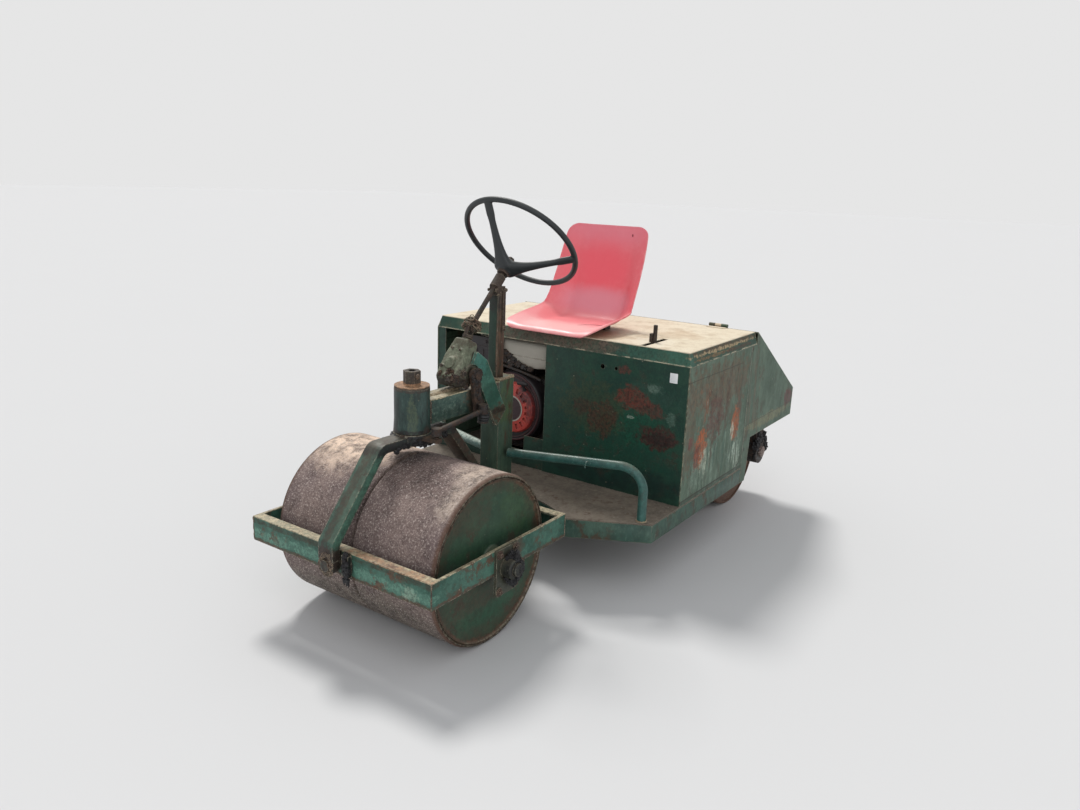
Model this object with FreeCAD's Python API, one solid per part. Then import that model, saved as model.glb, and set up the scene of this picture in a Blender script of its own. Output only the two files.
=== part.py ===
"""Small ride-on road roller with split steered front roll, built as separate sub-parts.

Millimetres. X is forward, Y is to the driver's left, Z is up and the ground is at Z = 0.
Stations along X are measured from the kingpin. The finished pieces are moved along X by
MIDDLE_SHIFT, so that the origin lies on the ground below the middle of the machine.
"""
import FreeCAD
import Part
import math
import os

Vector = FreeCAD.Vector
X_AXIS = Vector(1, 0, 0)
Y_AXIS = Vector(0, 1, 0)
Z_AXIS = Vector(0, 0, 1)

# Clearances: running fit of a shaft, gap between seated faces, gap beside a moving piece,
# and how far a cutting shape passes the face that it cuts, or a joined shape enters its neighbour
RUNNING_FIT = 0.05
SEAT_GAP = 0.2
WASHER_GAP = 0.3
CUT_PAST = 2.0
WELD_DEPTH = 1.0

# Front roll: two drums side by side on one fixed axle
FRONT_ROLL_RADIUS = 280.0
FRONT_ROLL_HALF_WIDTH = 340.0
ROLL_SPLIT_GAP = 7.0
ROLL_RIM_DEPTH = 14.0
ROLL_END_RECESS = 7.0
ROLL_RIM_ROUNDING = 12.0
ROLL_SPLIT_ROUNDING = 10.0
ROLL_HUB_RADIUS = 48.0
ROLL_HUB_STAND_OUT = 24.0
FRONT_AXLE_RADIUS = 22.0

# Roll frame around the front roll, and the pieces that carry the axle in it
ROLL_END_GAP = 25.0
ROLL_SIDE_GAP = 40.0
ROLL_FRAME_OVER_AXLE = 67.0
ROLL_FRAME_DEPTH = 84.0
ROLL_FRAME_SIDE_THICKNESS = 10.0
ROLL_FRAME_CHANNEL_FLANGE = 34.0
ROLL_FRAME_CHANNEL_WALL = 7.0
AXLE_PLATE_WIDTH = 108.0
AXLE_PLATE_HEIGHT = 156.0
AXLE_PLATE_THICKNESS = 9.0
AXLE_PLATE_CORNER = 12.0
AXLE_HUB_RADIUS = 34.0
AXLE_HUB_LENGTH = 38.0
AXLE_HUB_ROUNDING = 8.0
AXLE_CAP_RADIUS = 22.0
AXLE_CAP_LENGTH = 10.0
AXLE_CAP_ROUNDING = 3.0
ROLL_FRAME_TOP = FRONT_ROLL_RADIUS + ROLL_FRAME_OVER_AXLE
ROLL_FRAME_HALF_LENGTH = FRONT_ROLL_RADIUS + ROLL_END_GAP + ROLL_FRAME_CHANNEL_FLANGE
ROLL_FRAME_HALF_WIDTH = FRONT_ROLL_HALF_WIDTH + ROLL_SIDE_GAP + ROLL_FRAME_SIDE_THICKNESS

# Fore-and-aft pivot pins between yoke and roll frame, and the lock piece beside the front one
ROCK_PIN_OVER_AXLE = 21.0
ROCK_PIN_Z = FRONT_ROLL_RADIUS + ROCK_PIN_OVER_AXLE
ROCK_PIN_RADIUS = 12.0
ROCK_BOSS_RADIUS = 31.0
ROCK_BOSS_LENGTH = 30.0
ROCK_WASHER_THICKNESS = 8.0
ROCK_WASHER_RADIUS = 25.0
ROCK_HEAD_THICKNESS = 6.0
ROCK_HEAD_RADIUS = 19.0
LOCK_Y = 42.0
LOCK_WIDTH = 28.0
LOCK_HEIGHT = 70.0
LOCK_THICKNESS = 14.0
LOCK_DROP = 8.0

# Yoke: one bent bar over the roll
YOKE_BAR_WIDTH = 62.0
YOKE_BAR_THICKNESS = 30.0
YOKE_ROLL_GAP = 44.0
YOKE_BEND_INSET = 113.0
YOKE_BEND_RADIUS = 46.0
YOKE_KNEE_OVER_AXLE = 94.0
YOKE_KNEE_RADIUS = 30.0
YOKE_CROWN_RADIUS = 62.0
YOKE_CROWN_RISE = 6.0
YOKE_TOP_Z = 2 * FRONT_ROLL_RADIUS + YOKE_ROLL_GAP + YOKE_BAR_THICKNESS
YOKE_BEND_X = FRONT_ROLL_RADIUS - YOKE_BEND_INSET
YOKE_KNEE_Z = FRONT_ROLL_RADIUS + YOKE_KNEE_OVER_AXLE
YOKE_INNER_X = ROLL_FRAME_HALF_LENGTH + ROCK_WASHER_THICKNESS
YOKE_OUTER_X = YOKE_INNER_X + ROCK_BOSS_LENGTH

# Steering head and kingpin
HEAD_RADIUS = 58.0
HEAD_LENGTH = 147.0
HEAD_FOOT_FLARE = 3.0
HEAD_FOOT_HEIGHT = 46.0
HEAD_EDGE_ROUNDING = 3.0
KINGPIN_RADIUS = 25.0
HEAD_CAP_RADIUS = 57.0
HEAD_CAP_THICKNESS = 8.0
KINGPIN_NUT_ACROSS = 50.0
KINGPIN_NUT_HEIGHT = 46.0
HEAD_BOTTOM = YOKE_TOP_Z + YOKE_CROWN_RISE
HEAD_TOP = HEAD_BOTTOM + HEAD_LENGTH

# Neck beam between head and post: two channels welded toe to toe
NECK_HALF_WIDTH = 43.0
NECK_OVER_HEAD_FOOT = 20.0
NECK_DEPTH = 82.0
NECK_WALL = 8.0
NECK_SEAM_WIDTH = 8.0
NECK_SEAM_DEPTH = 3.0
NECK_BOTTOM = HEAD_BOTTOM + NECK_OVER_HEAD_FOOT
NECK_TOP = NECK_BOTTOM + NECK_DEPTH

# Posts: the lower one stands behind the yoke's swing and carries the upper one
POST_SWING_GAP = 31.0
POST_DEPTH = 88.0
POST_WIDTH = 80.0
POST_WALL = 5.0
POST_OVER_NECK = 6.0
POST_CAP = 8.0
COLUMN_POST_SIZE = 40.0
COLUMN_POST_WALL = 4.0
COLUMN_POST_OFFSET = 10.0
COLUMN_POST_LAP_LENGTH = 180.0
POST_FRONT_X = -YOKE_OUTER_X - POST_SWING_GAP
POST_TOP = NECK_TOP + POST_OVER_NECK
COLUMN_POST_FRONT_X = POST_FRONT_X - COLUMN_POST_OFFSET

# Steering column, wheel and universal joint
COLUMN_JOINT_REACH = 119.0
COLUMN_JOINT_OVER_POST = 193.0
COLUMN_ANGLE = 45.0
COLUMN_SHAFT_RADIUS = 9.0
COLUMN_BEARING_RADIUS = 19.0
COLUMN_BEARING_LENGTH = 50.0
COLUMN_SADDLE_HEIGHT = 30.0
COLUMN_POST_DROP = 25.0
COLUMN_JOINT_X = POST_FRONT_X + COLUMN_JOINT_REACH
COLUMN_JOINT_Z = POST_TOP + COLUMN_JOINT_OVER_POST
WHEEL_DISH = 140.0
WHEEL_RADIUS = 217.0
WHEEL_GRIP_RADIUS = 11.0
WHEEL_HUB_RADIUS = 26.0
WHEEL_HUB_FOOT_RADIUS = 19.0
WHEEL_HUB_LENGTH = 46.0
WHEEL_HUB_ROUNDING = 5.0
WHEEL_HUB_GAP = 20.3
WHEEL_SOCKET_DEPTH = 20.0
WHEEL_SPOKE_WIDTH = 26.0
WHEEL_SPOKE_TIP_WIDTH = 15.0
WHEEL_SPOKE_THICKNESS = 10.0
WHEEL_SPOKE_ROOT_RADIUS = 15.0
WHEEL_SPOKE_ROOT_HEIGHT = 16.0
SPOKE_TURNS = (-9.0, 105.0, 231.0)
UJOINT_RADIUS = 18.0
UJOINT_EAR_LENGTH = 24.0
UJOINT_EAR_OVERRUN = 9.0
UJOINT_EAR_WIDTH = 14.0
UJOINT_EAR_THICKNESS = 6.0
UJOINT_HUB_LENGTH = 10.0
UJOINT_EAR_SPACING = 18.0
UJOINT_BALL_RADIUS = 8.8
UJOINT_PIN_RADIUS = 5.0
UJOINT_PLAY = 2.0
COLUMN_BEARING_STATION = (
    (COLUMN_JOINT_X - COLUMN_POST_FRONT_X + COLUMN_POST_SIZE / 2) / math.cos(math.radians(COLUMN_ANGLE))
)
COLUMN_LENGTH = COLUMN_BEARING_STATION + COLUMN_BEARING_LENGTH / 2 + WHEEL_HUB_GAP
COLUMN_AXIS_OVER_POST = COLUMN_JOINT_Z + COLUMN_BEARING_STATION * math.sin(math.radians(COLUMN_ANGLE))
COLUMN_POST_TOP = COLUMN_AXIS_OVER_POST - COLUMN_BEARING_RADIUS - COLUMN_POST_DROP

# Steering box, its bracket, pitman arm and drag link; stations run down the box's axis
BOX_ANGLE = 65.0
BOX_TOP_GAP = 40.0
BOX_TOP_HALF_DEPTH = 28.0
BOX_BULGE_STATION = 188.0
BOX_BULGE_DEPTH = 54.0
BOX_FRONT_FOOT_STATION = 216.0
BOX_FRONT_FOOT_DEPTH = 36.0
BOX_REAR_FOOT_STATION = 196.0
BOX_REAR_FOOT_DEPTH = 36.0
BOX_REAR_SHOULDER_STATION = 70.0
BOX_REAR_SHOULDER_DEPTH = 30.0
BOX_CORNER_ROUNDING = 10.0
BOX_TOP_HALF_WIDTH = 27.0
BOX_WIDE_STATION = 108.0
BOX_NARROW_STATION = 194.0
BOX_FOOT_HALF_WIDTH = 34.0
BOX_SIDE_ROUNDING = 9.0
BOX_NECK_RADIUS = 17.0
BOX_NECK_LENGTH = 5.0
BOX_BOSS_STATION = 138.0
BOX_BOSS_RADIUS = 20.0
BOX_BOSS_LENGTH = 12.0
BOX_BOSS_ROOT = 15.0
INPUT_SHAFT_RADIUS = 9.0
INPUT_SHAFT_ENGAGEMENT = 30.0
SECTOR_STATION = 152.0
SECTOR_OFFSET = -18.0
SECTOR_SHAFT_RADIUS = 14.0
SECTOR_COVER_RADIUS = 34.0
SECTOR_COVER_THICKNESS = 7.0
BRACKET_THICKNESS = 10.0
BRACKET_OUTLINE = (
    # x from the post's front, distance below the universal joint, corner radius
    (168.0, 111.0, 6.0),
    (144.0, 67.0, 8.0),
    (86.0, 107.0, 14.0),
    (-28.0, 307.0, 12.0),
    (28.0, 363.0, 12.0),
    (75.0, 277.0, 20.0),
)
PITMAN_GAP = 8.0
PITMAN_LENGTH = 125.0
PITMAN_THICKNESS = 12.0
PITMAN_HUB_RADIUS = 24.0
PITMAN_EYE_RADIUS = 19.0
PITMAN_TILT = 8.0
PITMAN_NUT_ACROSS = 31.0
PITMAN_NUT_HEIGHT = 12.0
BALL_STUD_RADIUS = 8.0
BALL_STUD_LENGTH = 24.0
LINK_RADIUS = 9.0
LINK_SOCKET_RADIUS = 17.0
LINK_SOCKET_LENGTH = 44.0
LINK_FRONT_SOCKET_LENGTH = 24.0
LINK_BOOT_TOP_RADIUS = 13.0
LINK_BOOT_FOOT_RADIUS = 20.0
LINK_BOOT_HEIGHT = 20.0
STEERING_ARM_REACH = 106.0
STEERING_ARM_THICKNESS = 12.0
STEERING_ARM_WIDTH = 40.0
STEERING_ARM_TIP_RADIUS = 17.0
STEERING_STUD_HEIGHT = 5.0
OPEN_EYE_GAP = 6.0

# Body housing of sheet steel; the lid's rear edge places everything behind it
BODY_HALF_WIDTH = 600.0
HOUSING_FRONT_X = -800.0
HOUSING_TOP = 814.0
SHEET = 3.0
SLOPE_SHEET = 3.6
CORNER_ANGLE_WIDTH = 32.0
CORNER_ANGLE_WALL = 4.0
LID_TOP = 864.5
LID_BEVEL = 15.0
LID_LENGTH = 648.0
LID_SEAT_GAP = 0.5
LID_END_GAP = 5.0
REAR_POST_WIDTH = 53.0
OVERHANG_STEP = 24.0
OVERHANG_STEP_SLANT = 20.0
OVERHANG_LENGTH = 538.0
SLOPE_FOOT_Z = 533.0
OVERHANG_BOTTOM = 402.0
OVERHANG_RAIL_DEPTH = 74.0
LID_REAR_X = HOUSING_FRONT_X - LID_LENGTH
BASE_REAR_X = LID_REAR_X + REAR_POST_WIDTH
STEP_X = LID_REAR_X - OVERHANG_STEP
BODY_REAR_X = LID_REAR_X - OVERHANG_LENGTH

# Platform: perimeter rail of angle iron with a plate on top, cut round for the roll frame's swing
PLATFORM_TOP = 282.0
PLATFORM_BOTTOM = 210.0
PLATFORM_CORNER_REACH = 215.5
PLATFORM_CORNER_X = HOUSING_FRONT_X + PLATFORM_CORNER_REACH
PLATFORM_SHOULDER_INSET = 274.0
PLATFORM_SHOULDER_Y = BODY_HALF_WIDTH - PLATFORM_SHOULDER_INSET
SWING_GAP = 28.3
SWING_CUT_RADIUS = math.hypot(ROLL_FRAME_HALF_LENGTH, ROLL_FRAME_HALF_WIDTH) + SWING_GAP
TONGUE_HALF_WIDTH = 56.0
FLOOR_THICKNESS = 5.0
RAIL_WALL = 6.0
RAIL_FLANGE = 38.0
CROSS_MEMBERS = 2
CROSS_MEMBER_WIDTH = 40.0
CROSS_MEMBER_RISE = 20.0

# Tube guards beside the footwell
GUARD_TUBE_RADIUS = 16.5
GUARD_TUBE_WALL = 3.0
GUARD_START_Z = 466.0
GUARD_KNEE_Z = 480.0
GUARD_FOOT_SETBACK = 3.5
GUARD_FOOT_INSET = 47.0
GUARD_POST_INSET = 40.0
GUARD_BEND_RADIUS = 88.0
GUARD_FOOT_X = PLATFORM_CORNER_X - GUARD_FOOT_SETBACK
GUARD_FOOT_Y = BODY_HALF_WIDTH - GUARD_FOOT_INSET

# Opening in the front of the housing, and the holes in its panel as distances from the left side
OPENING_LEFT_Y = -27.0
OPENING_RIGHT_INSET = 45.0
OPENING_RIGHT_Y = OPENING_RIGHT_INSET - BODY_HALF_WIDTH
OPENING_SILL_Z = 350.0
OPENING_STEP_Z = 416.0
OPENING_STEP_WIDTH = 98.0
PANEL_HOLE_Z = 765.0
PANEL_HOLES = (
    # distance from the body's left side, radius
    (364.0, 9.0),
    (304.0, 6.5),
)

# Lever slot in the lid, and the lever with its pivot block
SLOT_INSET = 208.0
SLOT_Y = BODY_HALF_WIDTH - SLOT_INSET
SLOT_WIDTH = 24.0
SLOT_FRONT_INSET = 18.0
SLOT_LENGTH = 190.0
LEVER_STATION = 96.0
LEVER_RADIUS = 8.0
LEVER_TOP = 930.0
LEVER_PIVOT_LENGTH = 80.0
LEVER_PIVOT_WIDTH = 50.0
LEVER_PIVOT_HEIGHT = 90.0

# Lid hinges
HINGE_RADIUS = 7.0
HINGE_PIN_RADIUS = 3.0
HINGE_KNUCKLE_LENGTH = 28.0
HINGE_KNUCKLE_GAP = 0.6
HINGE_HALF_LENGTH = 42.0
HINGE_LEAF = 34.0
HINGE_LEAF_THICKNESS = 2.5
HINGE_SWING = 10.0
HINGE_INSET = 180.0
HINGE_Y = BODY_HALF_WIDTH - HINGE_INSET

# Seat: a moulded shell, given by stations along its path, and its two bars on the lid
SEAT_SHELL = 6.0
SEAT_RISE = 18.5
SEAT_FLAT_SHARE = 0.6
SEAT_SHARES = (-1.0, -0.92, -0.8, -0.6, -0.45, 0.0, 0.45, 0.6, 0.8, 0.92, 1.0)
SEAT_BAR_SETBACKS = (50.0, 205.0)
SEAT_BAR_WIDTH = 40.0
SEAT_BAR_HALF_LENGTH = 120.0
SEAT_BAR_GAP = 1.8
SEAT_STATIONS = (
    # distance behind the housing's front, height over the lid, half width, depth of the side wings
    (-50.0, 4.0, 160.0, 3.0),
    (-46.0, 10.5, 184.0, 6.0),
    (-36.0, 16.0, 198.0, 8.0),
    (-14.0, SEAT_RISE, 207.0, 13.0),
    (25.0, SEAT_RISE, 210.0, 20.0),
    (70.0, SEAT_RISE, 213.0, 27.0),
    (130.0, SEAT_RISE, 214.0, 35.0),
    (190.0, SEAT_RISE, 214.0, 43.0),
    (225.0, SEAT_RISE, 214.0, 49.0),
    (250.0, 19.8, 213.0, 54.0),
    (272.0, 25.0, 212.0, 58.0),
    (294.0, 38.0, 210.0, 61.0),
    (313.0, 60.0, 209.0, 62.0),
    (328.0, 91.0, 207.0, 59.0),
    (346.0, 146.0, 205.0, 50.0),
    (364.0, 220.0, 203.0, 35.0),
    (381.0, 300.0, 200.0, 21.0),
    (392.0, 350.0, 196.0, 14.0),
    (400.0, 386.0, 186.0, 9.0),
    (403.0, 400.0, 170.0, 6.0),
    (404.0, 407.5, 146.0, 4.0),
)

# Engine behind the opening
ENGINE_SIDE_GAP = 330.0
ENGINE_SETBACK = 105.0
ENGINE_Y = OPENING_RIGHT_Y + ENGINE_SIDE_GAP
ENGINE_FRONT_X = HOUSING_FRONT_X - ENGINE_SETBACK
ENGINE_LENGTH = 305.0
ENGINE_HALF_WIDTH = 140.0
ENGINE_FOOT_Z = 322.0
ENGINE_FOOT_WIDTH = 50.0
ENGINE_FOOT_INSET = 20.0
ENGINE_FOOT_REACH = 30.0
ENGINE_TOP_Z = 640.0
TANK_STAND_HALF_WIDTH = 60.0
TANK_STAND_LENGTH = 100.0
FAN_CENTRE_Z = 515.0
FAN_HOUSING_RADIUS = 160.0
FAN_HOUSING_DEPTH = 62.0
FAN_HOUSING_TAPER = 6.0
FAN_HOUSING_ROUNDING = 14.0
STARTER_RADIUS = 118.0
STARTER_RIM_DEPTH = 17.0
STARTER_DEPTH = 24.0
STARTER_FACE_RADIUS = 59.0
STARTER_ROUNDING = 6.0
LOUVRE_COUNT = 18
LOUVRE_INNER_RADIUS = 74.0
LOUVRE_OUTER_RADIUS = 98.0
LOUVRE_WIDTH = 14.0
LOUVRE_DEPTH = 9.0
TANK_BOTTOM = 694.0
TANK_TOP = 800.0
TANK_DEPTH = 210.0
TANK_HALF_WIDTH = 198.0
TANK_OVERHANG = 6.0

# Rear roll and its bearings under the overhang
REAR_ROLL_SETBACK = 242.0
REAR_ROLL_RADIUS = 280.0
REAR_ROLL_SIDE_GAP = 150.0
REAR_AXLE_RADIUS = 24.0
REAR_BEARING_INSET = 55.0
REAR_BEARING_LENGTH = 62.0
REAR_BEARING_RADIUS = 56.0
REAR_BEARING_FOOT_LENGTH = 170.0
REAR_BEARING_FOOT_THICKNESS = 14.0
REAR_BEARING_WEB_HALF_LENGTH = 45.0
REAR_BEARING_WEB_INSET = 10.0
REAR_AXLE_STUB = 12.0

MACHINE_FRONT_X = YOKE_OUTER_X + ROCK_HEAD_THICKNESS
MIDDLE_SHIFT = -(MACHINE_FRONT_X + BODY_REAR_X) / 2


def block(x_range, y_range, z_range):
    """Box between two limits along each axis."""
    corner = Vector(min(x_range), min(y_range), min(z_range))
    sizes = [abs(limits[1] - limits[0]) for limits in (x_range, y_range, z_range)]
    return Part.makeBox(sizes[0], sizes[1], sizes[2], corner)


def rod(radius, start, end):
    """Round bar between two points."""
    return Part.makeCylinder(radius, (end - start).Length, start, end - start)


def outline(corners, place):
    """Closed wire through corners (u, v, corner radius), set in space by place(u, v)."""
    flat = [Vector(u, v, 0) for u, v, _ in corners]
    count = len(corners)
    arcs = []
    for index, (here, corner) in enumerate(zip(flat, corners)):
        back = flat[index - 1] - here
        ahead = flat[(index + 1) % count] - here
        if corner[2] <= 0:
            arcs.append((here, None, here))
            continue
        half_turn = back.getAngle(ahead) / 2
        reach = corner[2] / math.tan(half_turn)
        back.normalize()
        ahead.normalize()
        inward = back + ahead
        inward.normalize()
        middle = here + inward * (corner[2] / math.sin(half_turn) - corner[2])
        arcs.append((here + back * reach, middle, here + ahead * reach))
    edges = []
    for index, (enter, middle, leave) in enumerate(arcs):
        if middle is not None:
            points = [place(point.x, point.y) for point in (enter, middle, leave)]
            edges.append(Part.Arc(*points).toShape())
        following = arcs[(index + 1) % count][0]
        if (following - leave).Length > 1e-6:
            edges.append(Part.makeLine(place(leave.x, leave.y), place(following.x, following.y)))
    return Part.Wire(edges)


def side_plate(corners, y_start, y_end):
    """Plate with an outline of (x, z, corner radius), between two Y values."""
    wire = outline(corners, lambda u, v: Vector(u, y_start, v))
    return Part.Face(wire).extrude(Vector(0, y_end - y_start, 0))


def floor_shape(corners, z_start, z_end):
    """Plate with an outline of (x, y, corner radius), between two Z values."""
    wire = outline(corners, lambda u, v: Vector(u, v, z_start))
    return Part.Face(wire).extrude(Vector(0, 0, z_end - z_start))


def front_plate(corners, x_start, x_end):
    """Plate with an outline of (y, z, corner radius), between two X values."""
    wire = outline(corners, lambda u, v: Vector(x_start, u, v))
    return Part.Face(wire).extrude(Vector(x_end - x_start, 0, 0))


def turned(corners, base, axis, radial):
    """Solid of revolution of (radius, station, corner radius) about an axis."""
    wire = outline(corners, lambda u, v: base + radial * u + axis * v)
    return Part.Face(wire).revolve(base, axis, 360)


def hexagon(across, height, base, axis):
    """Hexagonal nut or head standing on a base point."""
    radius = across / math.sqrt(3)
    points = []
    for corner in range(7):
        turn = math.radians(60 * corner)
        points.append(Vector(radius * math.cos(turn), radius * math.sin(turn), 0))
    solid = Part.Face(Part.makePolygon(points)).extrude(Vector(0, 0, height))
    solid.Placement = FreeCAD.Placement(base, FreeCAD.Rotation(Z_AXIS, axis))
    return solid


def mirrored(shape):
    """Copy of a shape for the other side of the machine."""
    return shape.mirror(Vector(0, 0, 0), Y_AXIS)


def roll_drum(radius, inner_y, outer_y, bore_radius, inner_rounding, outer_rounding, hub_out):
    """Closed roll drum on the Y axis with recessed end plates and a bored hub tube."""
    rim_inside = radius - ROLL_RIM_DEPTH
    hub = ROLL_HUB_RADIUS
    low_plate = inner_y + ROLL_END_RECESS
    high_plate = outer_y - ROLL_END_RECESS
    outside = [
        (bore_radius, low_plate, 0),
        (rim_inside, low_plate, 0),
        (rim_inside, inner_y, 0),
        (radius, inner_y, inner_rounding),
        (radius, outer_y, outer_rounding),
        (rim_inside, outer_y, 0),
        (rim_inside, high_plate, 0),
        (hub, high_plate, 0),
        (hub, outer_y + hub_out, 0),
        (bore_radius, outer_y + hub_out, 0),
    ]
    centre = Vector(0, 0, radius)
    return turned(outside, centre, Y_AXIS, Z_AXIS)


def make_front_rolls():
    """The two drums of the front roll, which turn independently."""
    drum = roll_drum(
        FRONT_ROLL_RADIUS,
        ROLL_SPLIT_GAP / 2,
        FRONT_ROLL_HALF_WIDTH,
        FRONT_AXLE_RADIUS + RUNNING_FIT,
        ROLL_SPLIT_ROUNDING,
        ROLL_RIM_ROUNDING,
        ROLL_HUB_STAND_OUT,
    )
    return {"front_roll_left": drum, "front_roll_right": mirrored(drum)}


def channel_across(x_outer, x_inner):
    """Cross channel of the roll frame, its web outside and its flanges turned to the roll."""
    half_width = ROLL_FRAME_HALF_WIDTH - ROLL_FRAME_SIDE_THICKNESS
    bottom = ROLL_FRAME_TOP - ROLL_FRAME_DEPTH
    sign = 1 if x_outer > x_inner else -1
    solid = block((x_outer, x_inner), (-half_width, half_width), (bottom, ROLL_FRAME_TOP))
    wall = ROLL_FRAME_CHANNEL_WALL
    hollow = block(
        (x_outer - sign * wall, x_inner - sign * wall),
        (-half_width, half_width),
        (bottom + wall, ROLL_FRAME_TOP - wall),
    )
    return solid.cut(hollow)


def make_roll_frame():
    """Rectangular frame around the front roll with its rocking pins, washers and lock piece."""
    bottom = ROLL_FRAME_TOP - ROLL_FRAME_DEPTH
    half_length = ROLL_FRAME_HALF_LENGTH
    side_inner = ROLL_FRAME_HALF_WIDTH - ROLL_FRAME_SIDE_THICKNESS
    frame = block(
        (-half_length, half_length), (side_inner, ROLL_FRAME_HALF_WIDTH), (bottom, ROLL_FRAME_TOP)
    )
    frame = frame.fuse(mirrored(frame))
    for sign, pin_end in ((1, MACHINE_FRONT_X), (-1, YOKE_OUTER_X)):
        face = sign * half_length
        frame = frame.fuse(channel_across(face, face - sign * ROLL_FRAME_CHANNEL_FLANGE))
        root = Vector(face - sign * ROLL_FRAME_CHANNEL_FLANGE, 0, ROCK_PIN_Z)
        washer_end = Vector(face + sign * (ROCK_WASHER_THICKNESS - WASHER_GAP), 0, ROCK_PIN_Z)
        frame = frame.fuse(rod(ROCK_PIN_RADIUS, root, Vector(sign * pin_end, 0, ROCK_PIN_Z)))
        frame = frame.fuse(rod(ROCK_WASHER_RADIUS, Vector(face, 0, ROCK_PIN_Z), washer_end))
    lock_top = ROLL_FRAME_TOP - LOCK_DROP
    frame = frame.fuse(block(
        (half_length, half_length + LOCK_THICKNESS),
        (LOCK_Y, LOCK_Y + LOCK_WIDTH),
        (lock_top - LOCK_HEIGHT, lock_top),
    ))
    head_start = Vector(YOKE_OUTER_X + WASHER_GAP, 0, ROCK_PIN_Z)
    frame = frame.fuse(rod(ROCK_HEAD_RADIUS, head_start, Vector(MACHINE_FRONT_X, 0, ROCK_PIN_Z)))
    return {"roll_frame": frame.removeSplitter()}


def make_front_axle():
    """Fixed axle, and on each side the plate and greasy hub that hold it on the roll frame."""
    z = FRONT_ROLL_RADIUS
    plate_out = ROLL_FRAME_HALF_WIDTH + AXLE_PLATE_THICKNESS
    hub_out = plate_out + AXLE_HUB_LENGTH
    half_width = AXLE_PLATE_WIDTH / 2
    bottom = ROLL_FRAME_TOP - AXLE_PLATE_HEIGHT
    plate = side_plate(
        [
            (-half_width, bottom, AXLE_PLATE_CORNER),
            (half_width, bottom, AXLE_PLATE_CORNER),
            (half_width, ROLL_FRAME_TOP, 0),
            (-half_width, ROLL_FRAME_TOP, 0),
        ],
        ROLL_FRAME_HALF_WIDTH,
        plate_out,
    )
    hub = turned(
        [
            (0, plate_out, 0),
            (AXLE_HUB_RADIUS, plate_out, 0),
            (AXLE_HUB_RADIUS, hub_out, AXLE_HUB_ROUNDING),
            (AXLE_CAP_RADIUS, hub_out, 0),
            (AXLE_CAP_RADIUS, hub_out + AXLE_CAP_LENGTH, AXLE_CAP_ROUNDING),
            (0, hub_out + AXLE_CAP_LENGTH, 0),
        ],
        Vector(0, 0, z),
        Y_AXIS,
        Z_AXIS,
    )
    carrier = plate.fuse(hub)
    axle_end = ROLL_FRAME_HALF_WIDTH - ROLL_FRAME_SIDE_THICKNESS
    axle = rod(FRONT_AXLE_RADIUS, Vector(0, -axle_end, z), Vector(0, axle_end, z))
    return {
        "front_axle": axle,
        "axle_hub_left": carrier,
        "axle_hub_right": mirrored(carrier),
    }


def make_yoke():
    """Bent yoke bar with crown disc and rocking bosses, the kingpin and the steering arm."""
    foot_z = ROCK_PIN_Z + ROCK_BOSS_RADIUS / 2
    lower = YOKE_TOP_Z - YOKE_BAR_THICKNESS
    leg_outer = YOKE_INNER_X + YOKE_BAR_THICKNESS
    lean = math.atan2(YOKE_TOP_Z - YOKE_KNEE_Z, leg_outer - YOKE_BEND_X)
    inner_bend = YOKE_BEND_X - YOKE_BAR_THICKNESS * math.tan(lean / 2)
    inner_knee = YOKE_KNEE_Z - YOKE_BAR_THICKNESS * math.tan(math.pi / 4 - lean / 2)
    front_half = [
        (inner_bend, lower, YOKE_BEND_RADIUS - YOKE_BAR_THICKNESS / 2),
        (YOKE_INNER_X, inner_knee, YOKE_KNEE_RADIUS),
        (YOKE_INNER_X, foot_z, 0),
        (leg_outer, foot_z, 0),
        (leg_outer, YOKE_KNEE_Z, YOKE_KNEE_RADIUS),
        (YOKE_BEND_X, YOKE_TOP_Z, YOKE_BEND_RADIUS),
    ]
    rear_half = [(-x, z, radius) for x, z, radius in reversed(front_half)]
    yoke = side_plate(front_half + rear_half, -YOKE_BAR_WIDTH / 2, YOKE_BAR_WIDTH / 2)
    crown_top = HEAD_BOTTOM - WASHER_GAP
    yoke = yoke.fuse(rod(YOKE_CROWN_RADIUS, Vector(0, 0, lower), Vector(0, 0, crown_top)))
    for sign in (1, -1):
        inner = Vector(sign * YOKE_INNER_X, 0, ROCK_PIN_Z)
        outer = Vector(sign * YOKE_OUTER_X, 0, ROCK_PIN_Z)
        past = Vector(sign * CUT_PAST, 0, 0)
        yoke = yoke.fuse(rod(ROCK_BOSS_RADIUS, inner, outer))
        yoke = yoke.cut(rod(ROCK_PIN_RADIUS + RUNNING_FIT, inner - past, outer + past))
    cap_foot = HEAD_TOP + WASHER_GAP
    cap_top = cap_foot + HEAD_CAP_THICKNESS
    kingpin = rod(KINGPIN_RADIUS, Vector(0, 0, crown_top), Vector(0, 0, cap_top))
    kingpin = kingpin.fuse(rod(HEAD_CAP_RADIUS, Vector(0, 0, cap_foot), Vector(0, 0, cap_top)))
    kingpin = kingpin.fuse(hexagon(KINGPIN_NUT_ACROSS, KINGPIN_NUT_HEIGHT, Vector(0, 0, cap_top), Z_AXIS))
    return {
        "yoke": yoke.removeSplitter(),
        "kingpin": kingpin.removeSplitter(),
        "steering_arm": steering_arm(),
    }


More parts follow.
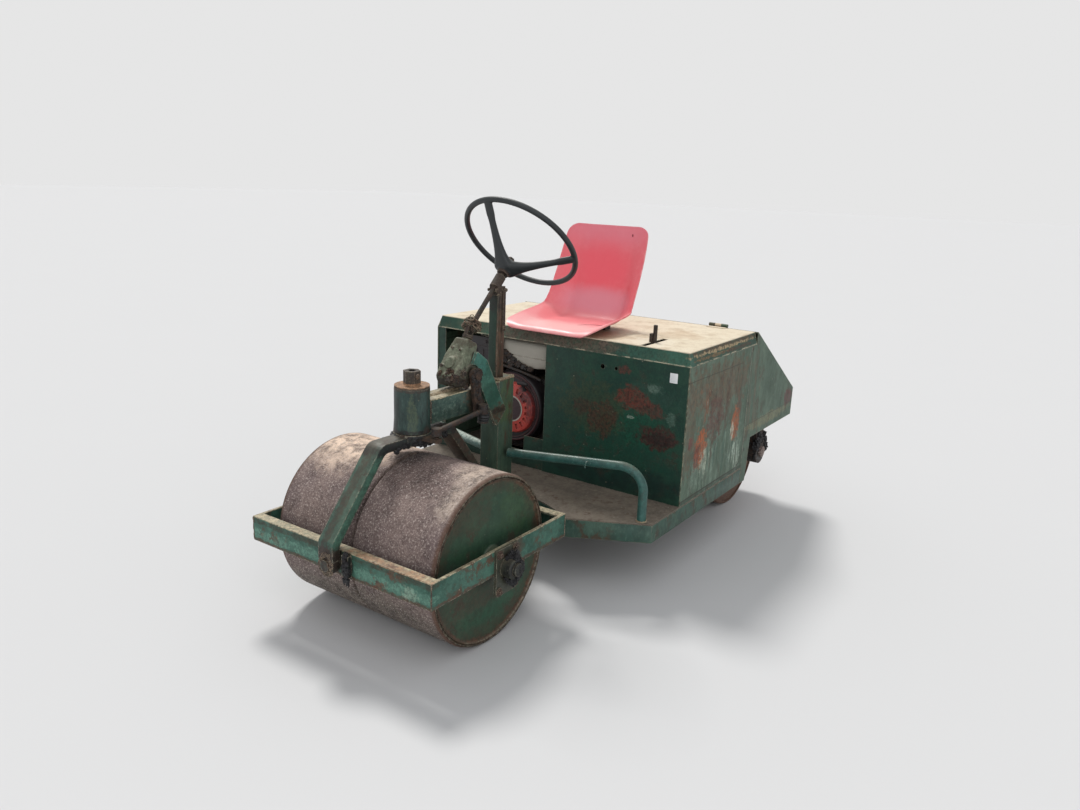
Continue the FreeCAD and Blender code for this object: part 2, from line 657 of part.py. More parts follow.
def steering_arm():
    """Arm on the yoke's left side, out to the stud that the drag link's front eye serves."""
    bottom = YOKE_TOP_Z - STEERING_ARM_THICKNESS
    half = STEERING_ARM_WIDTH / 2
    tip_half = STEERING_ARM_TIP_RADIUS
    tip = STEERING_ARM_REACH + tip_half
    tip_rounding = tip_half - SEAT_GAP
    arm = floor_shape(
        [
            (-half, YOKE_BAR_WIDTH / 2, 0),
            (half, YOKE_BAR_WIDTH / 2, 0),
            (tip_half, tip, tip_rounding),
            (-tip_half, tip, tip_rounding),
        ],
        bottom,
        YOKE_TOP_Z,
    )
    crown_room = YOKE_CROWN_RADIUS + SEAT_GAP
    arm = arm.cut(rod(crown_room, Vector(0, 0, bottom - CUT_PAST), Vector(0, 0, YOKE_TOP_Z + CUT_PAST)))
    stud_foot = Vector(0, STEERING_ARM_REACH, YOKE_TOP_Z - WELD_DEPTH)
    stud_top = Vector(0, STEERING_ARM_REACH, YOKE_TOP_Z + STEERING_STUD_HEIGHT)
    return arm.fuse(rod(BALL_STUD_RADIUS, stud_foot, stud_top))


def make_head():
    """Bored steering head, neck beam, lower post with its cap plate, and the column post."""
    head = head_body(KINGPIN_RADIUS + RUNNING_FIT, 0, HEAD_EDGE_ROUNDING)
    beam = block((0, POST_FRONT_X), (-NECK_HALF_WIDTH, NECK_HALF_WIDTH), (NECK_BOTTOM, NECK_TOP))
    inner_half = NECK_HALF_WIDTH - NECK_WALL
    through = (CUT_PAST, POST_FRONT_X - CUT_PAST)
    seam_half = NECK_SEAM_WIDTH / 2
    inside = (NECK_BOTTOM + NECK_WALL, NECK_TOP - NECK_WALL)
    seam = (NECK_TOP - NECK_SEAM_DEPTH, NECK_TOP + CUT_PAST)
    beam = beam.cut(block(through, (-inner_half, inner_half), inside))
    beam = beam.cut(block(through, (-seam_half, seam_half), seam))
    beam = beam.cut(head_body(0, SEAT_GAP, 0))
    return {"steering_head": head, "neck_beam": beam, **make_posts()}


def head_body(inside, extra, rounding):
    """Upright steering head body, a little wider at its foot, grown by an extra all round."""
    return turned(
        [
            (inside, HEAD_BOTTOM, 0),
            (HEAD_RADIUS + HEAD_FOOT_FLARE + extra, HEAD_BOTTOM, rounding),
            (HEAD_RADIUS + extra, HEAD_BOTTOM + HEAD_FOOT_HEIGHT, 0),
            (HEAD_RADIUS + extra, HEAD_TOP, rounding),
            (inside, HEAD_TOP, 0),
        ],
        Vector(0, 0, 0),
        Z_AXIS,
        X_AXIS,
    )


def make_posts():
    """Lower box post under a cap plate, and the narrow post that stands through the plate."""
    rear = POST_FRONT_X - POST_DEPTH
    half = POST_WIDTH / 2
    post = block((POST_FRONT_X, rear), (-half, half), (PLATFORM_BOTTOM, POST_TOP))
    post = post.cut(block(
        (POST_FRONT_X - POST_WALL, rear + POST_WALL),
        (-half + POST_WALL, half - POST_WALL),
        (PLATFORM_BOTTOM - CUT_PAST, POST_TOP - POST_CAP),
    ))
    column_rear = COLUMN_POST_FRONT_X - COLUMN_POST_SIZE
    column_half = COLUMN_POST_SIZE / 2
    column_x = (COLUMN_POST_FRONT_X, column_rear)
    column_y = (-column_half, column_half)
    foot = POST_TOP - COLUMN_POST_LAP_LENGTH
    column = block(column_x, column_y, (foot, COLUMN_POST_TOP))
    wall = COLUMN_POST_WALL
    column = column.cut(block(
        (COLUMN_POST_FRONT_X - wall, column_rear + wall),
        (-column_half + wall, column_half - wall),
        (foot - CUT_PAST, COLUMN_POST_TOP + CUT_PAST),
    ))
    post = post.cut(block(column_x, column_y, (foot, POST_TOP + CUT_PAST)))
    return {"mast_post": post, "column_post": column}


def column_point(station):
    """Point on the steering column's axis, a distance up from the universal joint."""
    lean = math.radians(COLUMN_ANGLE)
    return Vector(COLUMN_JOINT_X - station * math.cos(lean), 0, COLUMN_JOINT_Z + station * math.sin(lean))


def make_steering_wheel():
    """Dished wheel with tapered spokes, its shaft and the upper half of the universal joint."""
    axis = column_point(1) - column_point(0)
    across = Vector(axis.z, 0, -axis.x)
    hub_foot = column_point(COLUMN_LENGTH)
    rim = Part.makeTorus(WHEEL_RADIUS, WHEEL_GRIP_RADIUS, column_point(COLUMN_LENGTH + WHEEL_DISH), axis)
    wheel = turned(
        [
            (0, 0, 0),
            (WHEEL_HUB_FOOT_RADIUS, 0, 0),
            (WHEEL_HUB_RADIUS, WHEEL_HUB_LENGTH / 2, WHEEL_HUB_ROUNDING),
            (WHEEL_HUB_RADIUS, WHEEL_HUB_LENGTH, WHEEL_HUB_ROUNDING),
            (0, WHEEL_HUB_LENGTH, 0),
        ],
        hub_foot,
        axis,
        across,
    )
    for turn in SPOKE_TURNS:
        wheel = wheel.fuse(wheel_spoke(axis, across, hub_foot, turn))
    wheel = wheel.fuse(rim)
    shaft_end = column_point(COLUMN_LENGTH + WHEEL_SOCKET_DEPTH)
    shaft = rod(COLUMN_SHAFT_RADIUS, column_point(UJOINT_EAR_LENGTH), shaft_end)
    socket_start = column_point(COLUMN_LENGTH - CUT_PAST)
    wheel = wheel.cut(rod(COLUMN_SHAFT_RADIUS + RUNNING_FIT, socket_start, shaft_end))
    cross = Part.makeSphere(UJOINT_BALL_RADIUS)
    cross = cross.fuse(rod(UJOINT_PIN_RADIUS, Vector(0, -UJOINT_RADIUS, 0), Vector(0, UJOINT_RADIUS, 0)))
    fork = universal_fork(0.0).fuse(cross)
    fork.rotate(Vector(0, 0, 0), Y_AXIS, COLUMN_ANGLE - 90)
    fork.translate(column_point(0))
    return {"steering_wheel": wheel, "column_shaft": shaft.fuse(fork).removeSplitter()}


def universal_fork(play):
    """Fork of the universal joint around the origin, open downwards, ears on the Y sides."""
    half = UJOINT_EAR_SPACING / 2 + play
    reach = UJOINT_EAR_LENGTH
    ear_half = UJOINT_EAR_WIDTH / 2
    ear_outer = half + UJOINT_EAR_THICKNESS
    hub = rod(UJOINT_RADIUS, Vector(0, 0, reach), Vector(0, 0, reach + UJOINT_HUB_LENGTH))
    ears = block((-ear_half, ear_half), (-ear_outer, ear_outer), (-UJOINT_EAR_OVERRUN, reach + WELD_DEPTH))
    opening = block((-ear_half, ear_half), (-half, half), (-UJOINT_EAR_OVERRUN, reach))
    return hub.fuse(ears.cut(opening))


def make_input_shaft():
    """Steering box input shaft with the lower fork of the universal joint."""
    fork = universal_fork(UJOINT_PLAY)
    fork.rotate(Vector(0, 0, 0), Z_AXIS, 90)
    fork.rotate(Vector(0, 0, 0), X_AXIS, 180)
    fork.rotate(Vector(0, 0, 0), Y_AXIS, BOX_ANGLE - 90)
    fork.translate(box_point(0, 0))
    inner_end = BOX_TOP_GAP + INPUT_SHAFT_ENGAGEMENT
    shaft = rod(INPUT_SHAFT_RADIUS, box_point(UJOINT_EAR_LENGTH, 0), box_point(inner_end, 0))
    return {"input_shaft": fork.fuse(shaft).removeSplitter()}


def wheel_spoke(axis, across, hub_foot, turn):
    """One spoke, rising from the hub to the rim, narrower at the rim."""
    thickness = WHEEL_SPOKE_THICKNESS
    side = axis.cross(across)
    stations = (
        (WHEEL_SPOKE_ROOT_RADIUS, WHEEL_SPOKE_ROOT_HEIGHT, WHEEL_SPOKE_WIDTH),
        (WHEEL_RADIUS, WHEEL_DISH - thickness / 2, WHEEL_SPOKE_TIP_WIDTH),
    )
    sections = []
    for radius, height, width in stations:
        middle = hub_foot + across * radius + axis * height
        corners = [(-1, 0), (1, 0), (1, 1), (-1, 1), (-1, 0)]
        points = [middle + side * (u * width / 2) + axis * (v * thickness) for u, v in corners]
        sections.append(Part.makePolygon(points))
    spoke = Part.makeLoft(sections, True, True)
    spoke.rotate(hub_foot, axis, turn)
    return spoke


def make_column_bearing():
    """Sleeve that carries the column, welded to a saddle on top of its post."""
    half = COLUMN_BEARING_LENGTH / 2
    low = column_point(COLUMN_BEARING_STATION - half)
    high = column_point(COLUMN_BEARING_STATION + half)
    half_post = COLUMN_POST_SIZE / 2
    saddle = block(
        (COLUMN_POST_FRONT_X, COLUMN_POST_FRONT_X - COLUMN_POST_SIZE),
        (-half_post, half_post),
        (COLUMN_POST_TOP, COLUMN_POST_TOP + COLUMN_SADDLE_HEIGHT),
    )
    bearing = rod(COLUMN_BEARING_RADIUS, low, high).fuse(saddle)
    bore = rod(COLUMN_SHAFT_RADIUS + RUNNING_FIT, column_point(0), column_point(COLUMN_LENGTH))
    return {"column_bearing": bearing.cut(bore).removeSplitter()}


def box_point(station, offset, y=0.0):
    """Point in the steering box's own frame: down its axis, and forward across it."""
    lean = math.radians(BOX_ANGLE)
    x = COLUMN_JOINT_X + station * math.cos(lean) + offset * math.sin(lean)
    z = COLUMN_JOINT_Z - station * math.sin(lean) + offset * math.cos(lean)
    return Vector(x, y, z)


def sector_centre(y):
    """Centre of the sector shaft at a Y value."""
    return box_point(SECTOR_STATION, SECTOR_OFFSET, y)


def make_steering_box():
    """Cast steering box between bracket and beam, with its neck, adjuster boss, cover and bores."""
    rounding = BOX_CORNER_ROUNDING
    corners = [
        (BOX_TOP_GAP, -BOX_TOP_HALF_DEPTH, rounding),
        (BOX_TOP_GAP, BOX_TOP_HALF_DEPTH, rounding),
        (BOX_BULGE_STATION, BOX_BULGE_DEPTH, rounding),
        (BOX_FRONT_FOOT_STATION, BOX_FRONT_FOOT_DEPTH, rounding),
        (BOX_REAR_FOOT_STATION, -BOX_REAR_FOOT_DEPTH, rounding),
        (BOX_REAR_SHOULDER_STATION, -BOX_REAR_SHOULDER_DEPTH, rounding),
    ]
    half = NECK_HALF_WIDTH
    wire = outline(corners, lambda u, v: box_point(u, v, -half))
    box = Part.Face(wire).extrude(Vector(0, 2 * half, 0)).common(box_taper(half))
    neck_start = box_point(BOX_TOP_GAP - BOX_NECK_LENGTH, 0)
    box = box.fuse(rod(BOX_NECK_RADIUS, neck_start, box_point(BOX_TOP_GAP + WELD_DEPTH, 0)))
    share = (BOX_BOSS_STATION - BOX_TOP_GAP) / (BOX_BULGE_STATION - BOX_TOP_GAP)
    face_depth = BOX_TOP_HALF_DEPTH + share * (BOX_BULGE_DEPTH - BOX_TOP_HALF_DEPTH)
    boss_root = box_point(BOX_BOSS_STATION, face_depth - BOX_BOSS_ROOT)
    boss_face = box_point(BOX_BOSS_STATION, face_depth + BOX_BOSS_LENGTH)
    box = box.fuse(rod(BOX_BOSS_RADIUS, boss_root, boss_face))
    cover_out = half + SECTOR_COVER_THICKNESS
    box = box.fuse(rod(SECTOR_COVER_RADIUS, sector_centre(half - WELD_DEPTH), sector_centre(cover_out)))
    sector_bore = SECTOR_SHAFT_RADIUS + RUNNING_FIT
    box = box.cut(rod(sector_bore, sector_centre(0), sector_centre(cover_out + CUT_PAST)))
    input_bore = INPUT_SHAFT_RADIUS + RUNNING_FIT
    bore_end = BOX_TOP_GAP + INPUT_SHAFT_ENGAGEMENT + WELD_DEPTH
    return box.cut(rod(input_bore, box_point(0, 0), box_point(bore_end, 0))).removeSplitter()


def box_taper(half):
    """Tall solid whose sides give the steering box its narrower top and foot."""
    rounding = BOX_SIDE_ROUNDING
    foot = BOX_FRONT_FOOT_STATION
    corners = [
        (BOX_TOP_GAP, -BOX_TOP_HALF_WIDTH, rounding),
        (BOX_WIDE_STATION, -half, rounding),
        (BOX_NARROW_STATION, -half, rounding),
        (foot, -BOX_FOOT_HALF_WIDTH, rounding),
        (foot, BOX_FOOT_HALF_WIDTH, rounding),
        (BOX_NARROW_STATION, half, rounding),
        (BOX_WIDE_STATION, half, rounding),
        (BOX_TOP_GAP, BOX_TOP_HALF_WIDTH, rounding),
    ]
    rear = -BOX_BULGE_DEPTH
    wire = outline(corners, lambda u, v: box_point(u, rear, v))
    return Part.Face(wire).extrude(box_point(0, BOX_BULGE_DEPTH) - box_point(0, rear))


def make_steering_linkage():
    """Steering box, bracket, pitman arm and drag link."""
    arm_in = NECK_HALF_WIDTH + SECTOR_COVER_THICKNESS + PITMAN_GAP
    arm_out = arm_in + PITMAN_THICKNESS
    return {
        "steering_box": make_steering_box(),
        "steering_bracket": steering_bracket(),
        "pitman_arm": pitman_arm(arm_in, arm_out),
        "drag_link": drag_link(arm_out),
    }


def pitman_end(y):
    """Centre of the pitman arm's lower eye."""
    lean = math.radians(PITMAN_TILT)
    return sector_centre(y) + Vector(-math.sin(lean), 0, -math.cos(lean)) * PITMAN_LENGTH


def pitman_arm(arm_in, arm_out):
    """Arm on the sector shaft with its nut and lower ball stud."""
    top = sector_centre(arm_in)
    low = pitman_end(arm_in)
    side = (low - top).cross(Y_AXIS)
    side.normalize()
    wide = side * (PITMAN_HUB_RADIUS * 0.9)
    slim = side * (PITMAN_EYE_RADIUS * 0.9)
    web = Part.Face(Part.makePolygon([top + wide, top - wide, low - slim, low + slim, top + wide]))
    arm = web.extrude(Vector(0, arm_out - arm_in, 0))
    arm = arm.fuse(rod(PITMAN_HUB_RADIUS, top, sector_centre(arm_out)))
    arm = arm.fuse(rod(PITMAN_EYE_RADIUS, low, pitman_end(arm_out)))
    arm = arm.fuse(rod(SECTOR_SHAFT_RADIUS, sector_centre(CUT_PAST), sector_centre(arm_out)))
    arm = arm.fuse(hexagon(PITMAN_NUT_ACROSS, PITMAN_NUT_HEIGHT, sector_centre(arm_out), Y_AXIS))
    stud_root = pitman_end(arm_out - WELD_DEPTH)
    stud_tip = pitman_end(arm_out + BALL_STUD_LENGTH)
    return arm.fuse(rod(BALL_STUD_RADIUS, stud_root, stud_tip)).removeSplitter()


def drag_link(arm_out):
    """Link from the pitman's ball stud to the steering arm, its front eye left open."""
    rear = pitman_end(arm_out + WASHER_GAP + LINK_SOCKET_RADIUS)
    front_foot = Vector(0, STEERING_ARM_REACH, YOKE_TOP_Z + STEERING_STUD_HEIGHT + OPEN_EYE_GAP)
    front_top = front_foot + Vector(0, 0, LINK_FRONT_SOCKET_LENGTH)
    half_socket = Vector(0, 0, LINK_SOCKET_LENGTH / 2)
    link = rod(LINK_RADIUS, rear, (front_foot + front_top) / 2)
    link = link.fuse(rod(LINK_SOCKET_RADIUS, rear - half_socket, rear + half_socket))
    link = link.fuse(rod(LINK_SOCKET_RADIUS, front_foot, front_top))
    bore_end = pitman_end(arm_out + BALL_STUD_LENGTH + WELD_DEPTH)
    link = link.cut(rod(BALL_STUD_RADIUS + RUNNING_FIT, pitman_end(arm_out), bore_end))
    boot_foot = rear - half_socket - Vector(0, 0, LINK_BOOT_HEIGHT)
    boot = Part.makeCone(LINK_BOOT_FOOT_RADIUS, LINK_BOOT_TOP_RADIUS, LINK_BOOT_HEIGHT, boot_foot, Z_AXIS)
    return link.fuse(boot).removeSplitter()


def steering_bracket():
    """Boomerang plate on the beam's left side that carries the steering box."""
    corners = [(POST_FRONT_X + x, COLUMN_JOINT_Z - drop, radius) for x, drop, radius in BRACKET_OUTLINE]
    plate = side_plate(corners, NECK_HALF_WIDTH, NECK_HALF_WIDTH + BRACKET_THICKNESS)
    room = NECK_HALF_WIDTH + BRACKET_THICKNESS + CUT_PAST
    return plate.cut(rod(SECTOR_COVER_RADIUS + SEAT_GAP, sector_centre(0), sector_centre(room)))


def platform_corners(inset):
    """Left half of the platform's plan as an edge list, moved inwards by an inset."""
    shoulder_turn = math.asin(PLATFORM_SHOULDER_Y / SWING_CUT_RADIUS)
    tongue_turn = math.asin(TONGUE_HALF_WIDTH / SWING_CUT_RADIUS)
    radius = SWING_CUT_RADIUS
    shoulder = Vector(-radius * math.cos(shoulder_turn), radius * math.sin(shoulder_turn), 0)
    middle_turn = (shoulder_turn + tongue_turn) / 2
    middle = Vector(-radius * math.cos(middle_turn), radius * math.sin(middle_turn), 0)
    tongue_root = Vector(-radius * math.cos(tongue_turn), radius * math.sin(tongue_turn), 0)
    tongue_tip = Vector(POST_FRONT_X, TONGUE_HALF_WIDTH, 0)
    corner = Vector(PLATFORM_CORNER_X, BODY_HALF_WIDTH, 0)
    rear = Vector(BASE_REAR_X, BODY_HALF_WIDTH, 0)
    half = [
        Part.makeLine(tongue_tip, tongue_root),
        Part.Arc(tongue_root, middle, shoulder).toShape(),
        Part.makeLine(shoulder, corner),
        Part.makeLine(corner, rear),
    ]
    other = [edge.mirror(Vector(0, 0, 0), Y_AXIS) for edge in half]
    ends = [
        Part.makeLine(rear, Vector(rear.x, -rear.y, 0)),
        Part.makeLine(Vector(tongue_tip.x, -tongue_tip.y, 0), tongue_tip),
    ]
    wire = Part.Wire(Part.__sortEdges__(half + other + ends))
    if inset:
        wire = wire.makeOffset2D(-inset)
    return wire


def platform_solid(inset, z_start, z_end):
    """Solid of the platform's plan between two heights."""
    face = Part.Face(platform_corners(inset))
    face.translate(Vector(0, 0, z_start))
    return face.extrude(Vector(0, 0, z_end - z_start))


def make_platform():
    """Perimeter rail with cross members, and the floor plate on top."""
    rail_top = PLATFORM_TOP - FLOOR_THICKNESS
    flange_bottom = rail_top - RAIL_WALL
    frame = platform_solid(0, PLATFORM_BOTTOM, rail_top).cut(
        platform_solid(RAIL_WALL, PLATFORM_BOTTOM, rail_top)
    )
    frame = frame.fuse(platform_solid(0, flange_bottom, rail_top).cut(
        platform_solid(RAIL_FLANGE, flange_bottom, rail_top)
    ))
    rail_inner = BODY_HALF_WIDTH - RAIL_WALL
    pitch = (BASE_REAR_X - HOUSING_FRONT_X) / CROSS_MEMBERS
    for member in range(CROSS_MEMBERS):
        x = HOUSING_FRONT_X + pitch * member
        frame = frame.fuse(block(
            (x, x - CROSS_MEMBER_WIDTH),
            (-rail_inner, rail_inner),
            (PLATFORM_BOTTOM + CROSS_MEMBER_RISE, rail_top),
        ))
    half = POST_WIDTH / 2
    post_room = block(
        (POST_FRONT_X + CUT_PAST, POST_FRONT_X - POST_DEPTH),
        (-half, half),
        (PLATFORM_BOTTOM - CUT_PAST, PLATFORM_TOP + CUT_PAST),
    )
    return {
        "base_frame": frame.cut(post_room).removeSplitter(),
        "floor_plate": platform_solid(0, rail_top, PLATFORM_TOP).cut(post_room),
    }


def make_guards():
    """Bent tube on each side from the post down to the platform."""
    start = Vector(POST_FRONT_X - GUARD_POST_INSET, POST_WIDTH / 2, GUARD_START_Z)
    knee = Vector(GUARD_FOOT_X, GUARD_FOOT_Y, GUARD_KNEE_Z)
    foot = Vector(GUARD_FOOT_X, GUARD_FOOT_Y, PLATFORM_TOP)
    back = start - knee
    back.normalize()
    down = Vector(0, 0, -1)
    half_turn = back.getAngle(down) / 2
    reach = GUARD_BEND_RADIUS / math.tan(half_turn)
    inward = back + down
    inward.normalize()
    enter = knee + back * reach
    leave = knee + down * reach
    middle = knee + inward * (GUARD_BEND_RADIUS / math.sin(half_turn) - GUARD_BEND_RADIUS)
    path = Part.Wire([
        Part.makeLine(start - back * GUARD_TUBE_RADIUS, enter),
        Part.Arc(enter, middle, leave).toShape(),
        Part.makeLine(leave, foot),
    ])
    solids = []
    for radius in (GUARD_TUBE_RADIUS, GUARD_TUBE_RADIUS - GUARD_TUBE_WALL):
        ring = Part.Wire(Part.makeCircle(radius, path.Vertexes[0].Point, back))
        solids.append(path.makePipeShell([ring], True, False))
    guard = solids[0].cut(solids[1])
    post_half = POST_WIDTH / 2
    post_room = block((0, POST_FRONT_X * 2), (-post_half, post_half), (0, POST_TOP))
    guard = guard.cut(post_room)
    return {"guard_tube_left": guard, "guard_tube_right": mirrored(guard)}


def slope_height(x):
    """Height of the sloping rear panel's top at a station."""
    share = (x - LID_REAR_X) / (BODY_REAR_X - LID_REAR_X)
    return LID_TOP + share * (SLOPE_FOOT_Z - LID_TOP)


def make_side_sheets():
    """Main side sheets, their rear posts, and the side sheets of the overhang."""
    outer = BODY_HALF_WIDTH
    inner = BODY_HALF_WIDTH - SHEET
    main = side_plate(
        [
            (HOUSING_FRONT_X, PLATFORM_TOP, 0),
            (BASE_REAR_X, PLATFORM_TOP, 0),
            (BASE_REAR_X, HOUSING_TOP, 0),
            (HOUSING_FRONT_X, HOUSING_TOP, 0),
        ],
        inner,
        outer,
    )
    rear = side_plate(
        [
            (BASE_REAR_X, PLATFORM_BOTTOM, 0),
            (STEP_X + OVERHANG_STEP_SLANT, PLATFORM_BOTTOM, 0),
            (STEP_X, OVERHANG_BOTTOM, 0),
            (BODY_REAR_X, OVERHANG_BOTTOM, 0),
            (BODY_REAR_X, SLOPE_FOOT_Z, 0),
            (LID_REAR_X, LID_TOP, 0),
            (LID_REAR_X, HOUSING_TOP, 0),
            (BASE_REAR_X, HOUSING_TOP, 0),
        ],
        inner,
        outer,
    )
    return {
        "side_panel_left": main,
        "side_panel_right": mirrored(main),
        "rear_side_left": rear,
        "rear_side_right": mirrored(rear),
    }


def make_housing_frame():
    """Angle-iron posts and rails inside the housing, and the overhang's rails."""
    outer = BODY_HALF_WIDTH - SHEET
    inner = outer - CORNER_ANGLE_WIDTH
    wall = CORNER_ANGLE_WALL
    front = HOUSING_FRONT_X - SHEET * 2
    top_web = (HOUSING_TOP - CORNER_ANGLE_WIDTH, HOUSING_TOP)
    left = block((front, front - wall), (inner, outer), (PLATFORM_TOP, HOUSING_TOP - wall))
    left = left.fuse(block(
        (front, front - CORNER_ANGLE_WIDTH),
        (outer - wall, outer),
        (PLATFORM_TOP, HOUSING_TOP - wall),
    ))
    left = left.fuse(block((front, LID_REAR_X), (inner, outer), (HOUSING_TOP - wall, HOUSING_TOP)))
    left = left.fuse(block((front, LID_REAR_X), (outer - wall, outer), top_web))
    left = left.fuse(block((BASE_REAR_X, LID_REAR_X), (outer - wall, outer), (PLATFORM_BOTTOM, HOUSING_TOP)))
    left = left.fuse(block(
        (BASE_REAR_X, BASE_REAR_X - wall),
        (inner, outer),
        (PLATFORM_BOTTOM, HOUSING_TOP),
    ))
    rail_top = OVERHANG_BOTTOM + OVERHANG_RAIL_DEPTH
    rear_end = BODY_REAR_X + SHEET
    left = left.fuse(block((BASE_REAR_X, rear_end), (outer - wall, outer), (OVERHANG_BOTTOM, rail_top)))
    left = left.fuse(block((STEP_X, rear_end), (inner, outer), (OVERHANG_BOTTOM, OVERHANG_BOTTOM + wall)))
    frame = left.fuse(mirrored(left))
    frame = frame.fuse(block((rear_end, rear_end + wall), (-outer, outer), (OVERHANG_BOTTOM, rail_top)))
    frame = frame.fuse(block((LID_REAR_X, LID_REAR_X - wall), (-outer, outer), top_web))
    return {"housing_frame": frame.removeSplitter()}


def make_front_panels():
    """Front surround with its stepped opening, and the big panel with its two holes."""
    outer = BODY_HALF_WIDTH - SHEET
    step_y = OPENING_LEFT_Y - OPENING_STEP_WIDTH
    surround_front = HOUSING_FRONT_X - SHEET
    surround = front_plate(
        [
            (-outer, PLATFORM_TOP, 0),
            (outer, PLATFORM_TOP, 0),
            (outer, OPENING_STEP_Z, 0),
            (step_y, OPENING_STEP_Z, 0),
            (step_y, OPENING_SILL_Z, 0),
            (OPENING_RIGHT_Y, OPENING_SILL_Z, 0),
            (OPENING_RIGHT_Y, HOUSING_TOP, 0),
            (-outer, HOUSING_TOP, 0),
        ],
        surround_front,
        surround_front - SHEET,
    )
    panel = front_plate(
        [
            (OPENING_LEFT_Y, PLATFORM_TOP, 0),
            (outer, PLATFORM_TOP, 0),
            (outer, HOUSING_TOP, 0),
            (OPENING_LEFT_Y, HOUSING_TOP, 0),
        ],
        HOUSING_FRONT_X,
        surround_front,
    )
    for from_left, radius in PANEL_HOLES:
        y = BODY_HALF_WIDTH - from_left
        start = Vector(HOUSING_FRONT_X + CUT_PAST, y, PANEL_HOLE_Z)
        panel = panel.cut(rod(radius, start, Vector(surround_front - CUT_PAST, y, PANEL_HOLE_Z)))
    return {"front_surround": surround, "front_panel": panel}


def make_rear_panels():
    """Sloping panel over the rear roll and the upright panel at its foot."""
    inner = BODY_HALF_WIDTH - SHEET
    drop = SLOPE_SHEET
    slope = side_plate(
        [
            (LID_REAR_X, LID_TOP, 0),
            (BODY_REAR_X, SLOPE_FOOT_Z, 0),
            (BODY_REAR_X, SLOPE_FOOT_Z - drop, 0),
            (LID_REAR_X, LID_TOP - drop, 0),
        ],
        -inner,
        inner,
    )
    for leaf in hinge_leaves(False):
        slope = slope.fuse(leaf)
    slope = slope.removeSplitter()
    end = block((BODY_REAR_X, BODY_REAR_X + SHEET), (-inner, inner), (OVERHANG_BOTTOM, SLOPE_FOOT_Z - drop))
    return {"rear_slope_panel": slope, "rear_end_panel": end}


def lid_shell(inset):
    """Solid with sloping edges that the lid's outside or its hollow fills."""
    outer = BODY_HALF_WIDTH - inset
    front = HOUSING_FRONT_X - inset
    bevel = LID_BEVEL
    rear = LID_REAR_X + LID_END_GAP - inset
    bottom = HOUSING_TOP + LID_SEAT_GAP
    low = [(front, -outer), (front, outer), (rear, outer), (rear, -outer)]
    high = [(front - bevel, -outer + bevel), (front - bevel, outer - bevel),
            (rear, outer - bevel), (rear, -outer + bevel)]
    top = LID_TOP - inset
    wires = []
    for ring, z in ((low, bottom), (high, top)):
        points = [Vector(x, y, z) for x, y in ring]
        wires.append(Part.makePolygon(points + [points[0]]))
    return Part.makeLoft(wires, True, True)


def make_lid():
    """Lid with sloping flanges, the lever slot and its hinge halves."""
    lid = lid_shell(0).cut(lid_shell(SHEET))
    half = SLOT_WIDTH / 2
    slot_front = HOUSING_FRONT_X - SLOT_FRONT_INSET
    lid = lid.cut(block(
        (slot_front, slot_front - SLOT_LENGTH),
        (SLOT_Y - half, SLOT_Y + half),
        (LID_TOP - SHEET - CUT_PAST, LID_TOP + CUT_PAST),
    ))
    for leaf in hinge_leaves(True):
        lid = lid.fuse(leaf)
    return {"lid": lid.removeSplitter()}


def hinge_leaves(on_lid):
    """One half of each lid hinge: a leaf with its knuckles, the fixed half with the pin."""
    fall = math.atan2(LID_TOP - SLOPE_FOOT_Z, LID_REAR_X - BODY_REAR_X)
    axis_z = LID_TOP + (HINGE_RADIUS + SEAT_GAP) / math.cos(fall)
    knuckle = HINGE_KNUCKLE_LENGTH / 2
    play = Vector(0, HINGE_KNUCKLE_GAP, 0)
    leaves = []
    for centre in (-HINGE_Y, HINGE_Y):
        start = Vector(LID_REAR_X, centre - HINGE_HALF_LENGTH, axis_z)
        end = Vector(LID_REAR_X, centre + HINGE_HALF_LENGTH, axis_z)
        low = Vector(LID_REAR_X, centre - knuckle, axis_z)
        high = Vector(LID_REAR_X, centre + knuckle, axis_z)
        if on_lid:
            leaf = moving_leaf(start, end, low + play, high - play)
        else:
            leaf = fixed_leaf(start, end, low, high)
        leaves.append(leaf)
    return leaves


def moving_leaf(start, end, low, high):
    """Leaf on the lid with the middle knuckle, bored for the pin."""
    top = (LID_TOP, LID_TOP + HINGE_LEAF_THICKNESS)
    leaf = block((LID_REAR_X + HINGE_SWING, LID_REAR_X + HINGE_LEAF), (start.y, end.y), top)
    leaf = leaf.fuse(block((LID_REAR_X + CUT_PAST, LID_REAR_X + HINGE_SWING), (low.y, high.y), top))
    leaf = leaf.fuse(rod(HINGE_RADIUS, low, high))
    return leaf.cut(rod(HINGE_PIN_RADIUS + RUNNING_FIT, start, end))


def fixed_leaf(start, end, low, high):
    """Leaf on the sloping panel with the outer knuckles and the pin."""
    far = LID_REAR_X - HINGE_LEAF
    corners = [
        (LID_REAR_X, LID_TOP, 0),
        (far, slope_height(far), 0),
        (far, slope_height(far) + HINGE_LEAF_THICKNESS, 0),
        (LID_REAR_X, LID_TOP + HINGE_LEAF_THICKNESS, 0),
    ]
    leaf = side_plate(corners, start.y, end.y)
    leaf = leaf.cut(block(
        (LID_REAR_X - HINGE_SWING, LID_REAR_X + HINGE_SWING),
        (low.y, high.y),
        (LID_TOP - 2 * HINGE_SWING, start.z),
    ))
    leaf = leaf.fuse(rod(HINGE_RADIUS, start, low)).fuse(rod(HINGE_RADIUS, high, end))
    return leaf.fuse(rod(HINGE_PIN_RADIUS, start, end))


def seat_row(base, normal, half_width, wing):
    """Points across the seat at one station, turned up at the side wings."""
    row = []
    for share in SEAT_SHARES:
        past_flat = max(0.0, abs(share) - SEAT_FLAT_SHARE) / (1.0 - SEAT_FLAT_SHARE)
        row.append(base + Vector(0, half_width * share, 0) + normal * (wing * past_flat))
    return row


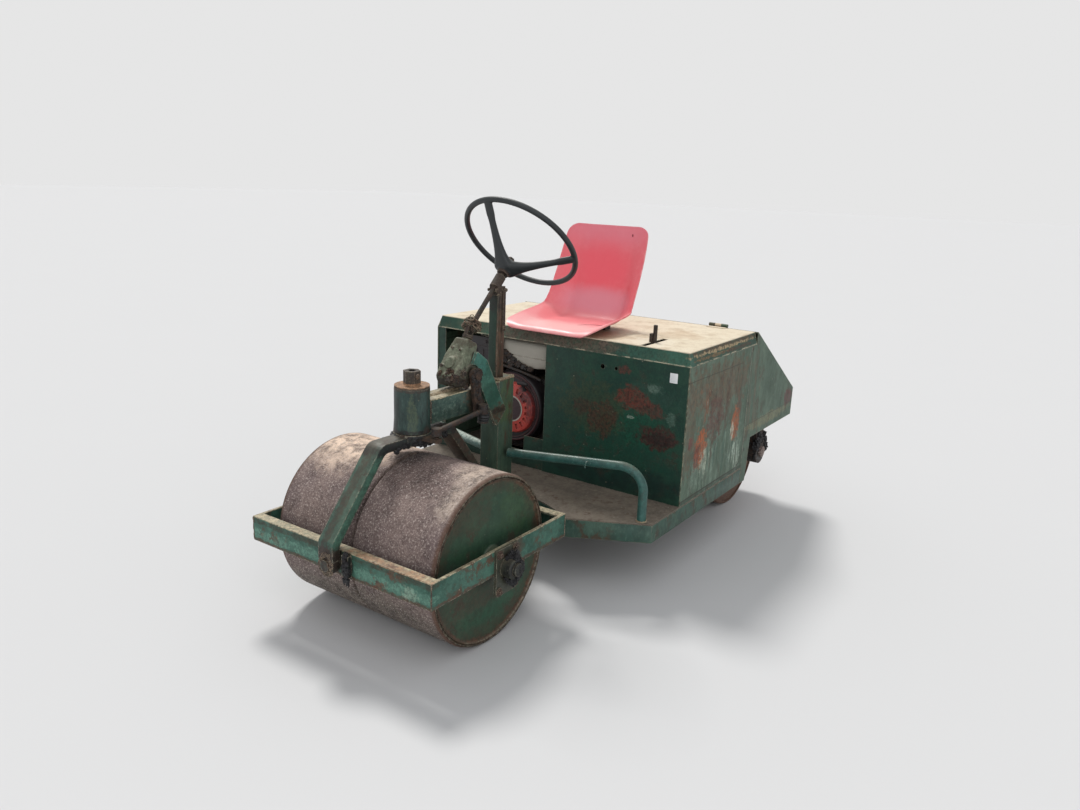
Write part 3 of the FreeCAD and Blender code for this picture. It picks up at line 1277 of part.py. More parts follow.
def smooth_sheet(rows):
    """Smooth surface through a grid of points."""
    surface = Part.BSplineSurface()
    surface.interpolate(rows)
    return surface.toShape()


def make_seat():
    """Moulded seat shell with rounded corners, on two short bracket bars."""
    path = [Vector(HOUSING_FRONT_X - row[0], 0, LID_TOP + row[1]) for row in SEAT_STATIONS]
    under = []
    upper = []
    for index, (_, _, half_width, wing) in enumerate(SEAT_STATIONS):
        along = path[min(index + 1, len(path) - 1)] - path[max(index - 1, 0)]
        normal = Vector(along.z, 0, -along.x)
        normal.normalize()
        row = seat_row(path[index], normal, half_width, wing)
        under.append(row)
        upper.append([point + normal * SEAT_SHELL for point in row])
    sheets = [smooth_sheet(under), smooth_sheet(upper)]
    rims = [Part.makeRuledSurface(low, high) for low, high in zip(sheets[0].Edges, sheets[1].Edges)]
    shell = Part.makeShell(sheets + rims)
    shell.sewShape()
    seat = Part.Solid(shell)
    seat.fix(RUNNING_FIT, RUNNING_FIT, RUNNING_FIT)
    bars = []
    for setback in SEAT_BAR_SETBACKS:
        front = HOUSING_FRONT_X - setback
        bars.append(block(
            (front, front - SEAT_BAR_WIDTH),
            (-SEAT_BAR_HALF_LENGTH, SEAT_BAR_HALF_LENGTH),
            (LID_TOP, LID_TOP + SEAT_RISE - SEAT_BAR_GAP),
        ))
    return {"seat_shell": seat, "seat_bar_front": bars[0], "seat_bar_rear": bars[1]}


def make_engine():
    """Plain engine block on its feet, with fan housing, starter cover and fuel tank."""
    low = ENGINE_Y - ENGINE_HALF_WIDTH
    high = ENGINE_Y + ENGINE_HALF_WIDTH
    rear = ENGINE_FRONT_X - ENGINE_LENGTH
    engine = block((ENGINE_FRONT_X, rear), (low, high), (ENGINE_FOOT_Z, ENGINE_TOP_Z))
    foot_x = (ENGINE_FRONT_X - ENGINE_FOOT_REACH, rear)
    foot_z = (PLATFORM_TOP, ENGINE_FOOT_Z)
    for edge, inward in ((low, 1), (high, -1)):
        outer = edge + inward * ENGINE_FOOT_INSET
        engine = engine.fuse(block(foot_x, (outer, outer + inward * ENGINE_FOOT_WIDTH), foot_z))
    stand_front = ENGINE_FRONT_X - ENGINE_FOOT_REACH
    engine = engine.fuse(block(
        (stand_front, stand_front - TANK_STAND_LENGTH),
        (ENGINE_Y - TANK_STAND_HALF_WIDTH, ENGINE_Y + TANK_STAND_HALF_WIDTH),
        (ENGINE_TOP_Z, TANK_BOTTOM),
    ))
    fan_face = ENGINE_FRONT_X + FAN_HOUSING_DEPTH
    housing = turned(
        [
            (0, 0, 0),
            (FAN_HOUSING_RADIUS, 0, 0),
            (FAN_HOUSING_RADIUS - FAN_HOUSING_TAPER, FAN_HOUSING_DEPTH, FAN_HOUSING_ROUNDING),
            (0, FAN_HOUSING_DEPTH, 0),
        ],
        Vector(ENGINE_FRONT_X, ENGINE_Y, FAN_CENTRE_Z),
        X_AXIS,
        Z_AXIS,
    )
    starter = turned(
        [
            (0, 0, 0),
            (STARTER_RADIUS, 0, 0),
            (STARTER_RADIUS - STARTER_ROUNDING, STARTER_RIM_DEPTH, STARTER_ROUNDING),
            (STARTER_FACE_RADIUS, STARTER_DEPTH, STARTER_ROUNDING),
            (0, STARTER_DEPTH, 0),
        ],
        Vector(fan_face, ENGINE_Y, FAN_CENTRE_Z),
        X_AXIS,
        Z_AXIS,
    )
    for louvre in range(LOUVRE_COUNT):
        starter = starter.cut(starter_louvre(fan_face, 360.0 * louvre / LOUVRE_COUNT))
    tank_front = fan_face + TANK_OVERHANG
    tank = block(
        (tank_front, tank_front - TANK_DEPTH),
        (ENGINE_Y - TANK_HALF_WIDTH, ENGINE_Y + TANK_HALF_WIDTH),
        (TANK_BOTTOM, TANK_TOP),
    )
    return {
        "engine_block": engine.removeSplitter(),
        "fan_housing": housing,
        "starter_cover": starter,
        "fuel_tank": tank,
    }


def starter_louvre(fan_face, turn):
    """Room of one air slot in the starter cover's ring."""
    half = LOUVRE_WIDTH / 2
    slot = block(
        (fan_face + STARTER_DEPTH, fan_face + STARTER_DEPTH - LOUVRE_DEPTH),
        (ENGINE_Y - half, ENGINE_Y + half),
        (FAN_CENTRE_Z + LOUVRE_INNER_RADIUS, FAN_CENTRE_Z + LOUVRE_OUTER_RADIUS),
    )
    slot.rotate(Vector(0, ENGINE_Y, FAN_CENTRE_Z), X_AXIS, turn)
    return slot


def make_lever():
    """Drive lever that stands in the lid's slot, on its pivot block."""
    x = HOUSING_FRONT_X - SLOT_FRONT_INSET - LEVER_STATION
    half_length = LEVER_PIVOT_LENGTH / 2
    half_width = LEVER_PIVOT_WIDTH / 2
    pivot_top = PLATFORM_TOP + LEVER_PIVOT_HEIGHT
    pivot = block(
        (x - half_length, x + half_length),
        (SLOT_Y - half_width, SLOT_Y + half_width),
        (PLATFORM_TOP, pivot_top),
    )
    post = rod(LEVER_RADIUS, Vector(x, SLOT_Y, pivot_top - WELD_DEPTH), Vector(x, SLOT_Y, LEVER_TOP))
    return {"drive_lever": post.fuse(pivot)}


def make_rear_roll():
    """Rear roll with its live axle, and the bearings that hang under the overhang."""
    x = LID_REAR_X - REAR_ROLL_SETBACK
    z = REAR_ROLL_RADIUS
    half_width = BODY_HALF_WIDTH - REAR_ROLL_SIDE_GAP
    bearing_y = BODY_HALF_WIDTH - REAR_BEARING_INSET
    low_y = bearing_y - REAR_BEARING_LENGTH / 2
    high_y = bearing_y + REAR_BEARING_LENGTH / 2
    rounding = ROLL_RIM_ROUNDING
    drum = roll_drum(z, -half_width, half_width, REAR_AXLE_RADIUS, rounding, rounding, ROLL_HUB_STAND_OUT)
    drum.translate(Vector(x, 0, 0))
    axle_end = high_y + REAR_AXLE_STUB
    drum = drum.fuse(rod(REAR_AXLE_RADIUS, Vector(x, -axle_end, z), Vector(x, axle_end, z)))
    bearing = rod(REAR_BEARING_RADIUS, Vector(x, low_y, z), Vector(x, high_y, z))
    half_foot = REAR_BEARING_FOOT_LENGTH / 2
    foot_z = (OVERHANG_BOTTOM - REAR_BEARING_FOOT_THICKNESS, OVERHANG_BOTTOM)
    bearing = bearing.fuse(block((x - half_foot, x + half_foot), (low_y, high_y), foot_z))
    bearing = bearing.fuse(block(
        (x - REAR_BEARING_WEB_HALF_LENGTH, x + REAR_BEARING_WEB_HALF_LENGTH),
        (low_y + REAR_BEARING_WEB_INSET, high_y - REAR_BEARING_WEB_INSET),
        (z, OVERHANG_BOTTOM),
    ))
    bore_start = Vector(x, low_y - CUT_PAST, z)
    bearing = bearing.cut(rod(REAR_AXLE_RADIUS + RUNNING_FIT, bore_start, Vector(x, high_y + CUT_PAST, z)))
    bearing = bearing.removeSplitter()
    return {
        "rear_roll": drum.removeSplitter(),
        "rear_bearing_left": bearing,
        "rear_bearing_right": mirrored(bearing),
    }


def main():
    """Build every sub-part and write one file for each."""
    os.makedirs("parts", exist_ok=True)
    makers = (
        make_front_rolls, make_roll_frame, make_front_axle, make_yoke, make_head, make_steering_wheel,
        make_column_bearing, make_input_shaft, make_steering_linkage, make_platform, make_guards,
        make_side_sheets, make_housing_frame, make_front_panels, make_rear_panels, make_lid, make_seat,
        make_engine, make_lever, make_rear_roll,
    )
    for maker in makers:
        for name, shape in maker().items():
            shape.translate(Vector(MIDDLE_SHIFT, 0, 0))
            shape.exportStep("parts/" + name + ".step")
            print(name, "valid", shape.isValid(), "solids", len(shape.Solids), round(shape.Volume / 1e6, 2))


main()
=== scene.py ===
"""Looks of a small ride-on road roller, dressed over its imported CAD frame.

Units are metres in the part's own frame: X forward, Y to the driver's left, Z up.
"""

from __future__ import annotations

import logging
import math
import random
from dataclasses import dataclass
from enum import Enum
from typing import Sequence

import bmesh
import bpy
from mathutils import Matrix, Vector, noise

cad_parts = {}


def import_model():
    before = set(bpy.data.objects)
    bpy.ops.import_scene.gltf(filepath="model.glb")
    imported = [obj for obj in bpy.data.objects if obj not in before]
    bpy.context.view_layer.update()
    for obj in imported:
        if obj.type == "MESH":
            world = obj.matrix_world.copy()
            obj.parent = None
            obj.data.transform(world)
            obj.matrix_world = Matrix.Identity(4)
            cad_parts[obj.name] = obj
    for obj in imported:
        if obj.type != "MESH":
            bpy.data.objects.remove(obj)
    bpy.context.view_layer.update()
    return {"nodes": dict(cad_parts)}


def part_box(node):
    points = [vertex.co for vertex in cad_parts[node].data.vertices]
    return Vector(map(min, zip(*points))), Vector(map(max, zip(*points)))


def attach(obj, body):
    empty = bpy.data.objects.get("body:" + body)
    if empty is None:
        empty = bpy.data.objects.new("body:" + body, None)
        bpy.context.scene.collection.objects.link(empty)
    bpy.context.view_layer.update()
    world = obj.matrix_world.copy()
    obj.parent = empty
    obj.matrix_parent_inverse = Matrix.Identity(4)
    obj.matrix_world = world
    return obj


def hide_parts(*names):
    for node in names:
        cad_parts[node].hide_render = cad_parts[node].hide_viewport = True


LOG = logging.getLogger("road_roller")

Rgb = tuple[int, int, int]
Point = tuple[float, float, float]
Socket = bpy.types.NodeSocket

KINGPIN_X = 0.8015
FRONT_PANEL_X = 0.0015
LEFT_SIDE_Y = 0.6


class Slot(Enum):
    """Material slots of the record, by name; the pieces made here take their finishes directly and do not use them."""

    TEAL = "teal_paint"
    LID = "lid_paint"
    WORN = "worn_steel"
    GREASE = "greasy_steel"
    CAST = "cast_housing"
    SEAT = "red_plastic"
    WHEEL = "black_plastic"
    RED = "red_paint"
    WHITE = "white_plastic"


class Body(Enum):
    """Bodies of the record that new pieces ride on."""

    CHASSIS = "chassis"
    LID = "lid_unit"
    YOKE = "yoke_unit"
    FRAME = "frame_unit"
    ROLL_LEFT = "front_roll_left_unit"
    ROLL_RIGHT = "front_roll_right_unit"
    WHEEL = "wheel_unit"
    INPUT = "input_unit"
    PITMAN = "pitman_unit"
    LINK = "link_unit"


class Mark(Enum):
    """Ways in which a mark on a finish spreads."""

    STAIN = "stain"
    DRIPS = "drips"
    RING = "ring"


def linear(colour: Rgb) -> tuple[float, float, float, float]:
    """Turn a colour as seen on a screen into the renderer's linear colour.

    Args:
        colour: Red, green and blue from 0 to 255.

    Returns:
        The linear colour with full cover.
    """
    parts = []
    for level in colour:
        share = level / 255.0
        parts.append(share / 12.92 if share <= 0.04045 else ((share + 0.055) / 1.055) ** 2.4)
    return (parts[0], parts[1], parts[2], 1.0)


class FinishGraph:
    """Node graph of one finish, with short calls for the nodes that the finishes share."""

    def __init__(self, name: str) -> None:
        """Start a material that holds a surface shader and its output.

        Args:
            name: Name of the material.
        """
        self.material = bpy.data.materials.new(name)
        self.material.use_nodes = True
        self.nodes = self.material.node_tree.nodes
        self.links = self.material.node_tree.links
        self.nodes.clear()
        self.shader = self.nodes.new("ShaderNodeBsdfPrincipled")
        output = self.nodes.new("ShaderNodeOutputMaterial")
        self.links.new(self.shader.outputs["BSDF"], output.inputs["Surface"])
        self.place = self.nodes.new("ShaderNodeTexCoord").outputs["Object"]
        self.surface = self.nodes.new("ShaderNodeNewGeometry")

    def feed(self, socket: Socket, value: Socket | float | tuple) -> None:
        """Give a socket a fixed value or the result of another node.

        Args:
            socket: Socket that takes the value.
            value: A number, a colour, a vector or another node's result.
        """
        if isinstance(value, bpy.types.NodeSocket):
            self.links.new(value, socket)
        else:
            socket.default_value = value

    def sums(self, operation: str, first: Socket | float, second: Socket | float = 0.0) -> Socket:
        """Join two numbers by one operation, kept between 0 and 1 where it multiplies.

        Args:
            operation: Blender's name of the operation.
            first: First number.
            second: Second number.

        Returns:
            The result's socket.
        """
        node = self.nodes.new("ShaderNodeMath")
        node.operation = operation
        self.feed(node.inputs[0], first)
        self.feed(node.inputs[1], second)
        return node.outputs[0]

    def spread(self, size: float, stretch: Point = (1.0, 1.0, 1.0), shift: float = 0.0) -> Socket:
        """Scale the object's coordinates so that one unit is a feature's size.

        Args:
            size: Size of a feature in metres.
            stretch: Factor along each axis; below 1 makes longer features.
            shift: Offset that makes one pattern differ from the next.

        Returns:
            The scaled coordinates.
        """
        node = self.nodes.new("ShaderNodeMapping")
        self.links.new(self.place, node.inputs["Vector"])
        node.inputs["Scale"].default_value = tuple(factor / size for factor in stretch)
        node.inputs["Location"].default_value = (shift, shift * 1.7, shift * 0.6)
        return node.outputs[0]

    def cloud(
        self,
        size: float,
        stretch: Point = (1.0, 1.0, 1.0),
        shift: float = 0.0,
        detail: float = 4.0,
        rough: float = 0.6,
    ) -> Socket:
        """Cloudy pattern around one half.

        Args:
            size: Size of the large features in metres.
            stretch: Factor along each axis.
            shift: Offset of the pattern.
            detail: Number of finer layers.
            rough: Strength of the finer layers.

        Returns:
            The pattern's value.
        """
        node = self.nodes.new("ShaderNodeTexNoise")
        self.links.new(self.spread(size, stretch, shift), node.inputs["Vector"])
        node.inputs["Scale"].default_value = 1.0
        node.inputs["Detail"].default_value = detail
        node.inputs["Roughness"].default_value = rough
        return node.outputs[0]

    def grains(self, size: float, shift: float = 0.0) -> Socket:
        """Distance to the nearest of many scattered points, for spots and pits.

        Args:
            size: Distance between the points in metres.
            shift: Offset of the pattern.

        Returns:
            The distance in feature sizes.
        """
        node = self.nodes.new("ShaderNodeTexVoronoi")
        self.links.new(self.spread(size, shift=shift), node.inputs["Vector"])
        node.inputs["Scale"].default_value = 1.0
        return node.outputs["Distance"]

    def grade(self, value: Socket, low: float, high: float) -> Socket:
        """Soft step from 0 at one level to 1 at another.

        Args:
            value: Number that is graded.
            low: Level that gives 0.
            high: Level that gives 1; it may lie below the first.

        Returns:
            The graded number.
        """
        node = self.nodes.new("ShaderNodeMapRange")
        node.interpolation_type = "SMOOTHSTEP"
        self.links.new(value, node.inputs["Value"])
        falling = high < low
        node.inputs["From Min"].default_value = min(low, high)
        node.inputs["From Max"].default_value = max(low, high)
        node.inputs["To Min"].default_value = 1.0 if falling else 0.0
        node.inputs["To Max"].default_value = 0.0 if falling else 1.0
        return node.outputs["Result"]

    def scaled(self, value: Socket, low: float, high: float) -> Socket:
        """Stretch a 0 to 1 number over another range.

        Args:
            value: Number from 0 to 1.
            low: Result for 0.
            high: Result for 1.

        Returns:
            The stretched number.
        """
        node = self.nodes.new("ShaderNodeMapRange")
        self.links.new(value, node.inputs["Value"])
        node.inputs["To Min"].default_value = low
        node.inputs["To Max"].default_value = high
        return node.outputs["Result"]

    def blend(self, factor: Socket | float, base: Socket | tuple, top: Socket | tuple) -> Socket:
        """Lay one colour over another.

        Args:
            factor: Cover of the top colour.
            base: Colour below.
            top: Colour above.

        Returns:
            The blended colour.
        """
        node = self.nodes.new("ShaderNodeMix")
        node.data_type = "RGBA"
        self.feed(node.inputs[0], factor)
        self.feed(node.inputs[6], base)
        self.feed(node.inputs[7], top)
        return node.outputs[2]

    def height(self) -> Socket:
        """Height above the floor in metres."""
        return self.split(self.place, 2)

    def facing_up(self) -> Socket:
        """How far the surface faces up, from -1 to 1."""
        return self.split(self.surface.outputs["Normal"], 2)

    def split(self, vector: Socket, axis: int) -> Socket:
        """Take one part of a vector.

        Args:
            vector: Vector to split.
            axis: 0, 1 or 2 for X, Y or Z.

        Returns:
            That part's socket.
        """
        node = self.nodes.new("ShaderNodeSeparateXYZ")
        self.links.new(vector, node.inputs[0])
        return node.outputs[axis]

    def edges(self, radius: float) -> Socket:
        """Mask of the edges of the shape.

        Args:
            radius: Width of the worn strip in metres.

        Returns:
            1 on an edge and 0 away from it.
        """
        rounded = self.nodes.new("ShaderNodeBevel")
        rounded.samples = 4
        rounded.inputs["Radius"].default_value = radius
        dot = self.nodes.new("ShaderNodeVectorMath")
        dot.operation = "DOT_PRODUCT"
        self.links.new(rounded.outputs[0], dot.inputs[0])
        self.links.new(self.surface.outputs["Normal"], dot.inputs[1])
        return self.grade(dot.outputs["Value"], 0.995, 0.86)

    def dirt_and_shade_hollows(self, reach: float) -> Socket:
        """Mask of the corners and gaps, where dirt gathers and shade falls; colour laid by it is dirt and painted
        shade.

        Args:
            reach: Distance in metres over which a neighbour counts.

        Returns:
            1 deep in a corner and 0 in the open.
        """
        node = self.nodes.new("ShaderNodeAmbientOcclusion")
        node.samples = 4
        node.inputs["Distance"].default_value = reach
        return self.grade(node.outputs["AO"], 0.85, 0.25)

    def bump(self, height: Socket, distance: float, strength: float = 1.0) -> None:
        """Raise the surface by a height pattern.

        Args:
            height: Pattern from 0 to 1.
            distance: Height in metres of a full step.
            strength: Share of the effect.
        """
        node = self.nodes.new("ShaderNodeBump")
        node.inputs["Strength"].default_value = strength
        node.inputs["Distance"].default_value = distance
        self.links.new(height, node.inputs["Height"])
        self.links.new(node.outputs[0], self.shader.inputs["Normal"])

    def finish(self, colour: Socket, roughness: Socket | float) -> bpy.types.Material:
        """Give the shader its colour and roughness.

        Args:
            colour: Surface colour.
            roughness: Surface roughness.

        Returns:
            The finished material.
        """
        self.feed(self.shader.inputs["Base Color"], colour)
        self.feed(self.shader.inputs["Roughness"], roughness)
        return self.material


@dataclass(frozen=True)
class Patch:
    """Stain, drip field, ring, painted highlight or painted shade at one place of a finish."""

    centre: Point
    reach: Point
    colour: Rgb
    strength: float = 0.85
    ragged: float = 0.7
    grain: float = 0.05
    mark: Mark = Mark.STAIN
    soft: float = 0.1
    holes: float = 0.5
    band: float = 0.1

    def mask(self, graph: FinishGraph) -> Socket:
        """Cover of the patch over the surface.

        Args:
            graph: Graph of the finish.

        Returns:
            The cover from 0 to the patch's strength.
        """
        away = graph.nodes.new("ShaderNodeVectorMath")
        away.operation = "SUBTRACT"
        graph.links.new(graph.place, away.inputs[0])
        away.inputs[1].default_value = self.centre
        share = graph.nodes.new("ShaderNodeVectorMath")
        share.operation = "DIVIDE"
        graph.links.new(away.outputs[0], share.inputs[0])
        share.inputs[1].default_value = self.reach
        length = graph.nodes.new("ShaderNodeVectorMath")
        length.operation = "LENGTH"
        graph.links.new(share.outputs[0], length.inputs[0])
        distance = length.outputs["Value"]
        if self.mark is Mark.RING:
            away_from_ring = graph.sums("ABSOLUTE", graph.sums("SUBTRACT", distance, 1.0))
            distance = graph.sums("DIVIDE", away_from_ring, self.band)
        offset = self.centre[1] * 9.0 + self.centre[2] * 5.0
        reach = self.ragged * 1.7
        rough_edge = graph.scaled(graph.cloud(self.grain, shift=offset, detail=7.0, rough=0.75), -reach, reach)
        cover = graph.grade(graph.sums("ADD", distance, rough_edge), 1.0 + self.soft, 0.85 - self.soft)
        if self.holes > 0.0:
            holes = graph.grade(graph.cloud(self.grain * 0.4, shift=offset + 3.0, detail=6.0, rough=0.75), 0.46, 0.6)
            cover = graph.sums("MULTIPLY", cover, graph.scaled(holes, 1.0, 1.0 - self.holes))
        if self.mark is Mark.DRIPS:
            runs = graph.cloud(0.03, (1.0, 1.0, 0.16), self.centre[0] * 11.0, 5.0, 0.65)
            cover = graph.sums("MULTIPLY", cover, graph.grade(runs, 0.47, 0.58))
        return graph.sums("MULTIPLY", cover, self.strength)

    def tone(self, graph: FinishGraph, grain: Socket) -> Socket:
        """Colour of the patch, darker in its grain.

        Args:
            graph: Graph of the finish.
            grain: Fine pattern of the finish.

        Returns:
            The patch's colour.
        """
        darker = tuple(int(level * 0.6) for level in self.colour)
        return graph.blend(graph.grade(grain, 0.42, 0.64), linear(self.colour), linear(darker))


@dataclass(frozen=True)
class Seam:
    """Dark line along the border of a rounded rectangle on an upright side sheet."""

    centre: tuple[float, float]
    half: tuple[float, float]
    corner: float = 0.06
    width: float = 0.003
    colour: Rgb = (40, 44, 36)
    strength: float = 0.8

    def mask(self, graph: FinishGraph) -> Socket:
        """Cover of the line over the surface.

        Args:
            graph: Graph of the finish.

        Returns:
            The cover from 0 to the line's strength.
        """
        spans = []
        for axis, middle, half in ((0, self.centre[0], self.half[0]), (2, self.centre[1], self.half[1])):
            away = graph.sums("ABSOLUTE", graph.sums("SUBTRACT", graph.split(graph.place, axis), middle))
            spans.append(graph.sums("SUBTRACT", away, half - self.corner))
        squares = [graph.sums("POWER", graph.sums("MAXIMUM", span, 0.0), 2.0) for span in spans]
        outside = graph.sums("POWER", graph.sums("ADD", squares[0], squares[1]), 0.5)
        inside = graph.sums("MINIMUM", graph.sums("MAXIMUM", spans[0], spans[1]), 0.0)
        border = graph.sums("SUBTRACT", graph.sums("ADD", outside, inside), self.corner)
        wander = graph.scaled(graph.cloud(0.05, shift=4.0), -self.width, self.width)
        near = graph.sums("ABSOLUTE", graph.sums("ADD", border, wander))
        return graph.sums("MULTIPLY", graph.grade(near, self.width, self.width * 0.4), self.strength)


class Finish:
    """A finish that makes its material once and keeps it."""

    made: dict[str, bpy.types.Material] = {}
    name: str

    def material(self) -> bpy.types.Material:
        """The finish's material, made at its first use."""
        if self.name not in Finish.made:
            Finish.made[self.name] = self.mix(FinishGraph(self.name))
        return Finish.made[self.name]

    def mix(self, graph: FinishGraph) -> bpy.types.Material:
        """Build the finish in a fresh graph.

        Args:
            graph: Graph that holds the shader.

        Returns:
            The finished material.
        """
        raise NotImplementedError


@dataclass(frozen=True)
class WeatheredPaint(Finish):
    """Old paint with fading, dirt and painted shade in its corners, chips, rust and worn edges."""

    name: str
    fresh: Rgb = (44, 92, 76)
    faded: Rgb = (84, 124, 104)
    deep: Rgb = (26, 48, 42)
    rust: Rgb = (104, 62, 40)
    bare: Rgb = (172, 168, 148)
    dust: Rgb = (140, 128, 108)
    fading: float = 0.55
    grime_and_shade: float = 0.5
    chips: float = 0.5
    flecks: float = 0.35
    edge: float = 0.7
    edge_width: float = 0.005
    dusting: float = 0.35
    roughness: float = 0.5
    speckle: float = 0.6
    grain: Point = (1.0, 1.0, 1.0)
    shift: float = 0.0
    patches: tuple[Patch, ...] = ()
    seams: tuple[Seam, ...] = ()

    def mix(self, graph: FinishGraph) -> bpy.types.Material:
        """Build the paint.

        Args:
            graph: Graph that holds the shader.

        Returns:
            The finished material.
        """
        shift = self.shift
        broad = graph.cloud(0.16, self.grain, shift, 5.0, 0.65)
        middle = graph.cloud(0.05, self.grain, shift + 3.0, 6.0, 0.7)
        fine = graph.cloud(0.012, self.grain, shift + 7.0, 6.0, 0.75)
        colour = graph.blend(
            graph.sums("MULTIPLY", graph.grade(broad, 0.38, 0.62), self.fading),
            linear(self.fresh),
            linear(self.faded),
        )
        colour = graph.blend(graph.scaled(graph.grade(middle, 0.32, 0.7), 0.0, 0.55), colour, linear(self.deep))
        colour = graph.blend(graph.scaled(graph.grade(fine, 0.5, 0.7), 0.0, self.speckle), colour, linear(self.faded))
        colour = graph.blend(graph.scaled(graph.grade(fine, 0.47, 0.3), 0.0, self.speckle), colour, linear(self.deep))
        for patch in self.patches:
            colour = graph.blend(patch.mask(graph), colour, patch.tone(graph, fine))
        for seam in self.seams:
            colour = graph.blend(seam.mask(graph), colour, linear(seam.colour))
        # Dirt and painted shade: dark brown laid into corners and gaps by the ambient-occlusion mask.
        dirt = graph.sums("MULTIPLY", graph.dirt_and_shade_hollows(0.05), graph.scaled(middle, 0.5, 1.3))
        colour = graph.blend(graph.sums("MULTIPLY", dirt, self.grime_and_shade), colour, linear((42, 34, 28)))
        up = graph.sums("MULTIPLY", graph.grade(graph.facing_up(), 0.35, 0.95), graph.grade(broad, 0.25, 0.6))
        colour = graph.blend(graph.sums("MULTIPLY", up, self.dusting), colour, linear(self.dust))
        flaked = graph.sums("MULTIPLY", graph.grade(middle, 0.52, 0.58), graph.grade(broad, 0.45, 0.62))
        rust = graph.blend(graph.grade(fine, 0.35, 0.65), linear(self.rust), linear((66, 42, 32)))
        colour = graph.blend(graph.sums("MULTIPLY", flaked, self.chips), colour, rust)
        fleck = graph.sums("MULTIPLY", graph.grade(graph.grains(0.027, shift), 0.13, 0.05), graph.grade(middle, 0.5, 0.6))
        colour = graph.blend(graph.sums("MULTIPLY", fleck, self.flecks), colour, linear(self.bare))
        edge = graph.sums("MULTIPLY", graph.edges(self.edge_width), graph.grade(middle, 0.34, 0.52))
        worn = graph.blend(graph.grade(fine, 0.4, 0.6), linear(self.bare), rust)
        colour = graph.blend(graph.sums("MULTIPLY", edge, self.edge), colour, worn)
        graph.shader.inputs["Specular IOR Level"].default_value = 0.4
        relief = graph.sums("ADD", graph.scaled(fine, 0.0, 0.5), graph.scaled(flaked, 0.5, 0.0))
        graph.bump(relief, 0.0012, 0.6)
        rough = graph.sums("ADD", graph.scaled(middle, -0.18, 0.22), self.roughness)
        return graph.finish(colour, rough)


@dataclass(frozen=True)
class LidPaint(Finish):
    """Lid with a pale, dusty top and green flanges that have chipped along the corner."""

    name: str = "lid_top_and_flange"
    top: Rgb = (222, 209, 184)
    top_stain: Rgb = (164, 136, 104)
    flange: Rgb = (36, 66, 54)
    flange_worn: Rgb = (80, 84, 66)
    chip: Rgb = (206, 196, 170)
    top_height: float = 0.8605
    patches: tuple[Patch, ...] = ()
    flange_patches: tuple[Patch, ...] = ()

    def mix(self, graph: FinishGraph) -> bpy.types.Material:
        """Build the lid's two coats.

        Args:
            graph: Graph that holds the shader.

        Returns:
            The finished material.
        """
        broad = graph.cloud(0.3, shift=2.0, detail=5.0, rough=0.6)
        middle = graph.cloud(0.07, shift=5.0, detail=6.0, rough=0.7)
        fine = graph.cloud(0.01, shift=9.0, detail=6.0, rough=0.75)
        pale = graph.blend(graph.grade(broad, 0.4, 0.65), linear(self.top), linear((226, 214, 190)))
        pale = graph.blend(graph.scaled(graph.grade(middle, 0.42, 0.75), 0.0, 0.5), pale, linear(self.top_stain))
        pale = graph.blend(graph.scaled(graph.grade(fine, 0.5, 0.8), 0.0, 0.45), pale, linear((128, 100, 74)))
        for patch in self.patches:
            pale = graph.blend(patch.mask(graph), pale, linear(patch.colour))
        # Painted shade: darker brown in the lid's corners and round the parts standing on it, such as the seat's bars
        # and the lever.
        pale = graph.blend(graph.scaled(graph.dirt_and_shade_hollows(0.07), 0.0, 0.55), pale, linear((104, 78, 56)))
        green = graph.blend(graph.grade(broad, 0.4, 0.6), linear(self.flange), linear((62, 102, 84)))
        green = graph.blend(graph.scaled(graph.grade(middle, 0.45, 0.7), 0.0, 0.7), green, linear(self.flange_worn))
        green = graph.blend(graph.scaled(graph.grade(fine, 0.55, 0.75), 0.0, 0.5), green, linear((84, 60, 44)))
        for patch in self.flange_patches:
            green = graph.blend(patch.mask(graph), green, patch.tone(graph, fine))
        chip = graph.sums("MULTIPLY", graph.edges(0.008), graph.grade(middle, 0.42, 0.56))
        green = graph.blend(chip, green, linear(self.chip))
        rise = graph.sums("ADD", graph.height(), graph.scaled(middle, -0.0012, 0.0012))
        colour = graph.blend(graph.grade(rise, self.top_height, self.top_height + 0.0016), green, pale)
        graph.shader.inputs["Specular IOR Level"].default_value = 0.35
        graph.bump(fine, 0.0008, 0.5)
        return graph.finish(colour, graph.scaled(middle, 0.45, 0.75))


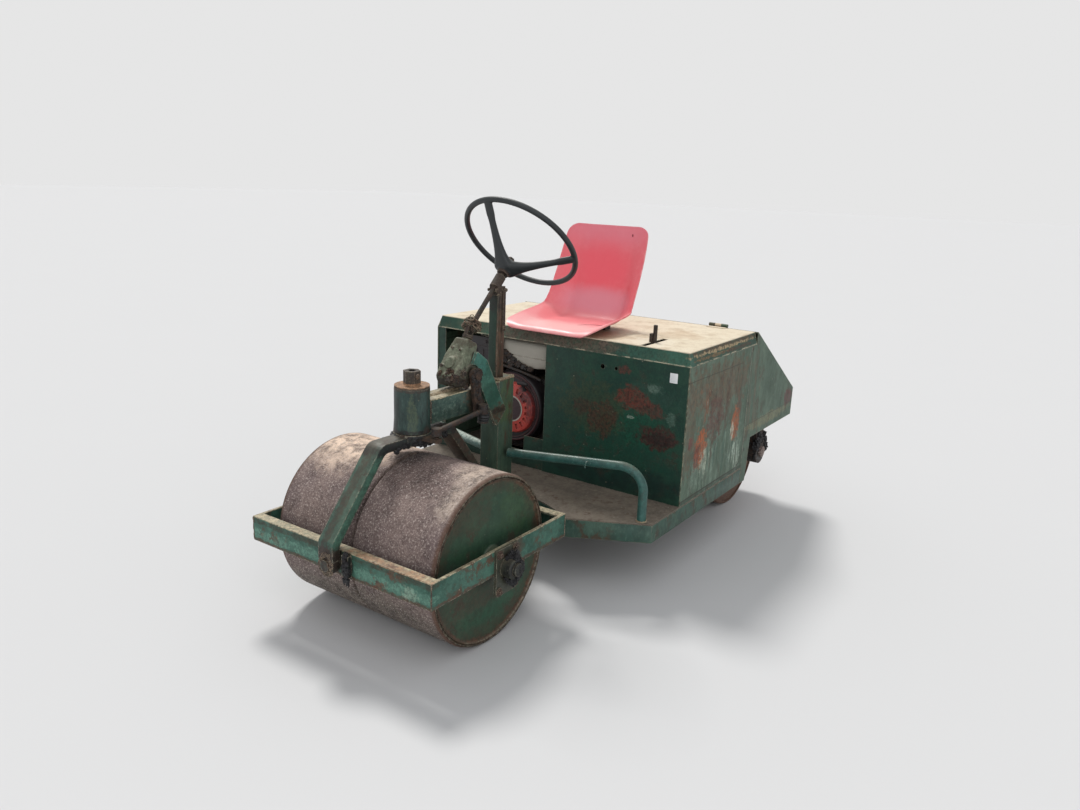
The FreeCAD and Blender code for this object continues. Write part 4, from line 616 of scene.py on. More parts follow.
@dataclass(frozen=True)
class RollSteel(Finish):
    """Rolling face of a drum: brown, pitted and grained like stone, with patches of dust, painted sunlight and painted
    shade.
    """

    name: str = "roll_steel"
    base: Rgb = (114, 98, 96)
    warm: Rgb = (132, 114, 108)
    light: Rgb = (204, 190, 182)
    dark: Rgb = (66, 54, 53)
    rim: Rgb = (92, 66, 52)
    rim_places: tuple[float, ...] = (0.338,)
    patches: tuple[Patch, ...] = ()

    def mix(self, graph: FinishGraph) -> bpy.types.Material:
        """Build the speckled steel.

        Args:
            graph: Graph that holds the shader.

        Returns:
            The finished material.
        """
        broad = graph.cloud(0.2, shift=1.0, detail=5.0, rough=0.6)
        middle = graph.cloud(0.04, shift=4.0, detail=6.0, rough=0.75)
        speck = graph.cloud(0.006, shift=8.0, detail=3.0, rough=0.85)
        stones = graph.grains(0.0085, 2.0)
        pits = graph.grains(0.0105, 5.0)
        colour = graph.blend(graph.grade(broad, 0.35, 0.65), linear(self.base), linear(self.warm))
        colour = graph.blend(graph.scaled(graph.grade(middle, 0.4, 0.72), 0.0, 0.55), colour, linear(self.dark))
        for patch in self.patches:
            colour = graph.blend(patch.mask(graph), colour, patch.tone(graph, middle))
        colour = graph.blend(graph.scaled(graph.grade(speck, 0.5, 0.66), 0.0, 0.44), colour, linear(self.light))
        colour = graph.blend(graph.scaled(graph.grade(speck, 0.46, 0.32), 0.0, 0.5), colour, linear(self.dark))
        pale = graph.sums("MULTIPLY", graph.grade(stones, 0.36, 0.2), graph.grade(speck, 0.46, 0.54))
        colour = graph.blend(graph.sums("MULTIPLY", pale, 0.55), colour, linear(self.light))
        sunk = graph.sums("MULTIPLY", graph.grade(pits, 0.34, 0.16), graph.grade(middle, 0.4, 0.55))
        colour = graph.blend(graph.sums("MULTIPLY", sunk, 0.4), colour, linear(self.dark))
        across = graph.sums("ABSOLUTE", graph.split(graph.place, 1))
        for place in self.rim_places:
            near = graph.sums("ABSOLUTE", graph.sums("SUBTRACT", across, place))
            near = graph.sums("ADD", near, graph.scaled(middle, -0.01, 0.01))
            colour = graph.blend(graph.scaled(graph.grade(near, 0.016, 0.003), 0.0, 0.8), colour, linear(self.rim))
        relief = graph.sums("ADD", graph.scaled(speck, 0.0, 0.6), graph.scaled(sunk, 0.4, 0.0))
        graph.bump(relief, 0.002, 0.8)
        graph.shader.inputs["Specular IOR Level"].default_value = 0.3
        return graph.finish(colour, graph.scaled(middle, 0.6, 0.9))


@dataclass(frozen=True)
class Grease(Finish):
    """Black grease and dirt baked on steel, with wet spots and a paler colour on up-facing parts that is dust, and on
    fresh grease a painted sheen.
    """

    name: str = "black_grease"
    base: Rgb = (26, 26, 28)
    brown: Rgb = (64, 46, 36)
    dust_and_sheen: Rgb = (98, 86, 72)
    wet: float = 0.5

    def mix(self, graph: FinishGraph) -> bpy.types.Material:
        """Build the grease.

        Args:
            graph: Graph that holds the shader.

        Returns:
            The finished material.
        """
        middle = graph.cloud(0.02, shift=2.0, detail=6.0, rough=0.75)
        fine = graph.cloud(0.005, shift=6.0, detail=5.0, rough=0.7)
        colour = graph.blend(graph.grade(middle, 0.4, 0.68), linear(self.base), linear(self.brown))
        colour = graph.blend(graph.scaled(graph.grade(fine, 0.52, 0.75), 0.0, 0.6), colour, linear(self.dust_and_sheen))
        # Paler on up-facing parts: dust, and on fresh grease a painted sheen.
        colour = graph.blend(
            graph.scaled(graph.sums("MULTIPLY", graph.grade(graph.facing_up(), 0.4, 1.0), middle), 0.0, 0.7),
            colour,
            linear(self.dust_and_sheen),
        )
        graph.bump(graph.sums("ADD", graph.scaled(middle, 0.0, 0.6), graph.scaled(fine, 0.0, 0.4)), 0.003, 0.8)
        return graph.finish(colour, graph.scaled(graph.grade(middle, 0.4, 0.6), 0.75 - self.wet * 0.5, 0.85))


@dataclass(frozen=True)
class RustySteel(Finish):
    """Bare or thinly painted steel gone brown, with rubbed bright edges."""

    name: str = "rusty_steel"
    base: Rgb = (92, 72, 58)
    light: Rgb = (142, 118, 96)
    dark: Rgb = (52, 40, 34)
    tint: Rgb = (62, 86, 72)
    tinting: float = 0.25
    shine: float = 0.25
    patches: tuple[Patch, ...] = ()

    def mix(self, graph: FinishGraph) -> bpy.types.Material:
        """Build the rusty steel.

        Args:
            graph: Graph that holds the shader.

        Returns:
            The finished material.
        """
        broad = graph.cloud(0.07, shift=3.0, detail=5.0, rough=0.65)
        middle = graph.cloud(0.022, shift=5.0, detail=6.0, rough=0.75)
        fine = graph.cloud(0.006, shift=7.0, detail=5.0, rough=0.7)
        colour = graph.blend(graph.grade(broad, 0.35, 0.65), linear(self.base), linear(self.dark))
        colour = graph.blend(graph.scaled(graph.grade(middle, 0.5, 0.62), 0.0, self.tinting * 2.0), colour, linear(self.tint))
        colour = graph.blend(graph.scaled(graph.grade(fine, 0.48, 0.72), 0.0, 0.7), colour, linear(self.light))
        for patch in self.patches:
            colour = graph.blend(patch.mask(graph), colour, patch.tone(graph, fine))
        rubbed = graph.sums("MULTIPLY", graph.edges(0.003), graph.grade(middle, 0.35, 0.6))
        colour = graph.blend(graph.scaled(rubbed, 0.0, 0.7), colour, linear((176, 158, 134)))
        graph.shader.inputs["Metallic"].default_value = self.shine
        graph.bump(graph.sums("ADD", graph.scaled(middle, 0.0, 0.5), graph.scaled(fine, 0.0, 0.5)), 0.0016, 0.7)
        return graph.finish(colour, graph.scaled(middle, 0.5, 0.85))


@dataclass(frozen=True)
class Plastic(Finish):
    """Moulded plastic or coated rubber, paler where it faces up from sun-bleach and painted top light, scuffed at its
    edges, with dirt and painted shade in its creases.
    """

    name: str
    base: Rgb
    bleached_and_lit: Rgb
    dirt: Rgb
    top_bleach_and_light: float = 0.6
    dirt_and_shade_level: float = 0.3
    scuff: Rgb = (235, 190, 184)
    scuffing: float = 0.5
    roughness: float = 0.42
    sheen: float = 0.0
    patches: tuple[Patch, ...] = ()

    def mix(self, graph: FinishGraph) -> bpy.types.Material:
        """Build the plastic.

        Args:
            graph: Graph that holds the shader.

        Returns:
            The finished material.
        """
        broad = graph.cloud(0.14, shift=1.0, detail=3.0, rough=0.5)
        middle = graph.cloud(0.03, shift=6.0, detail=5.0, rough=0.65)
        fine = graph.cloud(0.004, shift=9.0, detail=4.0, rough=0.7)
        # Paler where it faces up: sun-bleach and painted top light.
        up = graph.sums("ADD", graph.grade(graph.facing_up(), 0.15, 0.95), graph.scaled(broad, -0.35, 0.35))
        colour = graph.blend(
            graph.sums("MULTIPLY", graph.grade(up, 0.1, 1.0), self.top_bleach_and_light), linear(self.base), linear(self.bleached_and_lit)
        )
        colour = graph.blend(graph.scaled(graph.grade(middle, 0.4, 0.75), 0.0, 0.22), colour, linear(self.bleached_and_lit))
        for patch in self.patches:
            colour = graph.blend(patch.mask(graph), colour, linear(patch.colour))
        scuffed = graph.sums("MULTIPLY", graph.edges(0.006), graph.grade(middle, 0.35, 0.6))
        colour = graph.blend(graph.sums("MULTIPLY", scuffed, self.scuffing), colour, linear(self.scuff))
        # Dirt and painted shade: the dirt colour laid into creases and corners by the ambient-occlusion mask.
        soiled_and_shaded = graph.sums("MULTIPLY", graph.dirt_and_shade_hollows(0.04), graph.scaled(middle, 0.4, 1.2))
        colour = graph.blend(graph.sums("MULTIPLY", soiled_and_shaded, self.dirt_and_shade_level), colour, linear(self.dirt))
        specks = graph.grade(graph.grains(0.018, 3.0), 0.09, 0.04)
        colour = graph.blend(graph.sums("MULTIPLY", specks, self.dirt_and_shade_level), colour, linear(self.dirt))
        graph.shader.inputs["Sheen Weight"].default_value = self.sheen
        graph.bump(fine, 0.0004, 0.4)
        return graph.finish(colour, graph.sums("ADD", graph.scaled(middle, -0.1, 0.14), self.roughness))


@dataclass(frozen=True)
class YardFloor(Finish):
    """Plain pale floor."""

    name: str = "pale_floor"
    tone: Rgb = (213, 213, 214)

    def mix(self, graph: FinishGraph) -> bpy.types.Material:
        """Build the floor.

        Args:
            graph: Graph that holds the shader.

        Returns:
            The finished material.
        """
        soft = graph.cloud(0.9, detail=3.0, rough=0.5)
        colour = graph.blend(graph.scaled(soft, 0.0, 0.5), linear(self.tone), linear((211, 211, 212)))
        graph.shader.inputs["Specular IOR Level"].default_value = 0.1
        return graph.finish(colour, 0.95)


class MeshShop:
    """Makes the meshes of the dressing pieces in a bmesh of its own."""

    def __init__(self, name: str, seed: int = 1) -> None:
        """Start an empty mesh.

        Args:
            name: Name of the piece.
            seed: Seed of its uneven forms.
        """
        self.name = name
        self.mesh = bmesh.new()
        self.chance = random.Random(seed)
        self.seed = seed

    @staticmethod
    def basis(axis: Vector) -> tuple[Vector, Vector, Vector]:
        """Two directions square to an axis, and the axis itself.

        Args:
            axis: Direction of the axis.

        Returns:
            Both cross directions and the unit axis.
        """
        unit = axis.normalized()
        helper = Vector((0.0, 0.0, 1.0)) if abs(unit.z) < 0.9 else Vector((1.0, 0.0, 0.0))
        first = helper.cross(unit).normalized()
        return first, unit.cross(first), unit

    def rings(self, loops: list[list[Vector]], closed: bool, caps: bool = True) -> None:
        """Join rows of points into a skin.

        Args:
            loops: Rows with the same number of points.
            closed: Whether each row is a ring.
            caps: Whether the first and last row are filled.
        """
        made = [[self.mesh.verts.new(point) for point in row] for row in loops]
        count = len(made[0])
        last = count if closed else count - 1
        for low, high in zip(made, made[1:]):
            for index in range(last):
                after = (index + 1) % count
                self.mesh.faces.new((low[index], low[after], high[after], high[index]))
        if caps and closed:
            self.mesh.faces.new(list(reversed(made[0])))
            self.mesh.faces.new(made[-1])

    def lathe(self, profile: Sequence[tuple[float, float]], centre: Vector, axis: Vector, sides: int = 48) -> None:
        """Turn a profile about an axis.

        Args:
            profile: Radius and station pairs from one end to the other.
            centre: Point on the axis at station 0.
            axis: Direction of the axis.
            sides: Number of sides.
        """
        first, second, unit = self.basis(axis)
        loops = []
        for radius, station in profile:
            row = []
            for index in range(sides):
                angle = 2.0 * math.pi * index / sides
                out = first * math.cos(angle) + second * math.sin(angle)
                row.append(centre + unit * station + out * max(radius, 0.00005))
            loops.append(row)
        self.rings(loops, True)

    def tube(self, path: Sequence[Vector], radii: Sequence[float], sides: int = 12, flat: float = 1.0) -> None:
        """Sweep a round or flattened section along a path.

        Args:
            path: Points of the path.
            radii: Radius at each point.
            sides: Number of sides.
            flat: Height of the section as a share of its width.
        """
        loops = []
        first = None
        for index, point in enumerate(path):
            ahead = path[min(index + 1, len(path) - 1)]
            behind = path[max(index - 1, 0)]
            unit = (ahead - behind).normalized()
            if first is None:
                first = self.basis(unit)[0]
            first = (first - unit * first.dot(unit)).normalized()
            second = unit.cross(first)
            row = []
            for side in range(sides):
                angle = 2.0 * math.pi * side / sides
                out = first * math.cos(angle) + second * (math.sin(angle) * flat)
                row.append(point + out * radii[index])
            loops.append(row)
        self.rings(loops, True)

    def bead(self, start: Vector, end: Vector, radius: float, wander: float = 0.35) -> None:
        """Lay one rough weld bead between two points.

        Args:
            start: First point.
            end: Last point.
            radius: Radius of the bead.
            wander: Unevenness as a share of the radius.
        """
        count = max(4, int((end - start).length / (radius * 0.7)))
        path = []
        radii = []
        for index in range(count + 1):
            point = start.lerp(end, index / count)
            shake = noise.noise_vector(point * 160.0 + Vector((self.seed, 0.0, 0.0))) * radius * wander
            ripple = 1.0 + 0.16 * math.cos(index * math.pi)
            taper = 0.45 if index in (0, count) else 1.0
            path.append(point + shake)
            radii.append(radius * ripple * taper * (1.0 + wander * noise.noise(point * 90.0)))
        self.tube(path, radii, 8)

    def lump(self, centre: Vector, reach: Sequence[float], rough: float = 0.35, fine: float = 1.0) -> None:
        """Add one uneven lump.

        Args:
            centre: Middle of the lump.
            reach: Half size along each axis.
            rough: Unevenness as a share of the size.
            fine: Factor on the fineness of the unevenness.
        """
        made = bmesh.ops.create_icosphere(self.mesh, subdivisions=3, radius=1.0)["verts"]
        size = Vector(reach)
        for vert in made:
            unit = vert.co.normalized()
            sample = unit * 1.7 * fine + centre * 40.0 + Vector((self.seed * 3.1, 0.0, 0.0))
            swell = 1.0 + rough * noise.noise(sample) + rough * 0.6 * noise.noise(sample * 2.7)
            vert.co = centre + Vector((unit.x * size.x, unit.y * size.y, unit.z * size.z)) * swell

    def bolt(self, seat: Vector, axis: Vector, across: float, height: float, washer: float = 1.9) -> None:
        """Add a hexagon head with a chamfer on its washer.

        Args:
            seat: Point on the surface.
            axis: Direction out of the surface.
            across: Size of the head across its flats.
            height: Height of the head.
            washer: Diameter of the washer as a share of the head's size.
        """
        first, second, unit = self.basis(axis)
        if washer > 0.0:
            flat = across * washer / 2.0
            self.lathe([(0.0, 0.0), (flat, 0.0), (flat, height * 0.2), (flat * 0.96, height * 0.26), (0.0, height * 0.26)], seat, unit, 24)
        corner = across / math.sqrt(3.0)
        turn = self.chance.uniform(0.0, 1.0)
        base = seat + unit * (height * 0.2 if washer > 0.0 else 0.0)
        loops = []
        for share, station in ((1.0, 0.0), (1.0, height * 0.75), (0.84, height), (0.3, height * 1.02)):
            row = []
            for side in range(6):
                angle = math.pi * side / 3.0 + turn
                out = first * math.cos(angle) + second * math.sin(angle)
                row.append(base + unit * station + out * corner * share)
            loops.append(row)
        self.rings(loops, True)

    def slab(self, corners: Sequence[Vector], thickness: Vector, soften: float = 0.0) -> None:
        """Extrude a flat outline.

        Args:
            corners: Corners of the outline in order.
            thickness: Direction and length of the extrusion.
            soften: Width of the rounding on the edges.
        """
        low = [self.mesh.verts.new(corner) for corner in corners]
        high = [self.mesh.verts.new(corner + thickness) for corner in corners]
        count = len(corners)
        faces = [self.mesh.faces.new(list(reversed(low))), self.mesh.faces.new(high)]
        for index in range(count):
            after = (index + 1) % count
            faces.append(self.mesh.faces.new((low[index], low[after], high[after], high[index])))
        if soften > 0.0:
            edges = list({edge for face in faces for edge in face.edges})
            bmesh.ops.bevel(self.mesh, geom=edges, offset=soften, segments=2, profile=0.6, affect="EDGES")

    def box(self, low: Vector, high: Vector, soften: float) -> None:
        """Add a block with rounded edges.

        Args:
            low: Lowest corner.
            high: Highest corner.
            soften: Width of the rounding.
        """
        corners = [
            Vector((low.x, low.y, low.z)),
            Vector((high.x, low.y, low.z)),
            Vector((high.x, high.y, low.z)),
            Vector((low.x, high.y, low.z)),
        ]
        self.slab(corners, Vector((0.0, 0.0, high.z - low.z)), soften)

    def done(self, finish: Finish, body: Body, sharp: float = 35.0) -> bpy.types.Object:
        """Turn the mesh into a piece that rides on a body.

        Args:
            finish: Finish of the piece.
            body: Body that carries it.
            sharp: Angle in degrees above which an edge stays sharp.

        Returns:
            The new object.
        """
        bmesh.ops.recalc_face_normals(self.mesh, faces=self.mesh.faces[:])
        limit = math.radians(sharp)
        for face in self.mesh.faces:
            face.smooth = True
        for edge in self.mesh.edges:
            if len(edge.link_faces) == 2 and edge.calc_face_angle(0.0) > limit:
                edge.smooth = False
        data = bpy.data.meshes.new(self.name)
        self.mesh.to_mesh(data)
        self.mesh.free()
        data.materials.append(finish.material())
        piece = bpy.data.objects.new(self.name, data)
        bpy.context.scene.collection.objects.link(piece)
        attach(piece, body.value)
        LOG.info("piece %s on %s, %d faces", self.name, body.value, len(data.polygons))
        return piece


def baked(piece: bpy.types.Object) -> None:
    """Apply a piece's modifiers to its mesh.

    Args:
        piece: Object whose modifiers are applied.
    """
    bpy.context.view_layer.update()
    graph = bpy.context.evaluated_depsgraph_get()
    mesh = bpy.data.meshes.new_from_object(piece.evaluated_get(graph))
    piece.modifiers.clear()
    piece.data = mesh


EVERYWHERE = 9.0
TEAL_FRAME = WeatheredPaint(
    name="teal_frame_paint",
    fresh=(44, 90, 76),
    faded=(86, 128, 112),
    deep=(34, 52, 44),
    chips=0.8,
    flecks=0.5,
    edge=0.9,
    edge_width=0.006,
    dusting=0.4,
    grime_and_shade=0.7,
    patches=(
        Patch((1.16, 0.0, 0.292), (0.05, EVERYWHERE, 0.02), (104, 150, 132), 0.75, 0.8, 0.05, holes=0.6),
        Patch((1.16, 0.0, 0.334), (0.05, EVERYWHERE, 0.011), (54, 58, 44), 0.85, 0.8, 0.05, holes=0.6),
        Patch((KINGPIN_X, 0.0, 0.348), (EVERYWHERE, EVERYWHERE, 0.0045), (214, 198, 162), 0.9, 0.5, 0.035),
        Patch((1.15, 0.2, 0.348), (0.05, 0.22, 0.0055), (170, 124, 90), 0.9, 0.8, 0.05),
        Patch((KINGPIN_X, 0.0, 0.261), (EVERYWHERE, EVERYWHERE, 0.014), (88, 58, 42), 0.85, 0.7, 0.04),
        Patch((1.16, 0.39, 0.305), (0.02, 0.014, 0.07), (84, 54, 40), 0.95, 0.4, 0.02),
        Patch((1.16, 0.31, 0.29), (0.05, 0.035, 0.022), (150, 170, 150), 0.6, 0.9, 0.012),
        Patch((KINGPIN_X - 0.05, 0.39, 0.31), (0.05, 0.03, 0.05), (86, 62, 46), 0.8, 0.8, 0.03),
        Patch((1.185, 0.0, 0.305), (0.034, 0.05, 0.05), (58, 44, 38), 0.97, 0.3, 0.02, holes=0.15),
        Patch((1.15, 0.056, 0.304), (0.022, 0.024, 0.055), (22, 24, 28), 0.98, 0.3, 0.02, holes=0.1),
    ),
)
YOKE_PAINT = WeatheredPaint(
    name="yoke_paint",
    fresh=(46, 80, 68),
    faded=(82, 112, 98),
    deep=(32, 36, 34),
    rust=(62, 44, 36),
    chips=0.95,
    edge=0.85,
    edge_width=0.007,
    grime_and_shade=0.8,
    dusting=0.3,
    shift=11.0,
    patches=(
        Patch((1.0, -0.004, 0.46), (0.6, 0.016, 0.6), (58, 46, 38), 0.72, 0.7, 0.035),
        Patch((1.05, 0.04, 0.47), (0.2, 0.014, 0.2), (92, 136, 116), 0.5, 0.8, 0.04),
        Patch((0.55, 0.0, 0.43), (0.17, 0.2, 0.24), (74, 54, 42), 0.92, 0.5, 0.05, holes=0.3),
        # Near-black band round the crown's sides under the head: painted shade.
        Patch((KINGPIN_X + 0.02, 0.0, 0.612), (0.2, 0.2, 0.034), (26, 26, 29), 0.96, 0.4, 0.05, holes=0.15),
        Patch((KINGPIN_X + 0.11, 0.0, 0.642), (0.14, 0.2, 0.005), (104, 96, 82), 0.75, 0.6, 0.03),
        Patch((1.165, 0.0, 0.305), (0.06, 0.1, 0.064), (58, 44, 38), 0.97, 0.4, 0.03, holes=0.15),
    ),
)
HEAD_PAINT = WeatheredPaint(
    name="head_paint",
    fresh=(32, 54, 50),
    faded=(66, 90, 84),
    deep=(20, 28, 28),
    rust=(50, 44, 36),
    chips=0.7,
    grain=(1.0, 1.0, 0.35),
    grime_and_shade=0.7,
    roughness=0.42,
    speckle=0.75,
    shift=17.0,
    patches=(
        Patch((KINGPIN_X + 0.05, -0.03, 0.7), (0.04, 0.03, 0.09), (26, 34, 34), 0.75, 0.8, 0.03),
        Patch((KINGPIN_X + 0.045, 0.045, 0.69), (0.02, 0.02, 0.09), (88, 102, 78), 0.6, 0.8, 0.03),
        Patch((KINGPIN_X, 0.0, 0.784), (0.2, 0.2, 0.006), (66, 54, 46), 0.85, 0.4, 0.03),
        Patch((KINGPIN_X, 0.0, 0.644), (0.2, 0.2, 0.012), (30, 28, 28), 0.92, 0.5, 0.03),
    ),
)
POST_PAINT = WeatheredPaint(
    name="post_paint",
    fresh=(46, 74, 62),
    faded=(80, 98, 78),
    deep=(34, 42, 36),
    rust=(78, 62, 44),
    chips=0.85,
    grime_and_shade=0.6,
    grain=(1.0, 1.0, 0.3),
    shift=23.0,
    patches=(
        Patch((0.4, 0.02, 0.66), (0.012, 0.02, 0.09), (62, 48, 38), 0.8, 0.8, 0.04),
        Patch((0.35, 0.04, 0.66), (0.04, 0.01, 0.12), (74, 92, 58), 0.7, 0.7, 0.05),
    ),
)
BEAM_PAINT = WeatheredPaint(
    name="beam_paint",
    fresh=(42, 72, 64),
    faded=(98, 118, 104),
    deep=(26, 36, 34),
    rust=(62, 50, 40),
    chips=0.9,
    flecks=0.9,
    grime_and_shade=0.8,
    speckle=0.85,
    shift=27.0,
    patches=(
        Patch((KINGPIN_X - 0.2, 0.0, 0.745), (EVERYWHERE, EVERYWHERE, 0.007), (206, 190, 152), 0.95, 0.4, 0.03),
        Patch((KINGPIN_X - 0.3, 0.04, 0.71), (0.09, 0.03, 0.05), (92, 80, 64), 0.85, 0.7, 0.03),
        Patch((KINGPIN_X - 0.34, 0.04, 0.68), (0.06, 0.03, 0.06), (56, 42, 34), 0.85, 0.7, 0.03),
    ),
)
UPPER_POST_PAINT = WeatheredPaint(
    name="upper_post_paint",
    fresh=(26, 54, 42),
    faded=(44, 70, 54),
    deep=(22, 34, 28),
    rust=(66, 48, 38),
    chips=0.6,
    edge=0.6,
    grime_and_shade=0.5,
    grain=(1.0, 1.0, 0.25),
    shift=29.0,
    patches=(
        Patch((0.3635, 0.022, 0.82), (0.06, 0.009, 0.4), (84, 60, 46), 0.95, 0.2, 0.03),
        Patch((0.3635, 0.022, 0.82), (0.06, 0.009, 0.3), (112, 86, 68), 0.5, 0.5, 0.05, Mark.DRIPS),
        Patch((0.3635, 0.0, 1.03), (0.06, 0.06, 0.05), (34, 30, 28), 0.8, 0.6, 0.04),
    ),
)
TUBE_PAINT = WeatheredPaint(
    name="guard_tube_paint",
    fresh=(42, 84, 78),
    faded=(72, 116, 108),
    deep=(28, 54, 50),
    chips=0.12,
    flecks=0.25,
    edge=0.3,
    grime_and_shade=0.5,
    dusting=0.25,
    roughness=0.36,
    shift=31.0,
    # Pale strip along the top of the tube's cross run: sun-bleach and a painted highlight.
    patches=(Patch((0.313, -0.2, 0.492), (0.06, 0.28, 0.022), (206, 224, 214), 0.9, 0.5, 0.05, soft=0.3),),
)
RAIL_PAINT = WeatheredPaint(
    name="platform_rail_paint",
    fresh=(44, 76, 66),
    faded=(82, 108, 92),
    deep=(34, 46, 40),
    rust=(82, 62, 46),
    chips=0.8,
    edge=0.8,
    grime_and_shade=0.45,
    dusting=0.2,
    grain=(1.0, 1.0, 0.6),
    shift=37.0,
)
FLOOR_DIRT = WeatheredPaint(
    name="floor_plate_dirt",
    fresh=(100, 92, 82),
    faded=(136, 124, 110),
    deep=(64, 58, 52),
    rust=(80, 62, 48),
    dust=(114, 104, 92),
    bare=(196, 188, 172),
    chips=0.5,
    flecks=0.6,
    edge=0.4,
    dusting=0.5,
    roughness=0.8,
    speckle=0.75,
    shift=41.0,
)
PANEL_RUST = (
    Patch((FRONT_PANEL_X, 0.43, 0.66), (0.05, 0.13, 0.07), (50, 82, 70), 0.45, 0.8, 0.04),
    Patch((FRONT_PANEL_X, 0.414, 0.547), (0.05, 0.12, 0.08), (18, 84, 62), 0.6, 0.5, 0.1),
    Patch((FRONT_PANEL_X, 0.33, 0.46), (0.05, 0.22, 0.1), (18, 74, 58), 0.45, 0.5, 0.1),
    Patch((FRONT_PANEL_X, 0.33, 0.34), (0.05, 0.34, 0.06), (16, 38, 36), 0.65, 0.5, 0.1),
    Patch((FRONT_PANEL_X, 0.2, 0.6), (0.05, 0.16, 0.11), (62, 72, 50), 0.6, 0.9, 0.05),
    Patch((FRONT_PANEL_X, 0.251, 0.557), (0.05, 0.07, 0.07), (80, 48, 36), 0.7, 0.9, 0.045),
    Patch((FRONT_PANEL_X, 0.158, 0.593), (0.05, 0.045, 0.035), (74, 44, 34), 0.6, 0.9, 0.03),
    Patch((FRONT_PANEL_X, 0.376, 0.664), (0.05, 0.075, 0.045), (110, 52, 42), 0.85, 0.8, 0.035),
    Patch((FRONT_PANEL_X, 0.45, 0.63), (0.05, 0.06, 0.03), (92, 52, 44), 0.75, 0.9, 0.03),
    Patch((FRONT_PANEL_X, 0.487, 0.527), (0.05, 0.085, 0.05), (68, 38, 34), 0.95, 0.6, 0.035),
    Patch((FRONT_PANEL_X, 0.5, 0.522), (0.05, 0.06, 0.025), (44, 30, 29), 0.8, 0.7, 0.03),
    Patch((FRONT_PANEL_X, 0.332, 0.766), (0.05, 0.03, 0.016), (100, 54, 46), 0.75, 0.8, 0.02),
    Patch((FRONT_PANEL_X, 0.46, 0.713), (0.05, 0.03, 0.016), (140, 164, 150), 0.35, 1.1, 0.02, soft=0.3),
    Patch((FRONT_PANEL_X, 0.54, 0.61), (0.05, 0.018, 0.024), (136, 164, 148), 0.3, 1.1, 0.02, soft=0.3),
    Patch((FRONT_PANEL_X, 0.37, 0.589), (0.05, 0.016, 0.007), (184, 200, 184), 0.6, 0.8, 0.01),
)
PANEL_PAINT = WeatheredPaint(
    name="front_panel_paint",
    fresh=(20, 58, 48),
    faded=(42, 76, 58),
    deep=(22, 42, 36),
    rust=(62, 52, 40),
    chips=0.32,
    flecks=0.4,
    edge=0.4,
    grime_and_shade=0.3,
    roughness=0.46,
    shift=43.0,
    patches=PANEL_RUST,
)
SIDE_RUST = (
    Patch((-0.3, LEFT_SIDE_Y, 0.38), (0.34, 0.05, 0.12), (128, 150, 134), 0.6, 0.8, 0.06, Mark.DRIPS),
    Patch((-0.36, LEFT_SIDE_Y, 0.43), (0.12, 0.05, 0.1), (40, 88, 74), 0.6, 0.8, 0.07, Mark.DRIPS),
    Patch((-0.3, LEFT_SIDE_Y, 0.7), (0.34, 0.05, 0.1), (96, 80, 58), 0.8, 0.9, 0.05),
    Patch((-0.4, LEFT_SIDE_Y, 0.64), (0.2, 0.05, 0.12), (84, 64, 48), 0.7, 0.9, 0.045, Mark.DRIPS),
    Patch((-0.04, LEFT_SIDE_Y, 0.58), (0.05, 0.05, 0.2), (96, 82, 60), 0.7, 0.9, 0.04),
    Patch((-0.27, LEFT_SIDE_Y, 0.58), (0.09, 0.05, 0.1), (90, 58, 44), 0.9, 0.9, 0.04),
    Patch((-0.16, LEFT_SIDE_Y, 0.654), (0.04, 0.05, 0.09), (132, 82, 52), 0.9, 0.8, 0.035, Mark.DRIPS),
    Patch((-0.145, LEFT_SIDE_Y, 0.48), (0.055, 0.05, 0.085), (168, 86, 36), 1.0, 0.75, 0.03, holes=0.6),
    Patch((-0.11, LEFT_SIDE_Y, 0.45), (0.03, 0.05, 0.05), (112, 52, 34), 0.8, 0.9, 0.02),
    Patch((-0.48, LEFT_SIDE_Y, 0.51), (0.04, 0.05, 0.08), (170, 88, 40), 0.95, 0.75, 0.03, holes=0.6),
    Patch((-0.51, LEFT_SIDE_Y, 0.62), (0.035, 0.05, 0.1), (98, 64, 46), 0.85, 0.85, 0.04, Mark.DRIPS),
    Patch((-0.05, LEFT_SIDE_Y, 0.515), (0.022, 0.05, 0.026), (106, 50, 42), 0.85, 0.8, 0.02),
    Patch((-0.191, LEFT_SIDE_Y, 0.648), (0.014, 0.05, 0.05), (204, 204, 180), 0.8, 0.8, 0.014, Mark.DRIPS),
    Patch((-0.452, LEFT_SIDE_Y, 0.47), (0.02, 0.05, 0.045), (216, 218, 196), 0.85, 0.8, 0.014, Mark.DRIPS),
    Patch((-0.2, LEFT_SIDE_Y, 0.41), (0.06, 0.05, 0.06), (178, 188, 168), 0.7, 0.95, 0.02, Mark.DRIPS),
    Patch((-0.5, LEFT_SIDE_Y, 0.37), (0.07, 0.05, 0.06), (176, 192, 176), 0.75, 0.95, 0.02, Mark.DRIPS),
    Patch((-0.3, LEFT_SIDE_Y, 0.292), (0.4, 0.05, 0.012), (46, 60, 48), 0.7, 0.3, 0.05),
)
SIDE_SEAMS = (
    Seam((-0.19, 1.0), (0.396, 0.7), 0.075, 0.0032, (42, 42, 34), 0.9),
    Seam((-0.25, 0.0), (0.262, 0.7555), 0.01, 0.0026, (46, 46, 36), 0.75),
)
SIDE_PAINT = WeatheredPaint(
    name="side_panel_paint",
    fresh=(70, 92, 74),
    faded=(98, 120, 102),
    deep=(52, 66, 54),
    rust=(94, 68, 50),
    bare=(186, 184, 160),
    chips=0.5,
    flecks=0.6,
    edge=0.7,
    grime_and_shade=0.4,
    roughness=0.55,
    grain=(1.0, 1.0, 0.4),
    speckle=0.75,
    shift=47.0,
    patches=SIDE_RUST,
    seams=SIDE_SEAMS,
)
